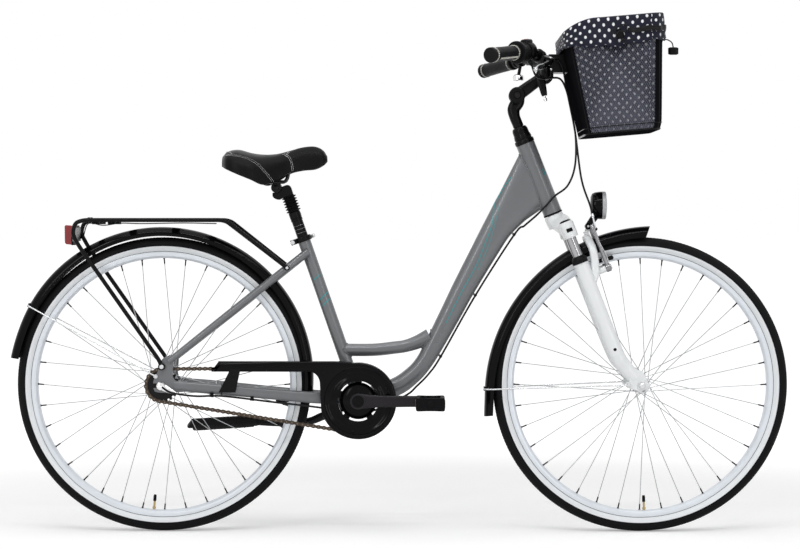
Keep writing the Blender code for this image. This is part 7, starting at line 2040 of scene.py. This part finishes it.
def build_bell():
    spot = on_grip(0.0180, 1)
    dome = spot + Vector((-0.004, 0, -0.0370))
    way = flip([GRIP_WAY])[0]
    ring = turned(collar(BAR_RADIUS + GAP, 0.0150, -0.0070, 0.0070), spot, way, 40)
    post = rod(spot - UP * 0.0130, dome + UP * 0.0020, 0.0040, 20)
    outer = [(0, 0.0045), (0.0030, 0.0044), (0.0065, 0.0038), (0.0100, 0.0026), (0.0124, 0.0002),
             (0.0136, -0.0030), (0.0140, -0.0070), (0.0140, -0.0108), (0.0128, -0.0110),
             (0.0126, -0.0060), (0.0112, -0.0010), (0.0080, 0.0014), (0, 0.0018)]
    cup = turned(outer, dome, UP, 56, FORE)
    seat = block(spot + Vector((0.0165, 0, -0.0050)), (0.0055, 0.0042, 0.0030))
    piece("bell_dome", "handlebar", [("chrome", cup), ("satin black", ring, post, seat)], "bell")
    pivot = spot + Vector((0.0185, 0, -0.0083))
    middle = pivot - UP * 0.0016
    arm = [middle, middle + Vector((0.010, 0.016, 0)), middle + Vector((0.010, 0.026, 0))]
    parts = [pin(pivot, UP, 0.0042, -0.0030, 0.0), sweep(arm, (0.0035, 0.0013), 20, steps=5),
             ball(arm[-1], 0.0034, (1, 1, 0.6))]
    piece("bell_striker", "bell_lever", [("satin black", *parts)], "bell_lever")


# Basket, liner and cord

BASKET_FLOOR = BAR_CENTRE.z - 0.1455
DRAWCORD_START = Vector((0.61573, -0.0817, 1.16138))


def basket_levels():
    """Rear, front and half width at the floor, at the knee and at the rim."""
    x = BAR_CENTRE.x
    return (x + 0.0890, x + 0.2640, 0.150), (x + 0.0855, x + 0.2680, 0.1525), (x + 0.0355, x + 0.2665, 0.180)


def rim_height(share):
    steep = 1 - (1 - min(share / 0.36, 1.0)) ** 2
    return 0.2340 + 0.0330 * steep + 0.0125 * max(share - 0.36, 0) / 0.64


def hem_height(share):
    return 0.2005 + 0.0180 * max(share - 0.5, 0) / 0.5


def loop_points(front, rear, half, corner):
    """A rounded rectangle, from the front right corner round by the rear."""
    found = []
    corners = ((front - corner, -half + corner, -90), (front - corner, half - corner, 0),
               (rear + corner, half - corner, 90), (rear + corner, -half + corner, 180))
    for index, (x, y, start) in enumerate(corners):
        found += arc(corner, start, start + 90, BASKET_AROUND - 1, (x, y))
        after = corners[(index + 1) % 4]
        begin, close = found[-1], arc(corner, after[2], after[2], 1, after)[0]
        steps = BASKET_SIDES[index % 2]
        for f in (step / steps for step in range(1, steps)):
            found.append((begin[0] + (close[0] - begin[0]) * f, begin[1] + (close[1] - begin[1]) * f))
    return found


BASKET_SIDES = (30, 18)
BASKET_AROUND = 9
# First and last point of the sheet bands: front right corner, front left corner, rear face with its corners
BASKET_BANDS = ((2, 6), (40, 44), (67, 107))


def basket_loop(share, grow, lift=0.0, hem=0.0):
    """A loop round the basket at a share of its height; grow moves it out, lift moves it up."""
    floor, knee, rim = basket_levels()
    loops = [loop_points(front + grow, rear - grow, half + grow, 0.030 + grow)
             for rear, front, half in (floor, knee, rim)]
    found = []
    for (ax, ay), (bx, by), (cx, cy) in zip(*loops):
        fore = min(max((cx - rim[0]) / (rim[1] - rim[0]), 0), 1)
        tall = rim_height(fore)
        ground = 0.015 * min(max((ax - floor[0]) / (floor[1] - floor[0]), 0), 1)
        up = share + hem * (hem_height(fore) / tall - share)
        if up < KNEE:
            x, y = ax + (bx - ax) * up / KNEE, ay + (by - ay) * up / KNEE
        else:
            f = (up - KNEE) / (1 - KNEE)
            x, y = bx + (cx - bx) * f, by + (cy - by) * f
        found.append(Vector((x, y, BASKET_FLOOR + ground + (tall - ground) * up + lift)))
    return found


def basket_back(high):
    """Place of the rear face, some way up from the floor."""
    _, knee, rim = basket_levels()
    f = max(high / rim_height(0.0) - KNEE, 0) / (1 - KNEE)
    return knee[0] + (rim[0] - knee[0]) * f, BASKET_FLOOR + high


def basket_slope():
    """The way into the basket from its rear face, and the way up that face."""
    x0, z0 = basket_back(0.04)
    x1, z1 = basket_back(0.18)
    return unit((z1 - z0, 0, x0 - x1)), unit((x1 - x0, 0, z1 - z0))


def round_loop(loop):
    """Distance along a closed loop at each of its points, and its whole length."""
    far = [0.0]
    for a, b in zip(loop, loop[1:] + loop[:1]):
        far.append(far[-1] + (b - a).length)
    return far


def wires(rows, radius):
    """Thin three-sided wires, one per row of points."""
    return [sweep(row, radius, 3, UP) for row in rows]


def build_basket():
    levels = 44
    loops = [basket_loop(level / levels, -WALL / 2) for level in range(levels + 1)]
    far = round_loop(loops[levels // 2])
    total = far[-1]
    count = len(loops[0])
    number = round(total / 0.0052)

    def on_wall(share, distance):
        """The wall's middle at a share of its height, some way round it."""
        place = distance % total
        index = min(int(np.searchsorted(far, place, "right")) - 1, count - 1)
        f = (place - far[index]) / max(far[index + 1] - far[index], 1e-9)
        level = min(int(share * levels), levels - 1)
        g = share * levels - level
        a, b = (loop[index].lerp(loop[(index + 1) % count], f) for loop in loops[level:level + 2])
        return a.lerp(b, g)

    threads = [[on_wall(step / 22, k * total / number + lean * step / 22 * 0.262 * 0.62)
                for step in range(23)]
               for lean in (1, -1) for k in range(number)]
    mesh = wires(threads, 0.00072)
    # Floor: crossed wires cut to the floor's outline.
    xs, ys = ([p[k] for p in loops[0]] for k in (0, 1))
    (rear, front), (right, left) = (min(xs), max(xs)), (min(ys), max(ys))
    flat = []

    def height_at(x):
        return BASKET_FLOOR + 0.015 * (x - rear) / (front - rear) + 0.0008

    for lean in (1, -1):
        for k in range(-60, 100):
            row = []
            for step in range(61):
                y = right + (left - right) * step / 60
                x = rear + k * 0.0070 + lean * (y - right) * 0.55
                corner = 0.028
                dx = max(rear + corner - x, x - front + corner, 0)
                dy = max(right + corner - y, y - left + corner, 0)
                if hypot(dx, dy) < corner and rear < x < front:
                    row.append(Vector((x, y, height_at(x))))
            if len(row) > 1:
                flat.append([row[0], row[-1]])
    mesh += wires(flat, 0.00080)
    piece("basket_mesh", "basket", [("basket wire", *mesh)], "basket", sharp=80)

    def ring(share, grow, radius, lift=0.0, sides=12):
        loop = basket_loop(share, grow, lift)
        middle = sum(loop, Vector()) / len(loop)
        return hoop(loop, [p - middle for p in loop], [radius], sides)

    frame_rods = [ring(1.0, -0.0024, 0.0024, -0.0010, 16), ring(0.0, -0.0012, 0.0024, 0.0014),
                  ring(KNEE, -0.0012, 0.0013), ring(0.0, -0.030, 0.0016, 0.0020)]
    k = BASKET_AROUND // 2
    for side in BASKET_SIDES * 2:
        frame_rods.append(sweep([loop[k] for loop in loops], 0.0015, 10, UP))
        k += BASKET_AROUND + side - 1
    for share in (0.25, 0.50, 0.75):
        x = rear + (front - rear) * share
        frame_rods.append(rod((x, right + 0.004, height_at(x)), (x, left - 0.004, height_at(x)), 0.0017, 10))
    piece("basket_rods", "basket", [("satin black", *frame_rods)], "basket")
    # Sheet bands up the corners and the plate behind, with the hooks for the carrier.
    bands = []
    outer, inner = ([basket_loop(level / levels, grow) for level in range(levels + 1)]
                    for grow in (-0.0001, -0.0016))
    for first, last in BASKET_BANDS:
        bands.append(stacked([out[first:last + 1] + back[first:last + 1][::-1]
                              for out, back in zip(outer, inner)]))
    tray = stacked([basket_loop(0.0, -0.0006, -0.0014), basket_loop(0.0, -0.0006, -0.0004)])
    piece("basket_bands", "basket", [("sheet black", *bands, tray)], "basket")
    plates = []
    slope, rise = basket_slope()
    x, z = basket_back(0.166)
    plates.append(block(Vector((x, 0, z)) + slope * 0.0016, (0.0010, 0.0400, 0.030), slope, LEFT, rise))
    for y in (-0.026, 0.026):
        x, z = basket_back(HOOK_HEIGHT)
        centre = Vector((x, y, z)) - slope * 0.0030
        plates.append(block(centre, (0.0040, 0.0060, HOOK_HALF), slope, LEFT, rise))
    piece("basket_plate", "basket", [("satin black", *plates)], "basket", 0.0006)


def folded(down, out, wave):
    """A loop of the band outside the rim, from the rim (0) to the hem (1), in gathers."""
    loop = basket_loop(1.0, 0.0, 0.0, down)
    rear, front, half = basket_levels()[2]
    found = []
    for point, s in zip(loop, round_loop(loop)):
        push = unit((((point.x - (rear + front) / 2) / (front - rear) * 2) ** 3, (point.y / half) ** 3, 0))
        fold = (0.50 * sin(2 * pi * s / 0.041 + 0.7 * sin(s * 31))
                + 0.34 * sin(2 * pi * s / 0.0173 + 1.3) + 0.16 * sin(2 * pi * s / 0.0091))
        ripple = 0.0024 * wave * (1 + fold)
        drop = 0.0052 * wave * (0.5 + 0.5 * sin(2 * pi * s / 0.058 + 1.9)) * (down ** 4)
        found.append(point + push * (out + ripple) + UP * (drop - 0.0013 * down ** 4))
    return found


def resampled(loop, count):
    """The same closed loop as so many points, evenly apart."""
    far = np.array(round_loop(loop))
    rows = np.array([tuple(p) for p in loop + loop[:1]])
    want = np.arange(count) * far[-1] / count
    return [Vector(p) for p in np.stack([np.interp(want, far, rows[:, k]) for k in range(3)], 1)]


def build_liner():
    count = 420
    inner = -WALL - 0.0014
    rows = []
    for share in (0.075, 0.16, 0.28, 0.40, 0.52, 0.64, 0.76, 0.88, 0.96, 1.0):
        loop = resampled(basket_loop(share, inner - 0.0006, -0.0005 if share == 1.0 else 0.0), count)
        middle = sum(loop, Vector()) / count
        sag = []
        for index, p in enumerate(loop):
            s = index / count
            push = unit(Vector((middle.x - p.x, middle.y - p.y, 0)))
            folds = sin(2 * pi * 17 * s + 3 * share) * 0.6 + sin(2 * pi * 31 * s - 5 * share) * 0.4
            deep = 0.0020 * sin(pi * share) * (1 + folds)
            sag.append(p + push * max(deep, 0))
        rows.append(sag)
    for grow, lift in ((-0.0030, 0.0022), (-0.0004, 0.0024)):
        rows.append(resampled(basket_loop(1.0, grow, lift), count))
    for f in (k / 14 for k in range(15)):
        rows.append(resampled(folded(f, 0.0012 + 0.0030 * f ** 0.7, 0.15 + 0.85 * f), count))
    # The floor of the bag, as shrinking loops.
    base = resampled(basket_loop(0.0, inner - 0.0075, WALL + 0.0016), count)
    centre = sum(base, Vector()) / count
    rows = [[centre.lerp(p, share) for p in base] for share in (0.02, 0.15, 0.35, 0.60, 0.85)] + [base] + rows
    points, faces = stacked(rows)
    mesh = mesh_of("liner_bag", points, faces[:-1], ["cloth"])
    uv = mesh.uv_layers.new(name="flat")
    rim_row = rows[-16]
    around = round_loop(rim_row)[-1]
    up = [0.0]
    for a, b in zip(rows, rows[1:]):
        up.append(up[-1] + sum((q - p).length for p, q in zip(a[::20], b[::20])) / len(a[::20]))
    for face in mesh.polygons:
        corners = list(face.vertices)
        on_floor = len(corners) > 4 or min(corners) < 5 * count
        steps = [vertex % count for vertex in corners]
        for loop_index, vertex, step in zip(face.loop_indices, corners, steps):
            if on_floor:
                uv.data[loop_index].uv = (points[vertex].x + 2, points[vertex].y + 2)
                continue
            if max(steps) - min(steps) > 2 and step == 0:
                step = count
            uv.data[loop_index].uv = (around * step / count + 1, up[vertex // count] + 1)
    mesh.shade_smooth()
    obj = linked("liner_bag", mesh)
    thick = obj.modifiers.new("Solidify", "SOLIDIFY")
    thick.thickness = 0.0009
    thick.offset = 0
    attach(obj, "basket")
    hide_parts("basket_liner")
    # Hem: a rolled edge with small stitches, in the same cloth and thread.
    hem = rows[-1]
    middle = sum(hem, Vector()) / count
    normals = [p - middle for p in hem]
    roll = hoop([p + UP * 0.0004 for p in hem], normals, [0.0011], 8)
    seam = [p + unit(Vector((n.x, n.y, 0))) * 0.0010 for p, n in zip(rows[-3], normals)]
    thread = [sweep(seam[k:k + 2], 0.00035, 5, UP) for k in range(0, count, 2)]
    binding = piece("liner_hem", "basket", [("navy", roll, *thread)])
    # Seam that joins the band's ends, on the right side near the lock.
    lock = liner_toggle()
    place = min((k for k in range(count) if rim_row[k].y <= 0),
                key=lambda k: (rim_row[k] - Vector((lock.x + 0.010, lock.y, rim_row[k].z))).length)
    line = [row[place] + unit(Vector((normals[place].x, normals[place].y, 0))) * 0.0006 for row in rows[-15:]]
    ridge = sweep(line, (0.0010, 0.0012), 8, UP)
    side_seam = piece("liner_seam", "basket", [("navy", ridge)])
    # Cord lock with a bow of cord, and the cord round the rim under the band's fold.
    fore, rise = unit((0.9, 0, 0.3)), unit((-0.3, 0, 0.9))
    out = LEFT * -1
    body = stacked([oval(lock + out * h, fore * a, rise * b, 28, 0.6) for h, a, b in
                    ((-0.0058, 0.0078, 0.0088), (-0.0040, 0.0090, 0.0100), (0.0040, 0.0090, 0.0100),
                     (0.0058, 0.0078, 0.0088))])
    button = pin(lock + rise * 0.0098, rise, 0.0048, -0.001, 0.0034)
    bow = []
    for way, size in ((1, 1.0), (-1, 0.8)):
        loop = [lock + rise * 0.010 + out * 0.004,
                lock + rise * (0.020 * size) + fore * way * 0.010 * size + out * 0.008,
                lock + rise * (0.014 * size) + fore * way * 0.020 * size + out * 0.007,
                lock + rise * 0.004 + fore * way * 0.013 * size + out * 0.006,
                lock + rise * 0.008 + out * 0.0055]
        bow.append(sweep(loop, CORD_RADIUS, 10, out, steps=8))
    tails = []
    for dx, dz in ((0.030, -0.010), (0.018, -0.020)):
        tail = [lock - rise * 0.008 + out * 0.003, lock + Vector((dx * 0.4, -0.0065, dz * 0.5 - 0.008)),
                lock + Vector((dx, -0.0045, dz))]
        tails.append(sweep(tail, CORD_RADIUS, 10, out, steps=8))
    for height, wide, sway in ((0.0, (0.0050, 0.0011), 0.0), (0.0048, (CORD_RADIUS, CORD_RADIUS), 0.9),
                               (-0.0046, (CORD_RADIUS, CORD_RADIUS), 2.2)):
        along = []
        for k in range(2, 46):
            n = unit(Vector((normals[(place + k) % count].x, normals[(place + k) % count].y, 0)))
            reach = 0.0030 + 0.0010 * sin(k * 0.5 + sway)
            climb = height * min(1, k / 8) - 0.0001 * k + 0.0014 * sin(k * 0.35 + sway)
            along.append(rows[-8][(place + k) % count] + n * reach + UP * climb)
        tails.append(sweep(along, wide, 10, UP, upright=True))
    bow_piece = piece("liner_lock", "basket",
                      [("satin black", body, button), ("cable black", *bow, *tails)])
    # Free end of the cord with its toggle.
    route = drawcord_points()
    cord = piece("cord_end", "basket", [("cable black", sweep(route, CORD_RADIUS, 14, LEFT))],
                 "drawcord")
    end = route[-1]
    toggle = stacked([oval(end - UP * (0.0085 + z), FORE * a, LEFT * b, 28, 0.7) for z, a, b in
                      ((0.0088, 0.0080, 0.0044), (0.0070, 0.0120, 0.0058), (-0.0070, 0.0122, 0.0058),
                       (-0.0088, 0.0085, 0.0044))])
    toggle_piece = piece("cord_toggle", "basket", [("satin black", toggle)], "drawcord")


def liner_toggle():
    return Vector((BAR_CENTRE.x + 0.1645, -basket_levels()[2][2] - 0.0080, BASKET_FLOOR + 0.2294))


def drawcord_points():
    """The cord's loose end: part.py's route, on a finer line."""
    route = [(0, 0, 0), (0.010, 0, 0.0015), (0.021, -0.002, -0.0055), (0.0245, -0.003, -0.0170)]
    return curve([DRAWCORD_START + Vector(spot) for spot in route], 8)


def build_adapter():
    base = BAR_CENTRE
    low, high = base.z + 0.0060, base.z + 0.0490
    slope, rise = basket_slope()
    outline = []
    for z in (low, high):
        x, _ = basket_back(z - BASKET_FLOOR)
        outline.append((x - GAP / slope.x, z))
    outline += [(base.x + 0.0090, high), (base.x + 0.0045, high - 0.010), (base.x + 0.0045, low)]
    cutters = [cross_rod(base, 0.0242, 0.0216, 40), cross_rod(base, 0.04, 0.0170, 40)]
    for y in (-0.026, 0.026):
        x, z = basket_back(HOOK_HEIGHT)
        depth = 0.0280
        centre = Vector((x, y, z)) - slope * 0.0023 + rise * (depth - HOOK_HALF - GAP)
        cutters.append(block(centre, (0.0053, 0.0064, depth), slope, LEFT, rise))
    piece("adapter_block", "handlebar", [("satin black", plate(outline, -0.0350, 0.0350))],
          "basket_adapter", 0.0018, cuts=cutters)
    clamps, bolts = [], []
    inner = BAR_CENTRE_RADIUS + GAP
    for y in (-1, 1):
        clamps.append(turned(collar(inner, 0.0172, 0.0262, 0.0350, 0.0006), base, LEFT * y, 48))
        for x, z in ((0.0145, 0.0130), (-0.0120, -0.0120)):
            bolts.append(pin(base + Vector((x, 0, z)), LEFT * y, 0.0030, 0.0345, 0.0368))
        clamps.append(block(base + Vector((0.0105, y * 0.0306, 0.0125)), (0.0075, 0.0043, 0.0085)))
    piece("adapter_clamps", "handlebar", [("satin black", *clamps), ("silver", *bolts)],
          "basket_adapter", 0.0006)


# Cables

def brake_cable_points():
    spot, _, ahead = perch_place()
    start = spot + ahead * 0.0240 - GRIP_WAY * 0.0185
    end = noodle_top() + noodle_way() * GAP * 2
    return [
        start, start - GRIP_WAY * 0.0200, bar_point(0.0300, -0.0690, 0.0330),
        bar_point(0.0410, -0.0610, 0.0110), bar_point(0.0510, -0.0600, -0.0430),
        bar_point(0.0690, -0.0600, -0.1330), bar_point(0.0845, -0.0580, -0.2450),
        end + noodle_way() * 0.0150 + Vector((-0.004, -0.004, 0.010)), end,
    ]


def shift_cable_points():
    stops = [spot + way * (CLIP_HEIGHT + GAP * 2 + CABLE_RADIUS) for spot, way in cable_stops()]
    entry = on_grip(0.0150) + Vector((0.012, 0.004, -0.0320))
    stay = chainstay_points()
    near = LEFT * -0.004
    return [
        entry, entry + Vector((0.010, 0.018, -0.022)), bar_point(-0.0110, -0.1260, -0.0135),
        bar_point(0.0130, -0.1030, -0.0105), bar_point(0.0340, -0.0830, -0.0130),
        bar_point(0.0480, -0.0725, -0.0380), bar_point(0.0580, -0.0700, -0.0800),
        bar_point(0.0700, -0.0680, -0.1450), bar_point(0.0690, -0.0640, -0.2150),
        bar_point(0.0530, -0.0480, -0.2610), on_steer(HEAD_LOW + 0.0390, 0.0190, -0.0270),
        on_steer(HEAD_LOW + 0.0255, -0.0090, -0.0290), frame_line(0.893, 0.0490) + LEFT * -0.0230,
        frame_line(0.840, 0.0430) + LEFT * -0.0120, stops[0], stops[1], stops[2],
        frame_line(0.225, 0.0905) + near, frame_line(0.165, 0.0870) + near, frame_line(0.112, 0.0800) + near,
        BB + Vector((0.026, -0.010, -0.0300)), BB + Vector((-0.010, -0.020, -0.0290)),
        stay[3] + Vector((-0.020, -0.003, -0.0195)),
        stay[2].lerp(stay[1], 0.15) + Vector((0, -0.003, -0.0185)),
        stay[1] + Vector((0.045, -0.006, -0.0185)), stay[1] + Vector((-0.020, -0.013, -0.0180)),
        REAR + Vector((0.025, -0.0860, -0.0150)), REAR + Vector((0.004, -0.0907, -0.0020)),
    ]


def build_cables():
    whole = curve(shift_cable_points(), 12)
    # The gear cable crosses two joints, so it is one cord down to the head tube and another from there.
    low, split = bar_point(0.0700, -0.0680, -0.1450), bar_point(0.0530, -0.0480, -0.2610)
    stop = cable_stops()[0][0]
    cut_at = min(range(len(whole)), key=lambda index: (whole[index] - split).length)
    for name, replaced, bodies, ends, line, digits in (
            ("brake_housing", "brake_cable", ("handlebar", "steering"), brake_cable_points()[5:7],
             curve(brake_cable_points(), 12), 3),
            ("shift_housing_upper", "shift_cable", ("handlebar", "steering"), (low, split),
             whole[:cut_at + 1], 4),
            ("shift_housing", "shift_cable", ("steering", "frame"), (split, stop), whole[cut_at:], 4)):
        cable = piece(name, bodies[0], [("cable black", sweep(line, CABLE_RADIUS, 16, UP))],
                      replaced,
                      blend=(*bodies, tuple(ends[0]), tuple(ends[1])))
    # Clips under the stay that hold the housing.
    stay = chainstay_points()
    clips = []
    for reach in (0.10, 0.62):
        spot = stay[1].lerp(stay[2], reach)
        place = min(whole, key=lambda point: (point - spot).length)
        ring = band(CABLE_RADIUS + 0.0001, CABLE_RADIUS + 0.0010, -0.0045, 0.0045)
        clips.append(turned(ring, place, stay[2] - stay[1], 20, LEFT))
        clips.append(block(place + UP * 0.0048, (0.0040, 0.0016, 0.0024)))
    piece("shift_clips", "frame", [("matt black", *clips)], "shift_cable")


def recolour():
    """Nodes that stay as the CAD has them get a finished material."""
    for name, look in (("bottom_bracket", "black steel"), ("crank_spindle", "silver")):
        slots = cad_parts[name].data.materials
        slots.clear()
        slots.append(LOOKS[look])


def studio():
    """Pale floor, soft lamps and an even world; the camera sees the background as white."""
    floor_mesh = bpy.data.meshes.new("floor")
    floor_mesh.from_pydata([(-90, -90, 0), (90, -90, 0), (90, 90, 0), (-90, 90, 0)], [], [(0, 1, 2, 3)])
    floor = linked("floor", floor_mesh)
    paper = bpy.data.materials.new("paper")
    paper.use_nodes = True
    tree = paper.node_tree
    fibre = added(tree, "TexNoise", {"Scale": 220})
    tint = added(tree, "Mix", {"A": (0.87, 0.87, 0.87, 1), "B": (0.90, 0.90, 0.90, 1),
                               "Factor": fibre.outputs["Fac"]})
    rays = tree.nodes.new("ShaderNodeLightPath").outputs
    seen = calculated(tree, "MAXIMUM", rays["Is Camera Ray"], rays["Is Glossy Ray"])
    spot = tree.nodes.new("ShaderNodeNewGeometry").outputs["Position"]
    away = added(tree, "VectorMath", {0: spot})
    away.operation = "LENGTH"
    lift = added(tree, "MapRange", dict(zip(("From Min", "From Max", "To Min", "To Max"), FLOOR_LIFT)))
    lift.interpolation_type = "SMOOTHSTEP"
    fill(tree, lift, {"Value": away.outputs["Value"]})
    fill(tree, tree.nodes["Principled BSDF"], {
        "Roughness": 0.9, "Specular IOR Level": 0.1, "Emission Color": (1, 1, 1, 1),
        "Base Color": tint.outputs["Result"],
        "Emission Strength": calculated(tree, "MULTIPLY", seen, lift.outputs["Result"]),
    })
    floor_mesh.materials.append(paper)
    world = bpy.data.worlds.new("studio")
    scene.world = world
    world.use_nodes = True
    tree = world.node_tree
    rays = tree.nodes.new("ShaderNodeLightPath").outputs
    seen = calculated(tree, "MAXIMUM", rays["Is Camera Ray"],
                      calculated(tree, "MAXIMUM", rays["Is Glossy Ray"], rays["Is Transmission Ray"]))
    strength = calculated(tree, "ADD", WORLD_LIGHT, calculated(tree, "MULTIPLY", seen, 1.0 - WORLD_LIGHT))
    fill(tree, tree.nodes["Background"], {"Color": (1, 1, 1, 1), "Strength": strength})
    for name, place, aim, size, power in LAMPS:
        data = bpy.data.lights.new(name, "AREA")
        data.shape = "RECTANGLE"
        data.size, data.size_y = size
        data.energy = power
        lamp = linked(name, data)
        lamp.location = place
        lamp.rotation_euler = (Vector(aim) - Vector(place)).to_track_quat("-Z", "Y").to_euler()
    scene.view_settings.view_transform = "Standard"


# Distance from the middle where the floor starts to brighten and where it is white, and both strengths
FLOOR_LIFT = (1.2, 3.0, 0.22, 0.62)
WORLD_LIGHT = 0.50
LAMPS = (
    ("top", (0.0, -0.6, 3.4), (0, 0, 0.4), (3.6, 2.4), 34),
    ("strip", (0.0, -1.9, 2.9), (0, 0, 0.5), (3.2, 0.12), 24),
    ("key", (-2.4, -4.0, 2.3), (0, 0, 0.6), (0.22, 2.2), 26),
    ("side", (2.7, -4.2, 1.1), (0, 0, 0.5), (0.22, 1.8), 14),
)

build_frame()
build_headset()
build_wheel("rear", REAR, HUB_FLANGE_REAR, 0.0210, "rear_wheel", -94.8)
build_wheel("front", FRONT, HUB_FLANGE_FRONT, 0.0150, "front_wheel", -88)
build_rear_axle()
build_chain()
build_drive()
build_guard()
build_mudguards()
build_rack()
build_stand()
build_post()
build_saddle()
build_fork()
build_brakes()
build_stem()
build_bar()
build_shifter()
build_lever()
build_bell()
build_basket()
build_liner()
build_adapter()
build_cables()
recolour()
studio()

bpy.context.view_layer.update()
